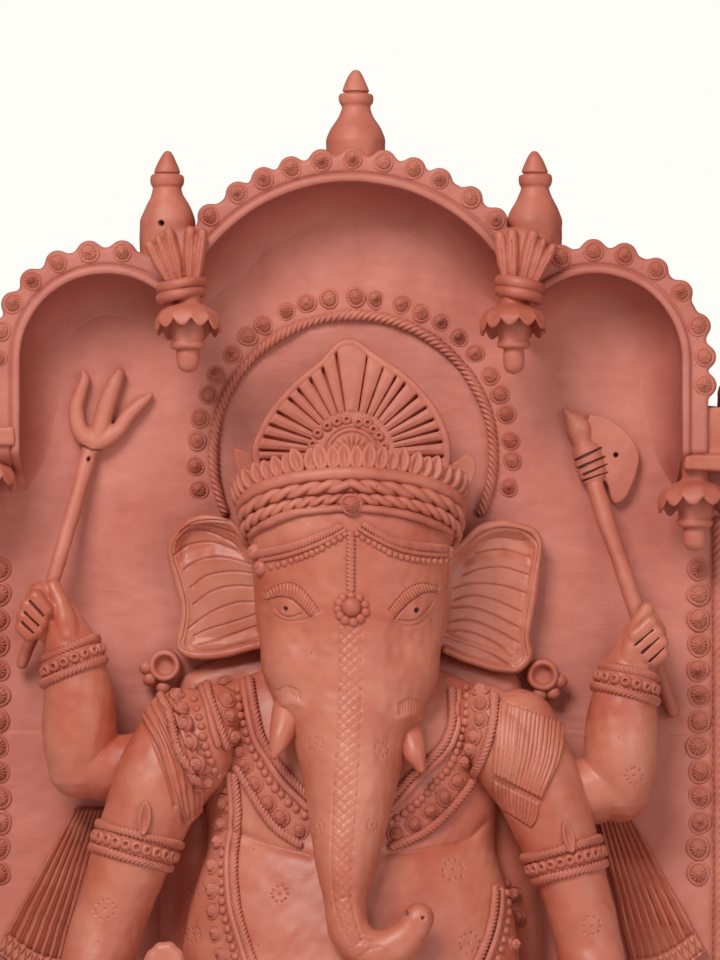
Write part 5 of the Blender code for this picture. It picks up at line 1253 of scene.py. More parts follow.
BLESSING_ARM = [
    (-0.13, 0.058, 0.377, 0.0335), (-0.149, 0.066, 0.338, 0.036), (-0.168, 0.07, 0.29, 0.0318),
    (-0.181, 0.074, 0.251, 0.0295), (-0.194, 0.08, 0.212, 0.028), (-0.2, 0.096, 0.17, 0.0275),
    (-0.186, 0.124, 0.146, 0.024), (-0.162, 0.142, 0.142, 0.019)]
SHOULDER_CAP = [(0.106, 0.062, 0.39, 0.024), (0.122, 0.069, 0.362, 0.0315), (0.136, 0.067, 0.336, 0.027)]
BLESSING_HAND = [
    (-0.16, 0.14, 0.14, 0.017), (-0.152, 0.144, 0.166, 0.0215), (-0.147, 0.142, 0.196, 0.0205)]
BLESSING_FINGERS = [
    (-0.16, -0.15, 0.211), (-0.151, -0.1447, 0.216), (-0.14, -0.1386, 0.2165), (-0.13, -0.133, 0.211)]
BLESSING_THUMB = [(-0.136, 0.148, 0.16, 0.0085), (-0.125, 0.152, 0.18, 0.0065)]
HAND_FLATNESS = 0.62
FINGER_RADIUS = 0.0078
FINGER_FOOT = (0.144, 0.18)
FINGER_BEND = 0.002
FINGER_TAPER = 0.9
OFFERING_ARM = [
    (0.13, 0.058, 0.377, 0.0335), (0.146, 0.066, 0.335, 0.0345), (0.1665, 0.07, 0.282, 0.029),
    (0.18, 0.074, 0.236, 0.0264), (0.188, 0.08, 0.2, 0.026), (0.192, 0.098, 0.166, 0.026),
    (0.178, 0.128, 0.14, 0.023), (0.156, 0.15, 0.132, 0.0185)]
OFFERING_HAND = [(0.158, 0.15, 0.132, 0.0165), (0.134, 0.164, 0.131, 0.02), (0.112, 0.172, 0.133, 0.015)]
THIGH = [(0.07, 0.07, 0.056, 0.05), (0.13, 0.098, 0.052, 0.048), (0.19, 0.122, 0.047, 0.041)]
FRONT_SHIN = [
    (-0.19, 0.122, 0.047, 0.04), (-0.12, 0.156, 0.038, 0.034), (-0.04, 0.174, 0.031, 0.027),
    (0.01, 0.178, 0.027, 0.023)]
FRONT_FOOT = [(0.01, 0.178, 0.025, 0.022), (0.045, 0.18, 0.022, 0.021), (0.08, 0.178, 0.018, 0.016)]
FOOT_FLATNESS = 0.8
BACK_SHIN = [
    (0.19, 0.122, 0.047, 0.04), (0.125, 0.148, 0.04, 0.034), (0.055, 0.152, 0.036, 0.028),
    (0.0, 0.146, 0.034, 0.024)]

# Sides of rounded shapes
FINGER_SIDES = 24
POINT_SIDES = 28
TUSK_SIDES = 32
LEG_SIDES = 48
ARM_SIDES = 56
HEAD_SIDES = 72
BODY_SIDES = 96

# Tools: half width in pixels, depth (negative raises), shade painted in the mark, steepness of its wall
LID_RIDGE = (6.0, -0.0014)
BROW_COMB = (0.62, 0.0008)
LID_LINE = (1.0, 0.0013, 0.06)
BROW_LINE = (0.8, 0.0007)
UNDER_LINE = (1.1, 0.0009)
CREASE_LINE = (1.4, 0.0006)
PUPIL_HOLE = (2.4, 0.0034, 1.0, 4)
LATTICE_LINE = (0.7, 0.0007)
LATTICE_EDGE = (0.85, 0.0009)
COLLAR_COMB = (0.75, 0.0009)
COLLAR_LINE = (0.8, 0.0005)
TUSK_LIP = (3.4, -0.0012)
NOSTRIL = (2.1, 0.0045, 1.0, 4)
TIP_CREASE = (1.2, 0.0012)
TRUNK_WRINKLE = (1.8, 0.0009)
EAR_FOLD = (0.95, 0.0012)
EAR_EDGE = (1.0, 0.0012)
CHEST_HOLLOW = (5.0, 0.0017)
CHEST_LINE = (1.5, 0.0009)
FINE_PRICK = (0.95, 0.001, 0.1)
PRICK = (1.0, 0.0011, 0.1)
DEEP_PRICK = (1.0, 0.0012, 0.1)
SASH_FOLD = (1.5, 0.0017)
PLEAT = (0.85, 0.0011)
FIST_SLIT = (0.95, 0.003, 0.55, 3)
TRIDENT_LINE = (1.0, 0.0016, 0.5)
TRIDENT_PRICK = (2.4, 0.005, 1.0, 4)
AXE_SLIT = (0.75, 0.0022, 0.45)
AXE_PRICK = (2.6, 0.005, 1.0, 4)

# Raised or sunk fields: rise and the width of their edge in pixels
EAR_BOWL = (-0.0028, 9)
EAR_BOWL_TOP = (-0.0034, 12)
SASH_RAISE = (0.003, 4)
SLEEVE_RAISE = (0.0036, 3)
SLEEVE_HEM_RAISE = (0.0016, 3)

# Reaches in pixels about marks within which the clay is made finer, one after the other
EYE_REACHES = (13, 8)
PUPIL_REACHES = (5,)
BAND_REACHES = (16,)
COLLAR_REACHES = (9,)
NOSTRIL_REACHES = (8, 5)
EAR_REACHES = (3,)
CHEST_REACHES = (7,)
SASH_REACHES = (5,)
SLEEVE_REACHES = (4,)
FIST_REACHES = (5, 3)
FLOWER_MARGINS = (4,)
TORSO_FLOWER_MARGINS = (5, 3)

# Swellings of the head: pixel, radius in pixels, rise; cheeks, sockets of the tusks, hollows under the eyes
HEAD_SWELLINGS = [
    ((276, 668), 24, 0.004), ((429, 674), 24, 0.004), ((288, 703), 13, 0.0045), ((411, 713), 13, 0.0045),
    ((303, 640), 16, -0.0022), ((399, 643), 16, -0.0022)]
EYE_BALL = (11, 0.0024)
EYE_BALL_SHIFT = (1, -1)
EYE_STEP = 4
STROKE_STEP = 0.5
RIDGE_STROKES = 9
BROW_STROKES = 19
BROW_LEAN = 0.06
BAND_STEP = 1.5
COLLAR_STROKES = 9
COLLAR_LEAN = 0.1

# Marks on the face, in pixels: lids, brows, pupils, the incised band down the trunk
LEFT_LID = [(266, 600.5), (278, 597), (290, 598.4), (299, 605), (306, 613), (309.5, 616.5)]
LEFT_BROW = [(264, 592), (277, 585), (291, 583), (303, 590), (313, 602), (319, 611)]
LEFT_UNDER = [(275, 608), (279.6, 613.8), (287, 617), (294, 616), (302, 613)]
LEFT_CREASE = [(274.5, 616), (284, 620.4), (298.7, 620.4), (312, 616.5)]
LEFT_PUPIL = (285, 608.7)
RIGHT_LID = [(394, 619.7), (402.8, 609.4), (413, 600), (424.8, 593), (438, 592)]
RIGHT_BROW = [(388.8, 609.4), (398.4, 597.7), (408.6, 588.2), (423.3, 583), (439.4, 587)]
RIGHT_UNDER = [(399.8, 619.7), (408.6, 621.2), (417.4, 619.7), (426.2, 612.4), (433.5, 602)]
RIGHT_CREASE = [(392, 622), (406, 626), (420, 624), (431, 615)]
RIGHT_PUPIL = (417.4, 610.4)
TRUNK_BAND = [
    (350, 624, 10.8), (350.3, 700, 10.8), (346, 785, 12.0), (342, 850, 10.5), (342, 895, 9.0),
    (349, 925, 8.0), (358, 944, 7.0)]
LATTICE_PITCH = 9.0
LEFT_TUSK_COLLAR = ([(277, 691), (286, 686), (298, 690)], [(278, 701), (288, 696.5), (300, 699)])
RIGHT_TUSK_COLLAR = ([(399, 704), (410, 699), (421, 703)], [(400, 714), (411, 709), (423, 713)])
TUSK_LIPS = [[(278, 706), (289, 702), (302, 706)], [(399, 719), (411, 714.5), (424, 719)]]
NOSTRILS = [(423, 918), (406, 913)]
TRUNK_TIP_CREASE = [(414, 901), (424, 899), (431, 903), (435, 913)]
TRUNK_WRINKLES = [
    [(352, 948), (362, 940), (371, 938)], [(360, 957), (370, 949), (381, 947)], [(330, 905), (340, 899),
    (350, 897)]]
TRUNK_FLOWERS = [(315, 744, 7), (382, 750, 7.5), (318, 826, 5.5), (373, 825, 5.5)]

# Incised folds of the ears
LEFT_EAR_LINES = [
    [(180.6, 532), (192, 526), (206, 525.5), (221.4, 529.3), (233, 534)], [(177.4, 541.5), (188.3, 533),
    (201, 530.6), (216.3, 534.4), (233, 543.4), (240, 551)], [(175, 555), (187, 546), (201, 542),
    (216.3, 542.7), (231.6, 547.8), (240.6, 552.3)], [(184.4, 569.5), (196, 561.2), (211.2, 557.4),
    (229, 558), (244.4, 562), (252, 565)], [(190.8, 587.4), (203.6, 577.2), (219, 572.7), (236.7, 571.4),
    (252, 573.3)], [(194, 604.6), (206, 594.4), (221.4, 588), (238, 586), (254, 586.7)], [(189, 628.8),
    (201, 618.6), (216.3, 609.7), (236.7, 602.7), (256, 602)], [(194, 635.8), (207.4, 629.5), (229, 623),
    (247, 617.3), (257.8, 613)], [(198.5, 644.8), (216.3, 639.7), (236.7, 632.7), (258.4, 625)],
    [(228, 521.5), (213, 520.5), (198, 521.5), (186, 527), (177, 537), (172.5, 548), (175.5, 562),
    (181.5, 580), (186.5, 600), (187, 615), (184.5, 633), (181, 648), (201, 651), (221, 649), (240, 644),
    (256, 641)]]
RIGHT_EAR_LINES = [
    [(489, 539), (503.7, 537.6), (523, 541)], [(476, 553.3), (490.8, 550.1), (503.7, 549.6),
    (516.6, 552.7), (529.5, 557)], [(462.8, 575.4), (476, 569.9), (490.8, 567.5), (503.7, 567.5),
    (516.6, 570.8), (528.5, 574.8)], [(453.6, 588.3), (465, 584.4), (477.9, 583.3), (492.6, 584),
    (509.2, 587.3), (525.8, 593.2)], [(453.9, 600.2), (465, 596.2), (476, 595.6), (492.6, 599.3),
    (507.3, 605.4), (520.2, 611.7)], [(452, 607.6), (465, 607), (476, 608.5), (492.6, 614.6),
    (507.3, 622), (518, 627.5)], [(449.3, 622), (461.3, 620), (474.2, 621.4), (488.9, 627),
    (505.5, 635.2), (518.4, 643)], [(447, 631.2), (459.5, 630.6), (472.4, 633), (487, 638.9),
    (501.8, 647.2), (512.5, 655.5)], [(445.7, 637), (459.5, 641.7), (474.2, 646.3), (490.8, 653.6),
    (503.7, 662), (514.7, 667)], [(470, 545), (482, 534), (496, 529), (512, 529), (526, 533), (536, 543),
    (537.7, 556), (533, 576.3), (529.5, 594.7), (526, 613), (523.6, 629.7), (524, 642.6), (527, 656)]]

# Pricked flowers and folds on the body and the arms
TORSO_FLOWERS = [(454, 869, 10), (470, 943, 10), (279, 894, 8), (196, 888, 7), (193, 935, 7)]
CHEST_FOLDS = [
    [(236, 832), (250, 838), (273, 846), (309, 855)], [(388, 853), (410, 852), (437, 848), (467, 840),
    (486, 822)]]
LEFT_ARM_FLOWER = (105, 909, 10)
RIGHT_ARM_FLOWER = (592, 926, 9)
RIGHT_FOREARM_FLOWER = (634, 776, 8)
SASH_OUTLINE = [
    (139, 713), (158, 696), (178, 693), (196, 740), (206, 784), (203, 812), (186, 828), (176, 806),
    (160, 758)]
SASH_FOLDS = [
    [(144, 713), (160, 741), (171, 775), (179, 804), (184, 824)], [(150, 706), (167, 740), (177, 768),
    (184, 800), (188, 822)], [(156, 701), (172, 736), (183, 768), (189, 796), (192, 819)], [(140, 719),
    (155, 746), (167, 779), (175, 806)], [(164, 698), (178, 732), (189, 766), (195, 794), (197, 815)],
    [(172, 695), (185, 730), (195, 764), (200, 790), (201, 810)]]
SLEEVE_LEFT = [(497, 700), (494, 737), (492, 773)]
SLEEVE_RIGHT = [(564.7, 723), (559, 763), (542.7, 801.6)]
SLEEVE_PLEATS = 16
PLEAT_SPAN = (0.03, 0.97)
PLEAT_STRAY = 0.22
SLEEVE_HEM_LEFT = [(492, 778), (493, 796), (503, 812)]
SLEEVE_HEM_RIGHT = [(541.5, 803.5), (538, 820), (531, 829)]
SLEEVE_HEM_PLEATS = 13
LEFT_FIST_SLITS = [
    [(29.5, 600.6), (43.5, 616)], [(24.5, 612.3), (38.8, 626)], [(21.8, 622.3), (33.5, 633.3)]]
RIGHT_FIST_SLITS = [[(635, 645), (653, 630)], [(642, 653), (659, 638)], [(649, 662), (664, 648)]]
FIST_PALMS = {
    -1: [(-0.243, 0.044, 0.458, 0.0105), (-0.247, 0.044, 0.47, 0.012), (-0.2445, 0.043, 0.484, 0.0105)],
    1: [(0.2325, 0.044, 0.44, 0.0105), (0.2365, 0.044, 0.45, 0.012), (0.2335, 0.043, 0.462, 0.0105)]}
FIST_FINGERS = {
    -1: [((36, 597), (46, 610)), ((28, 606), (41, 621)), ((24, 617), (36, 629.5)),
         ((22.5, 627), (30, 634))],
    1: [((650, 622), (636, 636)), ((656, 633), (640, 648)), ((660.5, 643), (645.5, 656.5)),
        ((661, 654), (652, 660))]}
FIST_FINGER_DEPTH = 0.057
FIST_FINGER_RADIUS = 0.0064


def between(first, second, count, lean=0.0):
    """Strokes from one line of pixels across to another; lean carries their far ends along it."""
    shares = np.linspace(0.0, 1.0, count)
    near = stepped(eased(first), STROKE_STEP)
    far = stepped(eased(second), STROKE_STEP)
    strokes = []
    for share in shares:
        other = min(max(share + lean, 0.0), 1.0)
        strokes.append([near[int(share * (len(near) - 1))], far[int(other * (len(far) - 1))]])
    return strokes


def face_marks(mesh, lid, brow, under, crease, pupil):
    """Press an eye: ball, lids, combed brow and pupil."""
    finer(mesh, [stepped(eased(line), EYE_STEP) for line in (lid, brow, under, crease)], *EYE_REACHES)
    finer(mesh, [[pupil]], *PUPIL_REACHES)
    swollen(mesh, (pupil[0] + EYE_BALL_SHIFT[0], pupil[1] + EYE_BALL_SHIFT[1]), *EYE_BALL)
    ridge = [(np.asarray(first) + np.asarray(last)) / 2 for first, last in between(lid, brow, RIDGE_STROKES)]
    marked(mesh, [ridge], *LID_RIDGE)
    marked(mesh, between(brow, lid, BROW_STROKES, BROW_LEAN), *BROW_COMB)
    for line, tool in ((lid, LID_LINE), (brow, BROW_LINE), (under, UNDER_LINE), (crease, CREASE_LINE)):
        marked(mesh, [eased(line)], *tool)
    marked(mesh, [[pupil]], *PUPIL_HOLE)


def head():
    """Head with its trunk, the eyes and the incised lattice down the trunk."""
    mesh = pressed("head_and_trunk", [limb(HEAD, HEAD_SIDES)])
    for pixel, radius, rise in HEAD_SWELLINGS:
        swollen(mesh, pixel, radius, rise)
    face_marks(mesh, LEFT_LID, LEFT_BROW, LEFT_UNDER, LEFT_CREASE, LEFT_PUPIL)
    face_marks(mesh, RIGHT_LID, RIGHT_BROW, RIGHT_UNDER, RIGHT_CREASE, RIGHT_PUPIL)
    band = stepped(eased(TRUNK_BAND), BAND_STEP)
    left = band[:, :2] - band[:, 2:] * (1, 0)
    right = band[:, :2] + band[:, 2:] * (1, 0)
    finer(mesh, [band[:, :2]], *BAND_REACHES)
    count = int((TRUNK_BAND[-1][1] - TRUNK_BAND[0][1]) / LATTICE_PITCH)
    lean = 2.0 / count
    marked(mesh, between(left, right, count, lean) + between(right, left, count, lean), *LATTICE_LINE)
    marked(mesh, [left[::3], right[::3]], *LATTICE_EDGE)
    collars = [*LEFT_TUSK_COLLAR, *RIGHT_TUSK_COLLAR]
    finer(mesh, collars, *COLLAR_REACHES)
    strokes = between(*LEFT_TUSK_COLLAR, COLLAR_STROKES, COLLAR_LEAN)
    strokes += between(*RIGHT_TUSK_COLLAR, COLLAR_STROKES, -COLLAR_LEAN)
    marked(mesh, strokes, *COLLAR_COMB)
    marked(mesh, smooth(TUSK_LIPS), *TUSK_LIP)
    marked(mesh, smooth(collars[::2]), *COLLAR_LINE)
    flowered(mesh, TRUNK_FLOWERS, FINE_PRICK, *FLOWER_MARGINS)
    nostrils = [[pixel] for pixel in NOSTRILS]
    finer(mesh, nostrils, *NOSTRIL_REACHES)
    marked(mesh, nostrils, *NOSTRIL)
    marked(mesh, [eased(TRUNK_TIP_CREASE)], *TIP_CREASE)
    marked(mesh, smooth(TRUNK_WRINKLES), *TRUNK_WRINKLE)
    return shown("worked_head", "figure", mesh, "head_and_trunk")


def sloped(shape):
    """An ear's shape leaned forward towards the head."""
    points, faces = shape
    points = points.copy()
    points[:, 1] -= EAR_SLOPE * (EAR_SLOPE_FROM - np.abs(points[:, 0]))
    return points, faces


def ears():
    """Two ears: a dished leaf with a thin rolled rim and incised folds, the last of them along the rim."""
    for name, lines in (("ear_left", LEFT_EAR_LINES), ("ear_right", RIGHT_EAR_LINES)):
        rim = outlined(eased(EAR_RIMS[name], per_span=6), EAR_SIGHT_DEPTH)
        root = outlined(EAR_ROOTS[name], EAR_SIGHT_DEPTH)
        leaf = plate(np.concatenate([rim, root]), *EAR_DEPTHS, EAR_STEP)
        inner = rim + unit(root.mean(axis=0) - rim) * EAR_ROLL_RADIUS
        roll = coil(at(inner[:, 0], EAR_DEPTHS[1], inner[:, 1]), EAR_ROLL_RADIUS, EAR_ROLL_SIDES)
        mesh = pressed(name, [sloped(leaf), sloped(roll)])
        raised(mesh, EAR_BOWLS[name], *EAR_BOWL)
        raised(mesh, EAR_BOWL_TOPS[name], *EAR_BOWL_TOP)
        lines = [stepped(eased(line), EAR_LINE_STEP) for line in lines]
        finer(mesh, lines, *EAR_REACHES)
        marked(mesh, lines[:-1], *EAR_FOLD)
        marked(mesh, lines[-1:], *EAR_EDGE)
        shown("worked_" + name, "figure", mesh, name)


def tusks():
    """Two short tusks."""
    for name, rows in TUSKS.items():
        stations = [(*in_sight(pixel, depth), radius) for pixel, depth, radius in rows]
        shown("worked_" + name, "figure", limb(stations, TUSK_SIDES), name)


def torso():
    """Body with the fold of the chest over the belly, and clay laid behind its shoulders and sides."""
    shapes = [limb(TORSO, BODY_SIDES)]
    for rows in (SHOULDER_SLOPE, SIDE_BACKING):
        shapes += [limb(mirrored(rows)), limb(rows)]
    mesh = pressed("torso", shapes)
    finer(mesh, CHEST_FOLDS, *CHEST_REACHES)
    marked(mesh, smooth(CHEST_FOLDS), *CHEST_HOLLOW)
    marked(mesh, smooth(CHEST_FOLDS), *CHEST_LINE)
    flowered(mesh, TORSO_FLOWERS, PRICK, *TORSO_FLOWER_MARGINS)
    return shown("worked_torso", "figure", mesh, "torso")


def pleated(left, right, count):
    """Pleat lines spread between two edges of pixels, a little uneven."""
    first = eased(left)
    last = eased(right)
    shares = np.linspace(*PLEAT_SPAN, count) + CHANCE.uniform(-PLEAT_STRAY, PLEAT_STRAY, count) / count
    return [first + (last - first) * share for share in shares]


def blessing_arm():
    """The arm on the viewer's left, its hand raised, with its sash."""
    hand = [limb(BLESSING_HAND, flatten=HAND_FLATNESS), limb(BLESSING_THUMB, FINGER_SIDES)]
    for x, top_x, top in BLESSING_FINGERS:
        tip = (top_x, FINGER_FOOT[0] - FINGER_BEND, top, FINGER_RADIUS * FINGER_TAPER)
        hand.append(limb([(x, *FINGER_FOOT, FINGER_RADIUS), tip], FINGER_SIDES))
    cap = limb(mirrored(SHOULDER_CAP), LEG_SIDES)
    mesh = pressed("front_arm_left", [limb(BLESSING_ARM, ARM_SIDES), cap, *hand])
    finer(mesh, SASH_FOLDS, *SASH_REACHES)
    raised(mesh, SASH_OUTLINE, *SASH_RAISE)
    marked(mesh, smooth(SASH_FOLDS), *SASH_FOLD)
    flowered(mesh, [LEFT_ARM_FLOWER], DEEP_PRICK, *FLOWER_MARGINS)
    return shown("worked_front_arm_left", "figure", mesh, "front_arm_left", "shoulder_cloth_left")


def offering_arm():
    """The arm on the viewer's right, its hand held out, with its pleated sleeve."""
    hand = limb(OFFERING_HAND, flatten=HAND_FLATNESS)
    mesh = pressed("front_arm_right", [limb(OFFERING_ARM, ARM_SIDES), limb(SHOULDER_CAP, LEG_SIDES), hand])
    pleats = pleated(SLEEVE_LEFT, SLEEVE_RIGHT, SLEEVE_PLEATS)
    hems = pleated(SLEEVE_HEM_LEFT, SLEEVE_HEM_RIGHT, SLEEVE_HEM_PLEATS)
    finer(mesh, pleats + hems, *SLEEVE_REACHES)
    for left, right, rise in ((SLEEVE_HEM_LEFT, SLEEVE_HEM_RIGHT, SLEEVE_HEM_RAISE),
                              (SLEEVE_LEFT, SLEEVE_RIGHT, SLEEVE_RAISE)):
        raised(mesh, np.concatenate([eased(left), eased(right)[::-1]]), *rise)
    marked(mesh, pleats, *PLEAT)
    marked(mesh, hems, *PLEAT)
    flowered(mesh, [RIGHT_ARM_FLOWER], DEEP_PRICK, *FLOWER_MARGINS)
    return shown("worked_front_arm_right", "figure", mesh, "front_arm_right", "shoulder_cloth_right")


def rear_arms():
    """Raised forearms with fists closed on the shafts."""
    made = []
    slits = {-1: LEFT_FIST_SLITS, 1: RIGHT_FIST_SLITS}
    for name, side in (("rear_arm_left", -1), ("rear_arm_right", 1)):
        shapes = []
        for rows in REAR_ARM:
            moved = [(side * x + REAR_ARM_SHIFT[side], depth, height - REAR_ARM_DROP[side], radius)
                     for x, depth, height, radius in rows]
            shapes.append(limb(moved))
        shapes.append(limb(FIST_PALMS[side]))
        for ends in FIST_FINGERS[side]:
            finger = [(*in_sight(pixel, FIST_FINGER_DEPTH), FIST_FINGER_RADIUS) for pixel in ends]
            shapes.append(limb(finger, FINGER_SIDES))
        mesh = pressed(name, shapes)
        finer(mesh, slits[side], *FIST_REACHES)
        marked(mesh, slits[side], *FIST_SLIT)
        if side > 0:
            flowered(mesh, [RIGHT_FOREARM_FLOWER], FINE_PRICK, *FLOWER_MARGINS)
        made.append(shown("worked_" + name, "figure", mesh, name))
    return made


def legs():
    """Crossed legs under the belly."""
    foot = limb(FRONT_FOOT, flatten=FOOT_FLATNESS)
    left = [limb(mirrored(THIGH), LEG_SIDES), limb(FRONT_SHIN, LEG_SIDES), foot]
    right = [limb(THIGH, LEG_SIDES), limb(BACK_SHIN, LEG_SIDES)]
    for name, shapes in (("leg_left", left), ("leg_right", right)):
        shown("worked_" + name, "figure", pressed(name, shapes), name)


# Held things; holes and slits in pixels
TRIDENT_SHAFT = [
    (-0.2083, 0.006, 0.597, 0.007), (-0.223, 0.022, 0.542, 0.0062), (-0.239, 0.036, 0.484, 0.0055),
    (-0.262, 0.012, 0.428, 0.0052)]
TRIDENT_ROOT = (-0.204, 0.006, 0.603, 0.008)
TRIDENT_PRONGS = [
    [(-0.2128, 0.006, 0.609, 0.0076), (-0.2184, 0.006, 0.6187, 0.0068), (-0.2194, 0.006, 0.632, 0.0062),
     (-0.2158, 0.006, 0.645, 0.0058), (-0.2126, 0.006, 0.6545, 0.005), (-0.2136, 0.006, 0.66, 0.0032)],
    [(-0.2, 0.006, 0.615, 0.0076), (-0.1956, 0.006, 0.633, 0.007), (-0.1894, 0.006, 0.649, 0.0064),
     (-0.185, 0.006, 0.6585, 0.005)],
    [(-0.194, 0.006, 0.6075, 0.0076), (-0.1851, 0.006, 0.6143, 0.0068), (-0.1782, 0.006, 0.624, 0.0062),
     (-0.169, 0.006, 0.6335, 0.0052), (-0.16, 0.006, 0.6415, 0.003)]]
TRIDENT_JOINT = [(80, 445), (92, 450), (108, 452)]
TRIDENT_HOLE = (89, 459)
AXE_SHAFT = [
    (0.19, 0.006, 0.583, 0.007), (0.205, 0.02, 0.535, 0.007), (0.2275, 0.034, 0.466, 0.0066),
    (0.246, 0.012, 0.42, 0.0066), (0.2565, 0.008, 0.39, 0.006)]
AXE_POINT = [
    (0.188, 0.007, 0.594, 0.0085), (0.1846, 0.007, 0.6035, 0.0076), (0.1812, 0.007, 0.615, 0.01),
    (0.1765, 0.007, 0.6225, 0.0066), (0.1712, 0.007, 0.629, 0.0024)]
AXE_BINDING = [(0.1918, 0.007, 0.58, 0.0116), (0.1882, 0.007, 0.5945, 0.0118)]
AXE_BLADE = [
    (0.1895, 0.6265), (0.207, 0.6225), (0.224, 0.607), (0.23, 0.5925), (0.226, 0.574), (0.2185, 0.559),
    (0.2095, 0.5555), (0.205, 0.57), (0.199, 0.579), (0.193, 0.596)]
AXE_BLADE_DEPTHS = (0.0006, 0.009)
AXE_BLADE_STEP = 0.002
AXE_SLITS = [
    [(573, 461), (601, 448)], [(577, 468.5), (604.5, 457)], [(582, 475.5), (607, 464.5)],
    [(577, 483.5), (608, 472.5)]]
AXE_HOLE = (616, 455)
TRIDENT_REACHES = (6,)
HOLE_REACHES = (5,)
AXE_REACHES = (5,)
SLIT_REACHES = (3,)


def trident():
    """Trident pressed against the panel."""
    prongs = [limb([TRIDENT_ROOT, *rows], FINGER_SIDES) for rows in TRIDENT_PRONGS]
    mesh = pressed("trident", [limb(TRIDENT_SHAFT, FINGER_SIDES), *prongs])
    finer(mesh, [TRIDENT_JOINT, [TRIDENT_HOLE]], *TRIDENT_REACHES)
    marked(mesh, [TRIDENT_JOINT], *TRIDENT_LINE)
    finer(mesh, [[TRIDENT_HOLE]], *HOLE_REACHES)
    marked(mesh, [[TRIDENT_HOLE]], *TRIDENT_PRICK)
    shown("worked_trident", "ornament", mesh, "trident")


def axe():
    """Axe pressed against the panel, its blade bound to the shaft."""
    blade = plate(eased(AXE_BLADE + AXE_BLADE[:1], per_span=5)[:-1], *AXE_BLADE_DEPTHS, AXE_BLADE_STEP)
    shapes = [limb(AXE_SHAFT, FINGER_SIDES), limb(AXE_POINT, POINT_SIDES), limb(AXE_BINDING, POINT_SIDES),
              blade]
    mesh = pressed("axe", shapes)
    finer(mesh, [*AXE_SLITS, [AXE_HOLE]], *AXE_REACHES)
    finer(mesh, AXE_SLITS, *SLIT_REACHES)
    marked(mesh, AXE_SLITS, *AXE_SLIT)
    finer(mesh, [[AXE_HOLE]], *HOLE_REACHES)
    marked(mesh, [[AXE_HOLE]], *AXE_PRICK)
    shown("worked_axe", "ornament", mesh, "axe")


# Scarf ends: pleated fans of cloth falling beside the arms
SCARF_APEX = (0.208, 0.312)
SCARF_APEX_HALF = 0.013
SCARF_OUTER_END = (0.284, 0.198)
SCARF_INNER_END = (0.226, 0.172)
SCARF_PLEATS = 8
SCARF_THICKNESS = 0.0105
SCARF_ROWS = 150
SCARF_COLUMNS = 190
SCARF_SAG = 0.008
GROOVE_SPREAD = 0.16
GROOVE_CUT = 0.0044
GROOVE_AT_APEX = 0.45
FOLD_SWELL = 0.0016
SCARF_HEM_SHARE = 0.86
HEM_LIFT = 0.0008
HEM_NET_COUNT = 11
HEM_NET_CUT = 0.0016
HEM_NET_SPREAD = 0.1
HEM_EDGES = (SCARF_HEM_SHARE, 0.975)
HEM_EDGE_SPREAD = 0.01
HEM_EDGE_CUT = 0.002
SCARF_RIM = (0.02, 0.012)
SCARF_RIM_LEAST = 0.05


def hem_net(across, place):
    """Distance from the lines of the hem's lattice, in meshes of the net."""
    turned_in = np.abs(np.mod(across * HEM_NET_COUNT + place, 1.0) - 0.5)
    turned_out = np.abs(np.mod(across * HEM_NET_COUNT - place, 1.0) - 0.5)
    return np.minimum(turned_in, turned_out)


def scarf_ends():
    """Two pleated scarf ends with a latticed hem band."""
    shares = np.linspace(0.0, 1.0, SCARF_ROWS)[:, None]
    across = np.linspace(0.0, 1.0, SCARF_COLUMNS)[None, :]
    apex_x = SCARF_APEX[0] + SCARF_APEX_HALF * (1 - 2 * across)
    end_x = SCARF_OUTER_END[0] + (SCARF_INNER_END[0] - SCARF_OUTER_END[0]) * across
    end_height = SCARF_OUTER_END[1] + (SCARF_INNER_END[1] - SCARF_OUTER_END[1]) * across
    x = apex_x + (end_x - apex_x) * shares
    sag = SCARF_SAG * np.sin(math.pi * across) * shares
    height = SCARF_APEX[1] + (end_height - SCARF_APEX[1]) * shares - sag
    groove = np.exp(-((np.mod(across * SCARF_PLEATS + 0.5, 1.0) - 0.5) / GROOVE_SPREAD) ** 2)
    cut = GROOVE_CUT * groove * (GROOVE_AT_APEX + (1 - GROOVE_AT_APEX) * shares)
    fold = FOLD_SWELL * np.sin(math.tau * across * SCARF_PLEATS) * shares
    net = hem_net(across, (shares - SCARF_HEM_SHARE) / (1 - SCARF_HEM_SHARE))
    hem = SCARF_THICKNESS + HEM_LIFT - HEM_NET_CUT * np.exp(-(net / HEM_NET_SPREAD) ** 2)
    depth = np.where(shares > SCARF_HEM_SHARE, hem, SCARF_THICKNESS - cut + fold)
    for edge in HEM_EDGES:
        depth = depth - HEM_EDGE_CUT * np.exp(-((shares - edge) / HEM_EDGE_SPREAD) ** 2)
    to_side = np.minimum(across, 1 - across) / SCARF_RIM[0]
    to_end = np.minimum(shares, 1 - shares) / SCARF_RIM[1]
    rim = np.sqrt(np.clip(np.minimum(to_side, to_end), SCARF_RIM_LEAST, 1.0))
    depth = SLIP_JOINT + (depth - SLIP_JOINT) * rim
    for name, side in (("scarf_end_left", -1), ("scarf_end_right", 1)):
        front = at(side * x, depth, height)
        back = at(side * x, SLIP_JOINT, height)
        shape = skinned(np.concatenate([front, back[:, ::-1]], axis=1))
        shown("worked_" + name, "figure", shape, name)


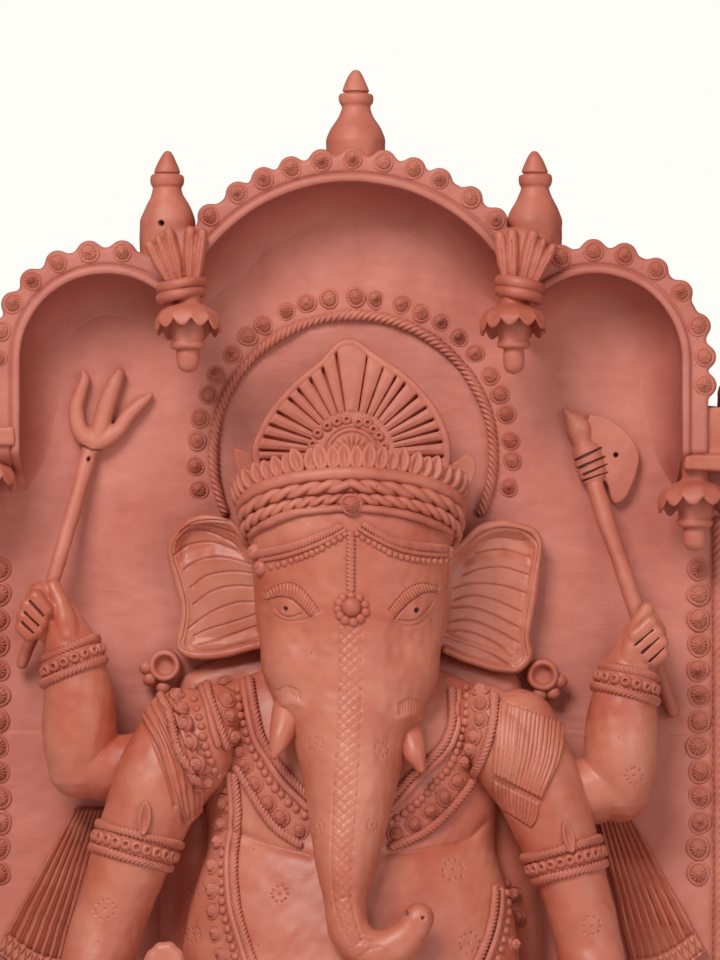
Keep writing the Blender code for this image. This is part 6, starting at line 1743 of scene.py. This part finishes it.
# Crown
CROWN_CENTRE = (0.0, 0.07, 0.5285)
CROWN_TILT = math.radians(30)
CROWN_UP = np.array((0.0, math.sin(CROWN_TILT), math.cos(CROWN_TILT)))
CROWN_FRONT = np.array((0.0, -math.cos(CROWN_TILT), math.sin(CROWN_TILT)))
CAP_PROFILE = [
    (-0.004, 0.077, 0.048), (0.0, 0.0805, 0.0512), (0.01, 0.082, 0.0525), (0.02, 0.0838, 0.054),
    (0.029, 0.0842, 0.0545), (0.0315, 0.079, 0.049), (0.041, 0.04, 0.026)]
CAP_HEM = [
    (251, 537), (262, 527), (290, 515), (320, 510.5), (352, 509), (385, 511.5), (420, 519.5), (446, 531),
    (459, 540)]
CAP_HEM_RADIUS = 0.0032
CAP_HEM_FLATNESS = 0.9
CAP_HEM_SINK = 0.2
CAP_SIDES = 128
# Bands of the cap: rise, half width and half depth of the oval, radius, and the pitch of the rope or none
CAP_BANDS = (
    (0.004, 0.0832, 0.0538, 0.0051, 0.0108), (0.0148, 0.0848, 0.0552, 0.0059, 0.016),
    (0.0262, 0.0856, 0.0558, 0.0056, None))
CAP_BAND_TURNS = np.linspace(math.radians(208), math.radians(-28), 620)
CAP_BAND_SIDES = 26
CAP_BAND_FLATNESS = 0.9
CAP_ROPE_STRANDS = 2
CAP_ROPE_TWIST = (0.6, 0.65)
PETAL_COUNT = 28
PETAL_STEPS = 400
PETAL_SIZE_STRAY = 0.11
PETAL_SWAY = 0.12
PETAL_SWEEP = math.radians(98)
PETAL_FOOT = (0.03, 0.085, 0.055)
PETAL_SIZE = 0.02
# A petal, in shares of its height
PETAL_SIDES = 28
PETAL_ROWS = 18
PETAL_HALF_WIDTH = 0.31
PETAL_ROUND = (0.92, 0.06)
PETAL_TIP = 0.04
PETAL_FULLNESS = 0.62
PETAL_THICKNESS = 0.17
PETAL_HOLLOW = 0.21
PETAL_HOLLOW_SPREAD = 0.42
FAN_HUB = (0.0008, 0.048, 0.594)
FAN_LEAN = math.radians(9)
FAN_OUTLINE = [
    (-30, 0.074), (0, 0.0779), (24.4, 0.0761), (45.8, 0.0757), (73.7, 0.08), (92, 0.0922),
    (110.4, 0.0778), (136.3, 0.0729), (163.6, 0.0755), (180, 0.0787), (210, 0.074)]
FAN_SLOTS = [
    -1.7, 7.8, 15.7, 23.3, 32.4, 42.1, 53.5, 60.7, 70.3, 81.2, 98.8, 108.7, 118.6, 129.3, 138.1, 150.1,
    159.9, 168.5, 177.6, 184.2]
FAN_SWEEP = (-30, 210)
FAN_ROWS = 540
FAN_COLUMNS = 90
FAN_START = 0.012
FAN_SLOT_FROM = 0.0335
# Slots, from their inner to their outer ends: half widths and depths, and how soon they reach them
SLOT_WIDTHS = (0.00045, 0.001)
SLOT_DEPTHS = (0.003, 0.0082)
SLOT_ENDS = (0.0012, 0.001)
RIB_RISE = 0.0014
RIB_SPREAD = 0.003
RIM_RISE = 0.001
RIM_STEP = 0.001
RIM_ROUND = 0.0016
ARC_RISE = 0.0018
ARC_SPREAD = 0.0011
HUB_RISE = 0.0016
HUB_FLUTES = 8
HUB_FLUTE_RISE = 0.0024
HUB_FLUTE_FULLNESS = 0.8
HUB_EYE = 0.005
FAN_RIM = 0.0058
FAN_THICKNESS = 0.0092
FAN_ARCS = (0.0224, 0.0186)
FAN_HUB_RADIUS = 0.0164
PELLETS = [
    (313, 445), (317.5, 434), (327, 426.5), (337, 422), (347, 420), (358.5, 423), (368, 423.5),
    (373.5, 430), (379, 436.5), (384, 447)]
PELLET_RADIUS = 0.0044
PELLET_STRAY = 0.3
CROWN_BOSS = (351.5, 504.5)
CROWN_BOSS_RADIUS = 0.0088
CROWN_BOSS_LIFT = 0.0066
SIDE_LEAVES = {
    "crown_leaf_left": [
        (233, 447), (241, 449), (251, 453), (260, 456), (262, 492), (252, 503), (245, 497), (240.5, 487),
        (237, 472), (234, 459)],
    "crown_leaf_right": [
        (454, 462), (461, 457), (467, 454), (473, 456.5), (476, 464), (475.5, 473), (471, 484), (465, 496),
        (452, 500), (446, 480), (447, 466)]}
SIDE_LEAF_DEPTHS = (0.04, 0.05)
SIDE_LEAF_STEP = 0.001
PETAL_FACING = 0.9
PETAL_SPLAY = 0.34


def oval(rise, half_width, half_depth, turns):
    """Places on the crown's oval at a rise, and the outward directions there."""
    across = np.cos(turns)[:, None]
    forward = np.sin(turns)[:, None]
    middle = at(*CROWN_CENTRE) + CROWN_UP * rise
    places = middle + SIDEWAYS * (half_width * across) + CROWN_FRONT * (half_depth * forward)
    return places, unit(SIDEWAYS * (across / half_width) + CROWN_FRONT * (forward / half_depth))


def fan_shape():
    """The ray fan: deep slots sunk between rounded ribs, a plain rim, arcs and a fluted half-rosette."""
    angles = np.radians(np.linspace(*FAN_SWEEP, FAN_ROWS))[:, None]
    outline = eased(FAN_OUTLINE, per_span=10)
    reach = np.interp(np.degrees(angles), outline[:, 0], outline[:, 1])
    radius = np.linspace(FAN_START, 1.0, FAN_COLUMNS)[None, :] * reach
    gap = np.abs(angles - np.radians(FAN_SLOTS)[None, :]).min(axis=1, keepdims=True) * radius
    begun = np.clip((radius - FAN_SLOT_FROM) / SLOT_ENDS[0], 0, 1)
    rayed = begun * np.clip((reach - FAN_RIM - radius) / SLOT_ENDS[1], 0, 1)
    outer = np.clip((radius - FAN_SLOT_FROM) / (reach - FAN_RIM - FAN_SLOT_FROM), 0, 1)
    wide = SLOT_WIDTHS[0] + (SLOT_WIDTHS[1] - SLOT_WIDTHS[0]) * outer ** 2
    deep = SLOT_DEPTHS[0] + (SLOT_DEPTHS[1] - SLOT_DEPTHS[0]) * outer
    rib = RIB_RISE * (1 - np.exp(-(gap / RIB_SPREAD) ** 2))
    relief = rayed * (rib - deep * np.exp(-(gap / wide) ** 4))
    relief = relief + RIM_RISE * np.clip((radius - reach + FAN_RIM) / RIM_STEP, 0, 1)
    relief = relief - RIM_ROUND * np.clip((radius - reach + RIM_ROUND) / RIM_ROUND, 0, 1) ** 2
    for ring in FAN_ARCS:
        relief = relief + ARC_RISE * np.exp(-((radius - ring) / ARC_SPREAD) ** 2)
    hub = np.sqrt(np.clip(1 - radius / FAN_HUB_RADIUS, 0, 1))
    flutes = np.abs(np.cos(angles * HUB_FLUTES)) ** HUB_FLUTE_FULLNESS * np.clip(radius / HUB_EYE, 0, 1)
    relief = relief + HUB_RISE * hub + HUB_FLUTE_RISE * flutes * hub
    front = FAN_THICKNESS / 2 + relief
    climb = radius * np.sin(angles)
    loops = []
    for out in (front, np.full(front.shape, -FAN_THICKNESS / 2)):
        depth = FAN_HUB[1] + out * math.cos(FAN_LEAN) - climb * math.sin(FAN_LEAN)
        height = FAN_HUB[2] + climb * math.cos(FAN_LEAN) + out * math.sin(FAN_LEAN)
        loops.append(at(FAN_HUB[0] + radius * np.cos(angles), depth, height))
    return skinned(np.concatenate([loops[0], loops[1][:, ::-1]], axis=1))


def petal():
    """Upright lens-shaped petal of height one, hollow down the middle with raised edges."""
    turns = np.linspace(0.0, math.tau, PETAL_SIDES, endpoint=False)
    across = np.cos(turns)
    forward = np.sin(turns)
    rows = []
    for climb in np.linspace(0.0, 1.0, PETAL_ROWS):
        swell = math.sin(math.pi * min(climb * PETAL_ROUND[0] + PETAL_ROUND[1], 1.0))
        width = max(swell, PETAL_TIP) ** PETAL_FULLNESS
        out = PETAL_THICKNESS * forward * math.sqrt(width)
        hollow = PETAL_HOLLOW * np.exp(-(across / PETAL_HOLLOW_SPREAD) ** 2) * math.sin(math.pi * climb)
        out = out - hollow * (forward > 0)
        rows.append(np.stack([PETAL_HALF_WIDTH * width * across, np.full(PETAL_SIDES, climb), out], axis=1))
    return skinned(np.array(rows))


def mirrored_twist(pitch, middle):
    """Rope mark whose strands lean the other way beyond a middle length."""
    plain = twist(pitch, CAP_ROPE_STRANDS, -1, *CAP_ROPE_TWIST)

    def mark(along, turn):
        return np.where(along < middle, plain(along, turn), plain(2 * middle - along, turn))
    return mark


def crown_cap(head_piece):
    """Cap with rope bands, a hem on the brow and the boss before them."""
    turns = np.linspace(0.0, math.tau, CAP_SIDES, endpoint=False)
    shapes = [skinned(np.array([oval(*row, turns)[0] for row in eased(CAP_PROFILE, per_span=6)]))]
    for rise, width, deep, radius, pitch in CAP_BANDS:
        places, outward = oval(rise, width, deep, CAP_BAND_TURNS)
        middle = np.linalg.norm(np.diff(places, axis=0), axis=1).sum() / 2
        rope = mirrored_twist(pitch, middle) if pitch else None
        shapes.append(coil(places, radius, CAP_BAND_SIDES, outward, CAP_BAND_FLATNESS, rope))
    shapes.append(laid([felt(head_piece)], CAP_HEM, CAP_HEM_RADIUS, CAP_HEM_FLATNESS, sink=CAP_HEM_SINK))
    cap = shown("worked_crown_cap", "ornament", joined(shapes), "crown_cap")
    places = touched([felt(cap)], [CROWN_BOSS])[0] + VIEWER * CROWN_BOSS_LIFT
    boss = stamped(BOLD_ROSETTES, places, [VIEWER], CROWN_BOSS_RADIUS)
    shown("worked_crown_boss", "ornament", boss, "crown_boss")


def crown_petals():
    """Row of petals on the cap, splayed at the sides."""
    turns = np.linspace(math.pi / 2 - PETAL_SWEEP, math.pi / 2 + PETAL_SWEEP, PETAL_STEPS)
    spans = np.linalg.norm(np.diff(oval(*PETAL_FOOT, turns)[0], axis=0), axis=1)
    walked = np.concatenate([[0.0], np.cumsum(spans)])
    spots = np.interp(np.linspace(0.0, walked[-1], PETAL_COUNT), walked, turns)
    places, outward = oval(*PETAL_FOOT, spots)
    sizes = PETAL_SIZE * (1 + PETAL_SIZE_STRAY * CHANCE.uniform(-1, 1, PETAL_COUNT))
    sway = CHANCE.uniform(-PETAL_SWAY, PETAL_SWAY, PETAL_COUNT) - PETAL_SPLAY * np.cos(spots)
    outward = unit(outward + VIEWER * PETAL_FACING)
    row = stamped([petal()], places, outward, sizes, sway, up=CROWN_UP)
    shown("worked_crown_petals", "ornament", row, "crown_petals", wobble=0.7)


def crown_fan():
    """The ray fan with its pricked pellets, and the leaves beside it."""
    fan = shown("worked_crown_fan", "ornament", fan_shape(), "crown_fan", wobble=0.7)
    pellets = scattered(HOLED_BEADS, [felt(fan)], PELLETS, PELLET_RADIUS, PELLET_STRAY)
    shown("crown_fan_pellets", "ornament", pellets, wobble=0.5)
    for name, pixels in SIDE_LEAVES.items():
        closed = eased(pixels + pixels[:1], per_span=6)[:-1]
        slab = plate(outlined(closed, SIDE_LEAF_DEPTHS[1]), *SIDE_LEAF_DEPTHS, SIDE_LEAF_STEP)
        shown("worked_" + name, "ornament", pressed(name, [slab]), name)


# Jewellery, in pixels of the photograph unless named otherwise
LEFT_SWAG_COMB = [(343, 525), (322, 535.5), (300, 544.5), (277, 551), (256, 555)]
LEFT_SWAG_ROLL = [(346.5, 529), (328, 539.5), (306, 549), (284, 556), (260, 561)]
LEFT_SWAG_BEADS = [
    (345, 534), (339.8, 537.6), (334, 540.8), (328, 544.2), (322, 548), (317, 551), (312, 553.3),
    (306.7, 555.5), (302, 557.2), (297, 558.8), (291, 561), (284.5, 563), (278, 565), (271.5, 567)]
RIGHT_SWAG_COMB = [(361.5, 523), (379, 534), (394, 541.5), (416, 546.5), (446, 549)]
RIGHT_SWAG_ROLL = [(357, 527.5), (372, 536.5), (389.6, 545), (408.6, 551.5), (430.6, 554.5), (452, 554.5)]
RIGHT_SWAG_BEADS = [
    (357.4, 534), (362.5, 537.6), (368.4, 541.3), (374, 544.4), (379.4, 547.3), (384.5, 550),
    (389.6, 552.5), (395.5, 554.7), (401.4, 556.8), (407, 557.8), (413, 558.8), (418, 559.6),
    (423, 560.4), (428, 561), (434, 561), (439.5, 561), (445.4, 560.3), (451, 559)]
SWAG_KNOBS = [(255, 552), (261, 568), (448.5, 553)]
BROW_STRIP = [(351, 530), (351, 560), (351, 593)]
BROW_FLOWER = (351.5, 607)
BROW_FLOWER_BEADS = [
    (342.7, 598), (339, 602.9), (337.6, 609), (340.2, 615.6), (345.3, 620), (353, 621.6), (360.5, 618.6),
    (365.2, 612.4), (364.4, 604.3), (359, 598), (351, 595.5)]
LEFT_OUTER_ROPE = [(160, 694), (168, 712), (176, 738), (184, 760), (193, 776), (202, 790)]
LEFT_OUTER_ROSETTES = [(178, 695), (182, 708), (185.5, 724), (191, 743), (197, 764), (207, 782)]
LEFT_OUTER_BEADS = [
    (193, 688), (194, 699), (197, 709), (199, 717.5), (201, 726), (203, 737), (205, 746), (207.5, 754),
    (211, 762), (214.5, 770), (219, 776)]
LEFT_OUTER_ROLL = [(200, 683), (206.5, 704), (212.3, 729), (218, 748)]
LEFT_OUTER_EDGE = [(206, 682), (213, 707), (220, 731), (226, 750)]
LEFT_INNER_ROSETTES = [
    (225.7, 684), (226.5, 699), (229, 717), (233.3, 737), (239, 752), (245, 766), (255.4, 784),
    (268, 803), (280.5, 817.5), (300.5, 831)]
LEFT_INNER_BEADS = [
    (238, 690), (238.5, 698.5), (239.5, 707), (240.5, 715.5), (243, 724), (246, 733), (248.5, 741),
    (252, 749), (256, 757), (260.3, 765), (264.5, 773), (269.5, 780.5), (275, 788), (281.2, 794.5),
    (288.8, 802.5), (296, 809), (304.5, 815)]
LEFT_INNER_ROLL = [(243.5, 681), (247, 707), (254.4, 738), (267.8, 761), (284, 784), (310, 810)]
LEFT_INNER_EDGE = [(250, 679), (254.4, 706), (261, 735), (272, 755), (289, 776), (311, 800)]
LEFT_LOWER_ROPE = [(236, 765), (246, 783), (260, 806), (277.4, 828.4), (303, 847)]
RIGHT_ROSETTES_ROW = [
    (480, 690), (480.5, 704), (480, 720), (475, 736), (470.5, 749), (465, 762), (457, 781), (444, 797),
    (430, 811), (414, 824), (395, 834)]
RIGHT_BEADS_ROW = [
    (466, 688), (467, 696.5), (467, 705), (466, 713.5), (465, 722), (463.3, 730), (461, 738), (459, 745),
    (456.5, 752), (453.5, 758.5), (450, 765), (446.5, 771), (441.5, 776.5), (436, 781.5), (431.5, 787),
    (427, 792.5), (422, 798), (416.5, 803), (410.5, 808), (404, 813), (397, 818.5), (390, 822.5)]
RIGHT_INNER_ROLL = [(458, 690), (459, 716), (455, 735), (446, 752), (424, 774), (406, 793), (389, 811)]
RIGHT_INNER_EDGE = [(451, 688), (452, 716), (448, 734), (439, 750), (418, 770), (401, 787), (388, 801)]
RIGHT_OUTER_ROPE = [
    (494, 694), (494, 716), (489, 742), (481, 763), (466.5, 789), (442, 818), (417, 837), (388, 848)]
GARLAND_ROSETTES = [
    (222, 803), (221, 823), (219, 842), (213, 866), (212, 890), (213, 911), (216, 934), (222, 956),
    (231, 984), (241, 1010), (254, 1036), (272, 1062), (296, 1084), (326, 1098), (360, 1103), (394, 1098),
    (424, 1085), (451, 1063), (474, 1036), (492, 1005), (505, 974), (513, 945), (516, 918), (513, 894)]
GARLAND_BEADS = [
    (226, 790), (231, 832), (223, 851), (221.5, 878), (223, 907), (227.5, 928), (233, 948), (242, 975),
    (252, 1000), (266, 1028), (287, 1053), (314, 1072), (345, 1082), (378, 1081), (408, 1072),
    (436, 1052), (460, 1026), (480, 996), (495, 966), (504, 936), (508, 910), (506, 884)]
GARLAND_ROLL = [
    (229.5, 771), (232.4, 805), (231.4, 832), (228.6, 853), (228.6, 880), (231.4, 909), (238, 934),
    (246, 960), (258, 992), (274, 1020), (296, 1043), (324, 1060), (352, 1067), (384, 1065), (412, 1053),
    (438, 1032), (461, 1004), (479, 975), (492, 945), (499, 915), (500, 888)]
GARLAND_EDGE = [
    (235, 773), (238, 805), (237.5, 832), (235, 861), (235, 884), (238, 909), (244, 932), (252, 957),
    (264, 988), (280, 1014), (301, 1035), (327, 1051), (353, 1058), (382, 1056), (408, 1045), (432, 1025),
    (454, 998), (472, 970), (485, 941), (492, 913), (494, 886)]
# Combed bands, rolls and beads of the brow: radii, flatness, pitch and slant of the comb
SWAG_COMB = (0.0038, 0.6)
SWAG_COMB_MARK = (0.0026, 3.0)
SWAG_ROLL = (0.0019, 0.8)
SWAG_BEAD = 0.0028
SWAG_KNOB = 0.0062
STRIP_COMB = (0.0036, 0.55)
STRIP_COMB_MARK = (0.0032, 2.2)
COMB_SIDES = 18
COMB_STEP = 0.35
FLOWER_MIDDLE = 0.0078
FLOWER_BEAD = 0.0037
BEAD_STRAY = 0.3
# Ropes, rolls, rosettes and beads of the neck
NECK_STRANDS = (0.0034, 4, 1, 0.5, 0.8)
NECK_ROPE_FLATNESS = 0.8
NECK_ROPE_STEP = 0.5
NECK_ROLL_FLATNESS = 0.85
NECK_STRAY = 0.4
GARLAND_BEAD_PITCH = 9.5
NECK_ROSETTE = 0.0073
NECK_BEAD = 0.0034
NECK_ROPE = 0.0039
NECK_ROLL = 0.0029
EARRINGS = {
    "earring_left": ((165, 665.5), [(146, 668), (150, 679), (163.5, 688)]),
    "earring_right": ((542.5, 675), [(560, 681.5), (553, 693), (539.5, 694)])}
EARRING_RADIUS = 0.013
EARRING_DEPTH = 0.01
EARRING_BEAD = 0.0056
EARRING_BEAD_LIFT = 0.003
# Dish of an earring and rolled knob, in shares of their radius
DISH_RIM = 0.6
DISH_RIM_PLACE = 0.78
DISH_RIM_WIDTH = 0.24
DISH_TILT = 0.14
DISH_TILT_TURN = 0.8
DISH_FLOOR = 0.06
KNOB_RISE = 0.8
KNOB_STROKES = 11
KNOB_STROKE_RISE = 0.07

# Bands round the arms: middle (x, depth, height), way along the arm, half spread of the rows, the arm
ARM_BANDS = {
    "wrist_band_left": ((-0.2196, 0.0435, 0.4318), (-0.0098, -0.002, 0.0235), 0.0088, "rear", 0),
    "wrist_band_right": ((0.2186, 0.0435, 0.4138), (0.0058, -0.002, 0.0235), 0.0088, "rear", 1),
    "armlet_left": ((-0.1682, 0.0702, 0.288), (0.007, -0.0025, 0.026), 0.0096, "front", 0),
    "armlet_right": ((0.1682, 0.0702, 0.277), (-0.007, -0.0025, 0.027), 0.0096, "front", 1),
    }
BAND_BEADS = {"rear": 18, "front": 25}
BAND_BEAD_RADIUS = {"rear": 0.0048, "front": 0.0051}
BAND_STEPS = 520
BAND_FEELER = 0.075
BAND_MISSED = 0.03
BAND_BULGE = 1.12
BAND_ROLL = 0.0038
BAND_ROLL_LIFT = 0.001
BAND_ROLL_FLATNESS = 0.8
BAND_COMB = (0.0033, 3.0)
BAND_FLOOR = 0.0066
BAND_FLOOR_FLATNESS = 0.26
BAND_BEAD_LIFT = 0.0012
BAND_BEAD_STRAY = 0.07
LEAF_LIFT = 0.003
LEAF_SLIMNESS = (0.66, 1.0, 0.9)
ARMLET_LEAVES = {"armlet_left": ((143, 834), -0.1, 0.027), "armlet_right": ((571, 852), 0.22, 0.025)}


def dish_height(share, turn):
    """Ear ornament: a thick pinched rim round a hollow."""
    rim = DISH_RIM * math.exp(-((share - DISH_RIM_PLACE) / DISH_RIM_WIDTH) ** 4)
    return rim * (1 + DISH_TILT * np.cos(turn + DISH_TILT_TURN)) + DISH_FLOOR


def knob_height(share, turn):
    """Rolled knob with strokes drawn to its middle."""
    strokes = KNOB_STROKE_RISE * math.sin(math.pi * share) * np.cos(turn * KNOB_STROKES)
    return KNOB_RISE * math.sqrt(max(1.0 - share ** 2, 0.0)) + strokes


def wrapped(surface, middle, way, turns):
    """Places and outward directions round an arm, met from outside towards its middle line."""
    first = unit(np.cross(way, VIEWER))
    second = np.cross(way, first)
    outward = first * np.cos(turns)[:, None] + second * np.sin(turns)[:, None]
    reach = []
    for out in outward:
        place = surface.ray_cast(Vector(middle + out * BAND_FEELER), Vector(-out))[0]
        reach.append(BAND_MISSED if place is None else np.linalg.norm(np.array(place) - middle))
    limit = np.median(reach) * BAND_BULGE
    return middle + outward * np.minimum(reach, limit)[:, None], outward


def arm_bands(forearms, arms):
    """Wrist bands and armlets: pricked beads between two combed rolls."""
    carriers = {"rear": [felt(piece) for piece in forearms], "front": [felt(piece) for piece in arms]}
    turns = np.linspace(0.0, math.tau, BAND_STEPS)
    for name, (middle, (x, depth, height), spread, kind, index) in ARM_BANDS.items():
        surface = carriers[kind][index]
        way = unit(np.array((x, -depth, height)))
        centre = at(*middle)
        shapes = []
        for side in (-1, 1):
            places, outward = wrapped(surface, centre + way * spread * side, way, turns)
            strokes = comb(BAND_COMB[0], -side * BAND_COMB[1])
            path = places + outward * BAND_ROLL_LIFT
            shapes.append(coil(path, BAND_ROLL, COMB_SIDES, outward, BAND_ROLL_FLATNESS, strokes))
        places, outward = wrapped(surface, centre, way, turns)
        shapes.append(coil(places[::3], BAND_FLOOR, COMB_SIDES, outward[::3], BAND_FLOOR_FLATNESS))
        spots = np.linspace(0.0, math.tau, BAND_BEADS[kind], endpoint=False)
        places, outward = wrapped(surface, centre, way, spots)
        sizes = BAND_BEAD_RADIUS[kind] * (1 + BAND_BEAD_STRAY * CHANCE.uniform(-1, 1, len(places)))
        shapes.append(stamped(HOLED_BEADS, places + outward * BAND_BEAD_LIFT, outward, sizes))
        if name in ARMLET_LEAVES:
            pixel, lean, size = ARMLET_LEAVES[name]
            places, outward = touched([surface], [pixel])
            points, faces = petal()
            slim = (points * LEAF_SLIMNESS, faces)
            shapes.append(stamped([slim], places + outward * LEAF_LIFT, outward, size, np.array([lean])))
        shown("worked_" + name, "ornament", joined(shapes), name, wobble=0.5)


def brow_jewels(head_piece):
    """Bead swags from the crown, the combed strip down the brow and the flower between the eyes."""
    face = [felt(head_piece)]
    pitch, slant = SWAG_COMB_MARK
    combed = ((LEFT_SWAG_COMB, SWAG_COMB, comb(pitch, slant)),
              (RIGHT_SWAG_COMB, SWAG_COMB, comb(pitch, -slant)),
              (BROW_STRIP, STRIP_COMB, comb(*STRIP_COMB_MARK)))
    shapes = []
    for line, size, mark in combed:
        shapes.append(laid(face, line, *size, mark, sides=COMB_SIDES, step=COMB_STEP))
    shapes += [laid(face, line, *SWAG_ROLL) for line in (LEFT_SWAG_ROLL, RIGHT_SWAG_ROLL)]
    for row in (LEFT_SWAG_BEADS, RIGHT_SWAG_BEADS):
        shapes.append(scattered(BEADS, face, row, SWAG_BEAD, BEAD_STRAY))
    shapes.append(scattered([domed(knob_height, around=44, rings=9)], face, SWAG_KNOBS, SWAG_KNOB))
    shown("brow_swags", "ornament", joined(shapes), wobble=0.4)
    flower = [scattered(BEADS, face, [BROW_FLOWER], FLOWER_MIDDLE),
              scattered(BEADS, face, BROW_FLOWER_BEADS, FLOWER_BEAD, BEAD_STRAY)]
    shown("worked_brow_flower", "ornament", joined(flower), "brow_flower", wobble=0.4)


def neck_roped(surfaces, line):
    """Twisted rope of the neck laid along a line."""
    rope = {"mark": twist(*NECK_STRANDS), "sides": COMB_SIDES, "step": NECK_ROPE_STEP}
    return laid(surfaces, line, NECK_ROPE, NECK_ROPE_FLATNESS, **rope)


def neck_jewels(body, arms):
    """Necklace strands over the chest and shoulders, and the long garland round the belly."""
    chest = [felt(body), *[felt(arm) for arm in arms]]
    belly = chest[:1]
    ropes = (LEFT_OUTER_ROPE, LEFT_OUTER_EDGE, LEFT_INNER_EDGE, LEFT_LOWER_ROPE, RIGHT_INNER_EDGE,
             RIGHT_OUTER_ROPE)
    shapes = [neck_roped(chest, line) for line in ropes]
    for line in (LEFT_OUTER_ROLL, LEFT_INNER_ROLL, RIGHT_INNER_ROLL):
        shapes.append(laid(chest, line, NECK_ROLL, NECK_ROLL_FLATNESS))
    for row in (LEFT_OUTER_ROSETTES, LEFT_INNER_ROSETTES, RIGHT_ROSETTES_ROW):
        shapes.append(scattered(BOLD_ROSETTES, chest, row, NECK_ROSETTE, NECK_STRAY))
    for row in (LEFT_OUTER_BEADS, LEFT_INNER_BEADS, RIGHT_BEADS_ROW):
        shapes.append(scattered(BEADS, chest, row, NECK_BEAD, NECK_STRAY))
    shown("worked_necklace", "ornament", joined(shapes), "necklace", wobble=0.4)
    shapes = [neck_roped(belly, GARLAND_EDGE), laid(belly, GARLAND_ROLL, NECK_ROLL, NECK_ROLL_FLATNESS),
              scattered(BOLD_ROSETTES, belly, GARLAND_ROSETTES, NECK_ROSETTE, NECK_STRAY),
              rowed(BEADS, belly, GARLAND_BEADS, GARLAND_BEAD_PITCH, NECK_BEAD)]
    shown("worked_garland", "ornament", joined(shapes), "garland", wobble=0.4)


def earrings():
    """Dished ear ornaments with a cluster of beads."""
    dish = [domed(dish_height, around=48, rings=14)]
    for name, (middle, beads) in EARRINGS.items():
        places = np.array([at(*in_sight(pixel, EARRING_DEPTH)) for pixel in [middle, *beads]])
        outward = np.broadcast_to(VIEWER, places.shape)
        shapes = [stamped(dish, places[:1], outward[:1], EARRING_RADIUS),
                  stamped(BEADS, places[1:] + VIEWER * EARRING_BEAD_LIFT, outward[1:], EARRING_BEAD)]
        shown("worked_" + name, "ornament", joined(shapes), name, wobble=0.6)


# Room: a window on the upper left, a weak fill on the right (place, size, power) and pale light all round
LIGHTS = (("window light", (-1.0, -2.3, 2.75), 1.4, 90.0), ("fill light", (2.0, -2.6, 1.2), 1.8, 24.0))
LIT_POINT = (0.0, 0.0, 0.6)
AMBIENT = 0.23
AMBIENT_COLOUR = "#fff6ef"
WALL_COLOUR = "#fefdf8"
FLOOR_COLOUR = "#f1efec"
FLOOR_ROUGHNESS = 0.9
FLOOR_REACH = 3.0


def room_light():
    """White room seen by the camera, with weaker light all round and two soft lights."""
    scene = bpy.context.scene
    world = bpy.data.worlds.new("white room")
    scene.world = world
    world.use_nodes = True
    tree = world.node_tree
    tree.nodes.clear()
    sockets = {"Color": colour(WALL_COLOUR), "Strength": 1.0}
    seen = added(tree, "ShaderNodeBackground", sockets).outputs[0]
    sockets = {"Color": colour(AMBIENT_COLOUR), "Strength": AMBIENT}
    ambient = added(tree, "ShaderNodeBackground", sockets).outputs[0]
    ray = added(tree, "ShaderNodeLightPath").outputs["Is Camera Ray"]
    mixed = added(tree, "ShaderNodeMixShader", {0: ray, 1: ambient, 2: seen}).outputs[0]
    added(tree, "ShaderNodeOutputWorld", {"Surface": mixed})
    for name, place, size, power in LIGHTS:
        lamp = bpy.data.lights.new(name, "AREA")
        lamp.size = size
        lamp.energy = power
        holder = bpy.data.objects.new(name, lamp)
        holder.location = place
        holder.rotation_euler = (Vector(LIT_POINT) - Vector(place)).to_track_quat("-Z", "Y").to_euler()
        scene.collection.objects.link(holder)


def floor_and_camera():
    """Pale floor that the plinth stands on, and the photograph's camera."""
    scene = bpy.context.scene
    scene.view_settings.view_transform = "Standard"
    corners = np.array(((-1, -1, 0), (1, -1, 0), (1, 1, 0), (-1, 1, 0))) * FLOOR_REACH
    floor = bpy.data.objects.new("floor", mesh_of("floor", (corners, [(0, 1, 2, 3)])))
    # Matte chalky floor: keeps the eye on the clay and throws pale light up under it
    chalk = bpy.data.materials.new("pale floor")
    chalk.use_nodes = True
    surface = chalk.node_tree.nodes["Principled BSDF"]
    surface.inputs["Base Color"].default_value = colour(FLOOR_COLOUR)
    surface.inputs["Roughness"].default_value = FLOOR_ROUGHNESS
    floor.data.materials.append(chalk)
    scene.collection.objects.link(floor)
    lens = bpy.data.cameras.new("camera")
    lens.sensor_fit = "VERTICAL"
    lens.sensor_height = SENSOR_HEIGHT
    lens.lens = LENS
    camera = bpy.data.objects.new("camera", lens)
    camera.location = EYE
    camera.rotation_euler = (math.pi / 2, 0.0, 0.0)
    scene.collection.objects.link(camera)
    scene.camera = camera


back_panel()
niche_arches()
finials()
brackets()
pendants()
halo()
borders()
plinth_slabs()
capitals()
head_piece = head()
ears()
tusks()
body = torso()
arms = (blessing_arm(), offering_arm())
forearms = rear_arms()
legs()
trident()
axe()
scarf_ends()
crown_cap(head_piece)
crown_petals()
crown_fan()
earrings()
arm_bands(forearms, arms)
brow_jewels(head_piece)
neck_jewels(body, arms)
room_light()
floor_and_camera()
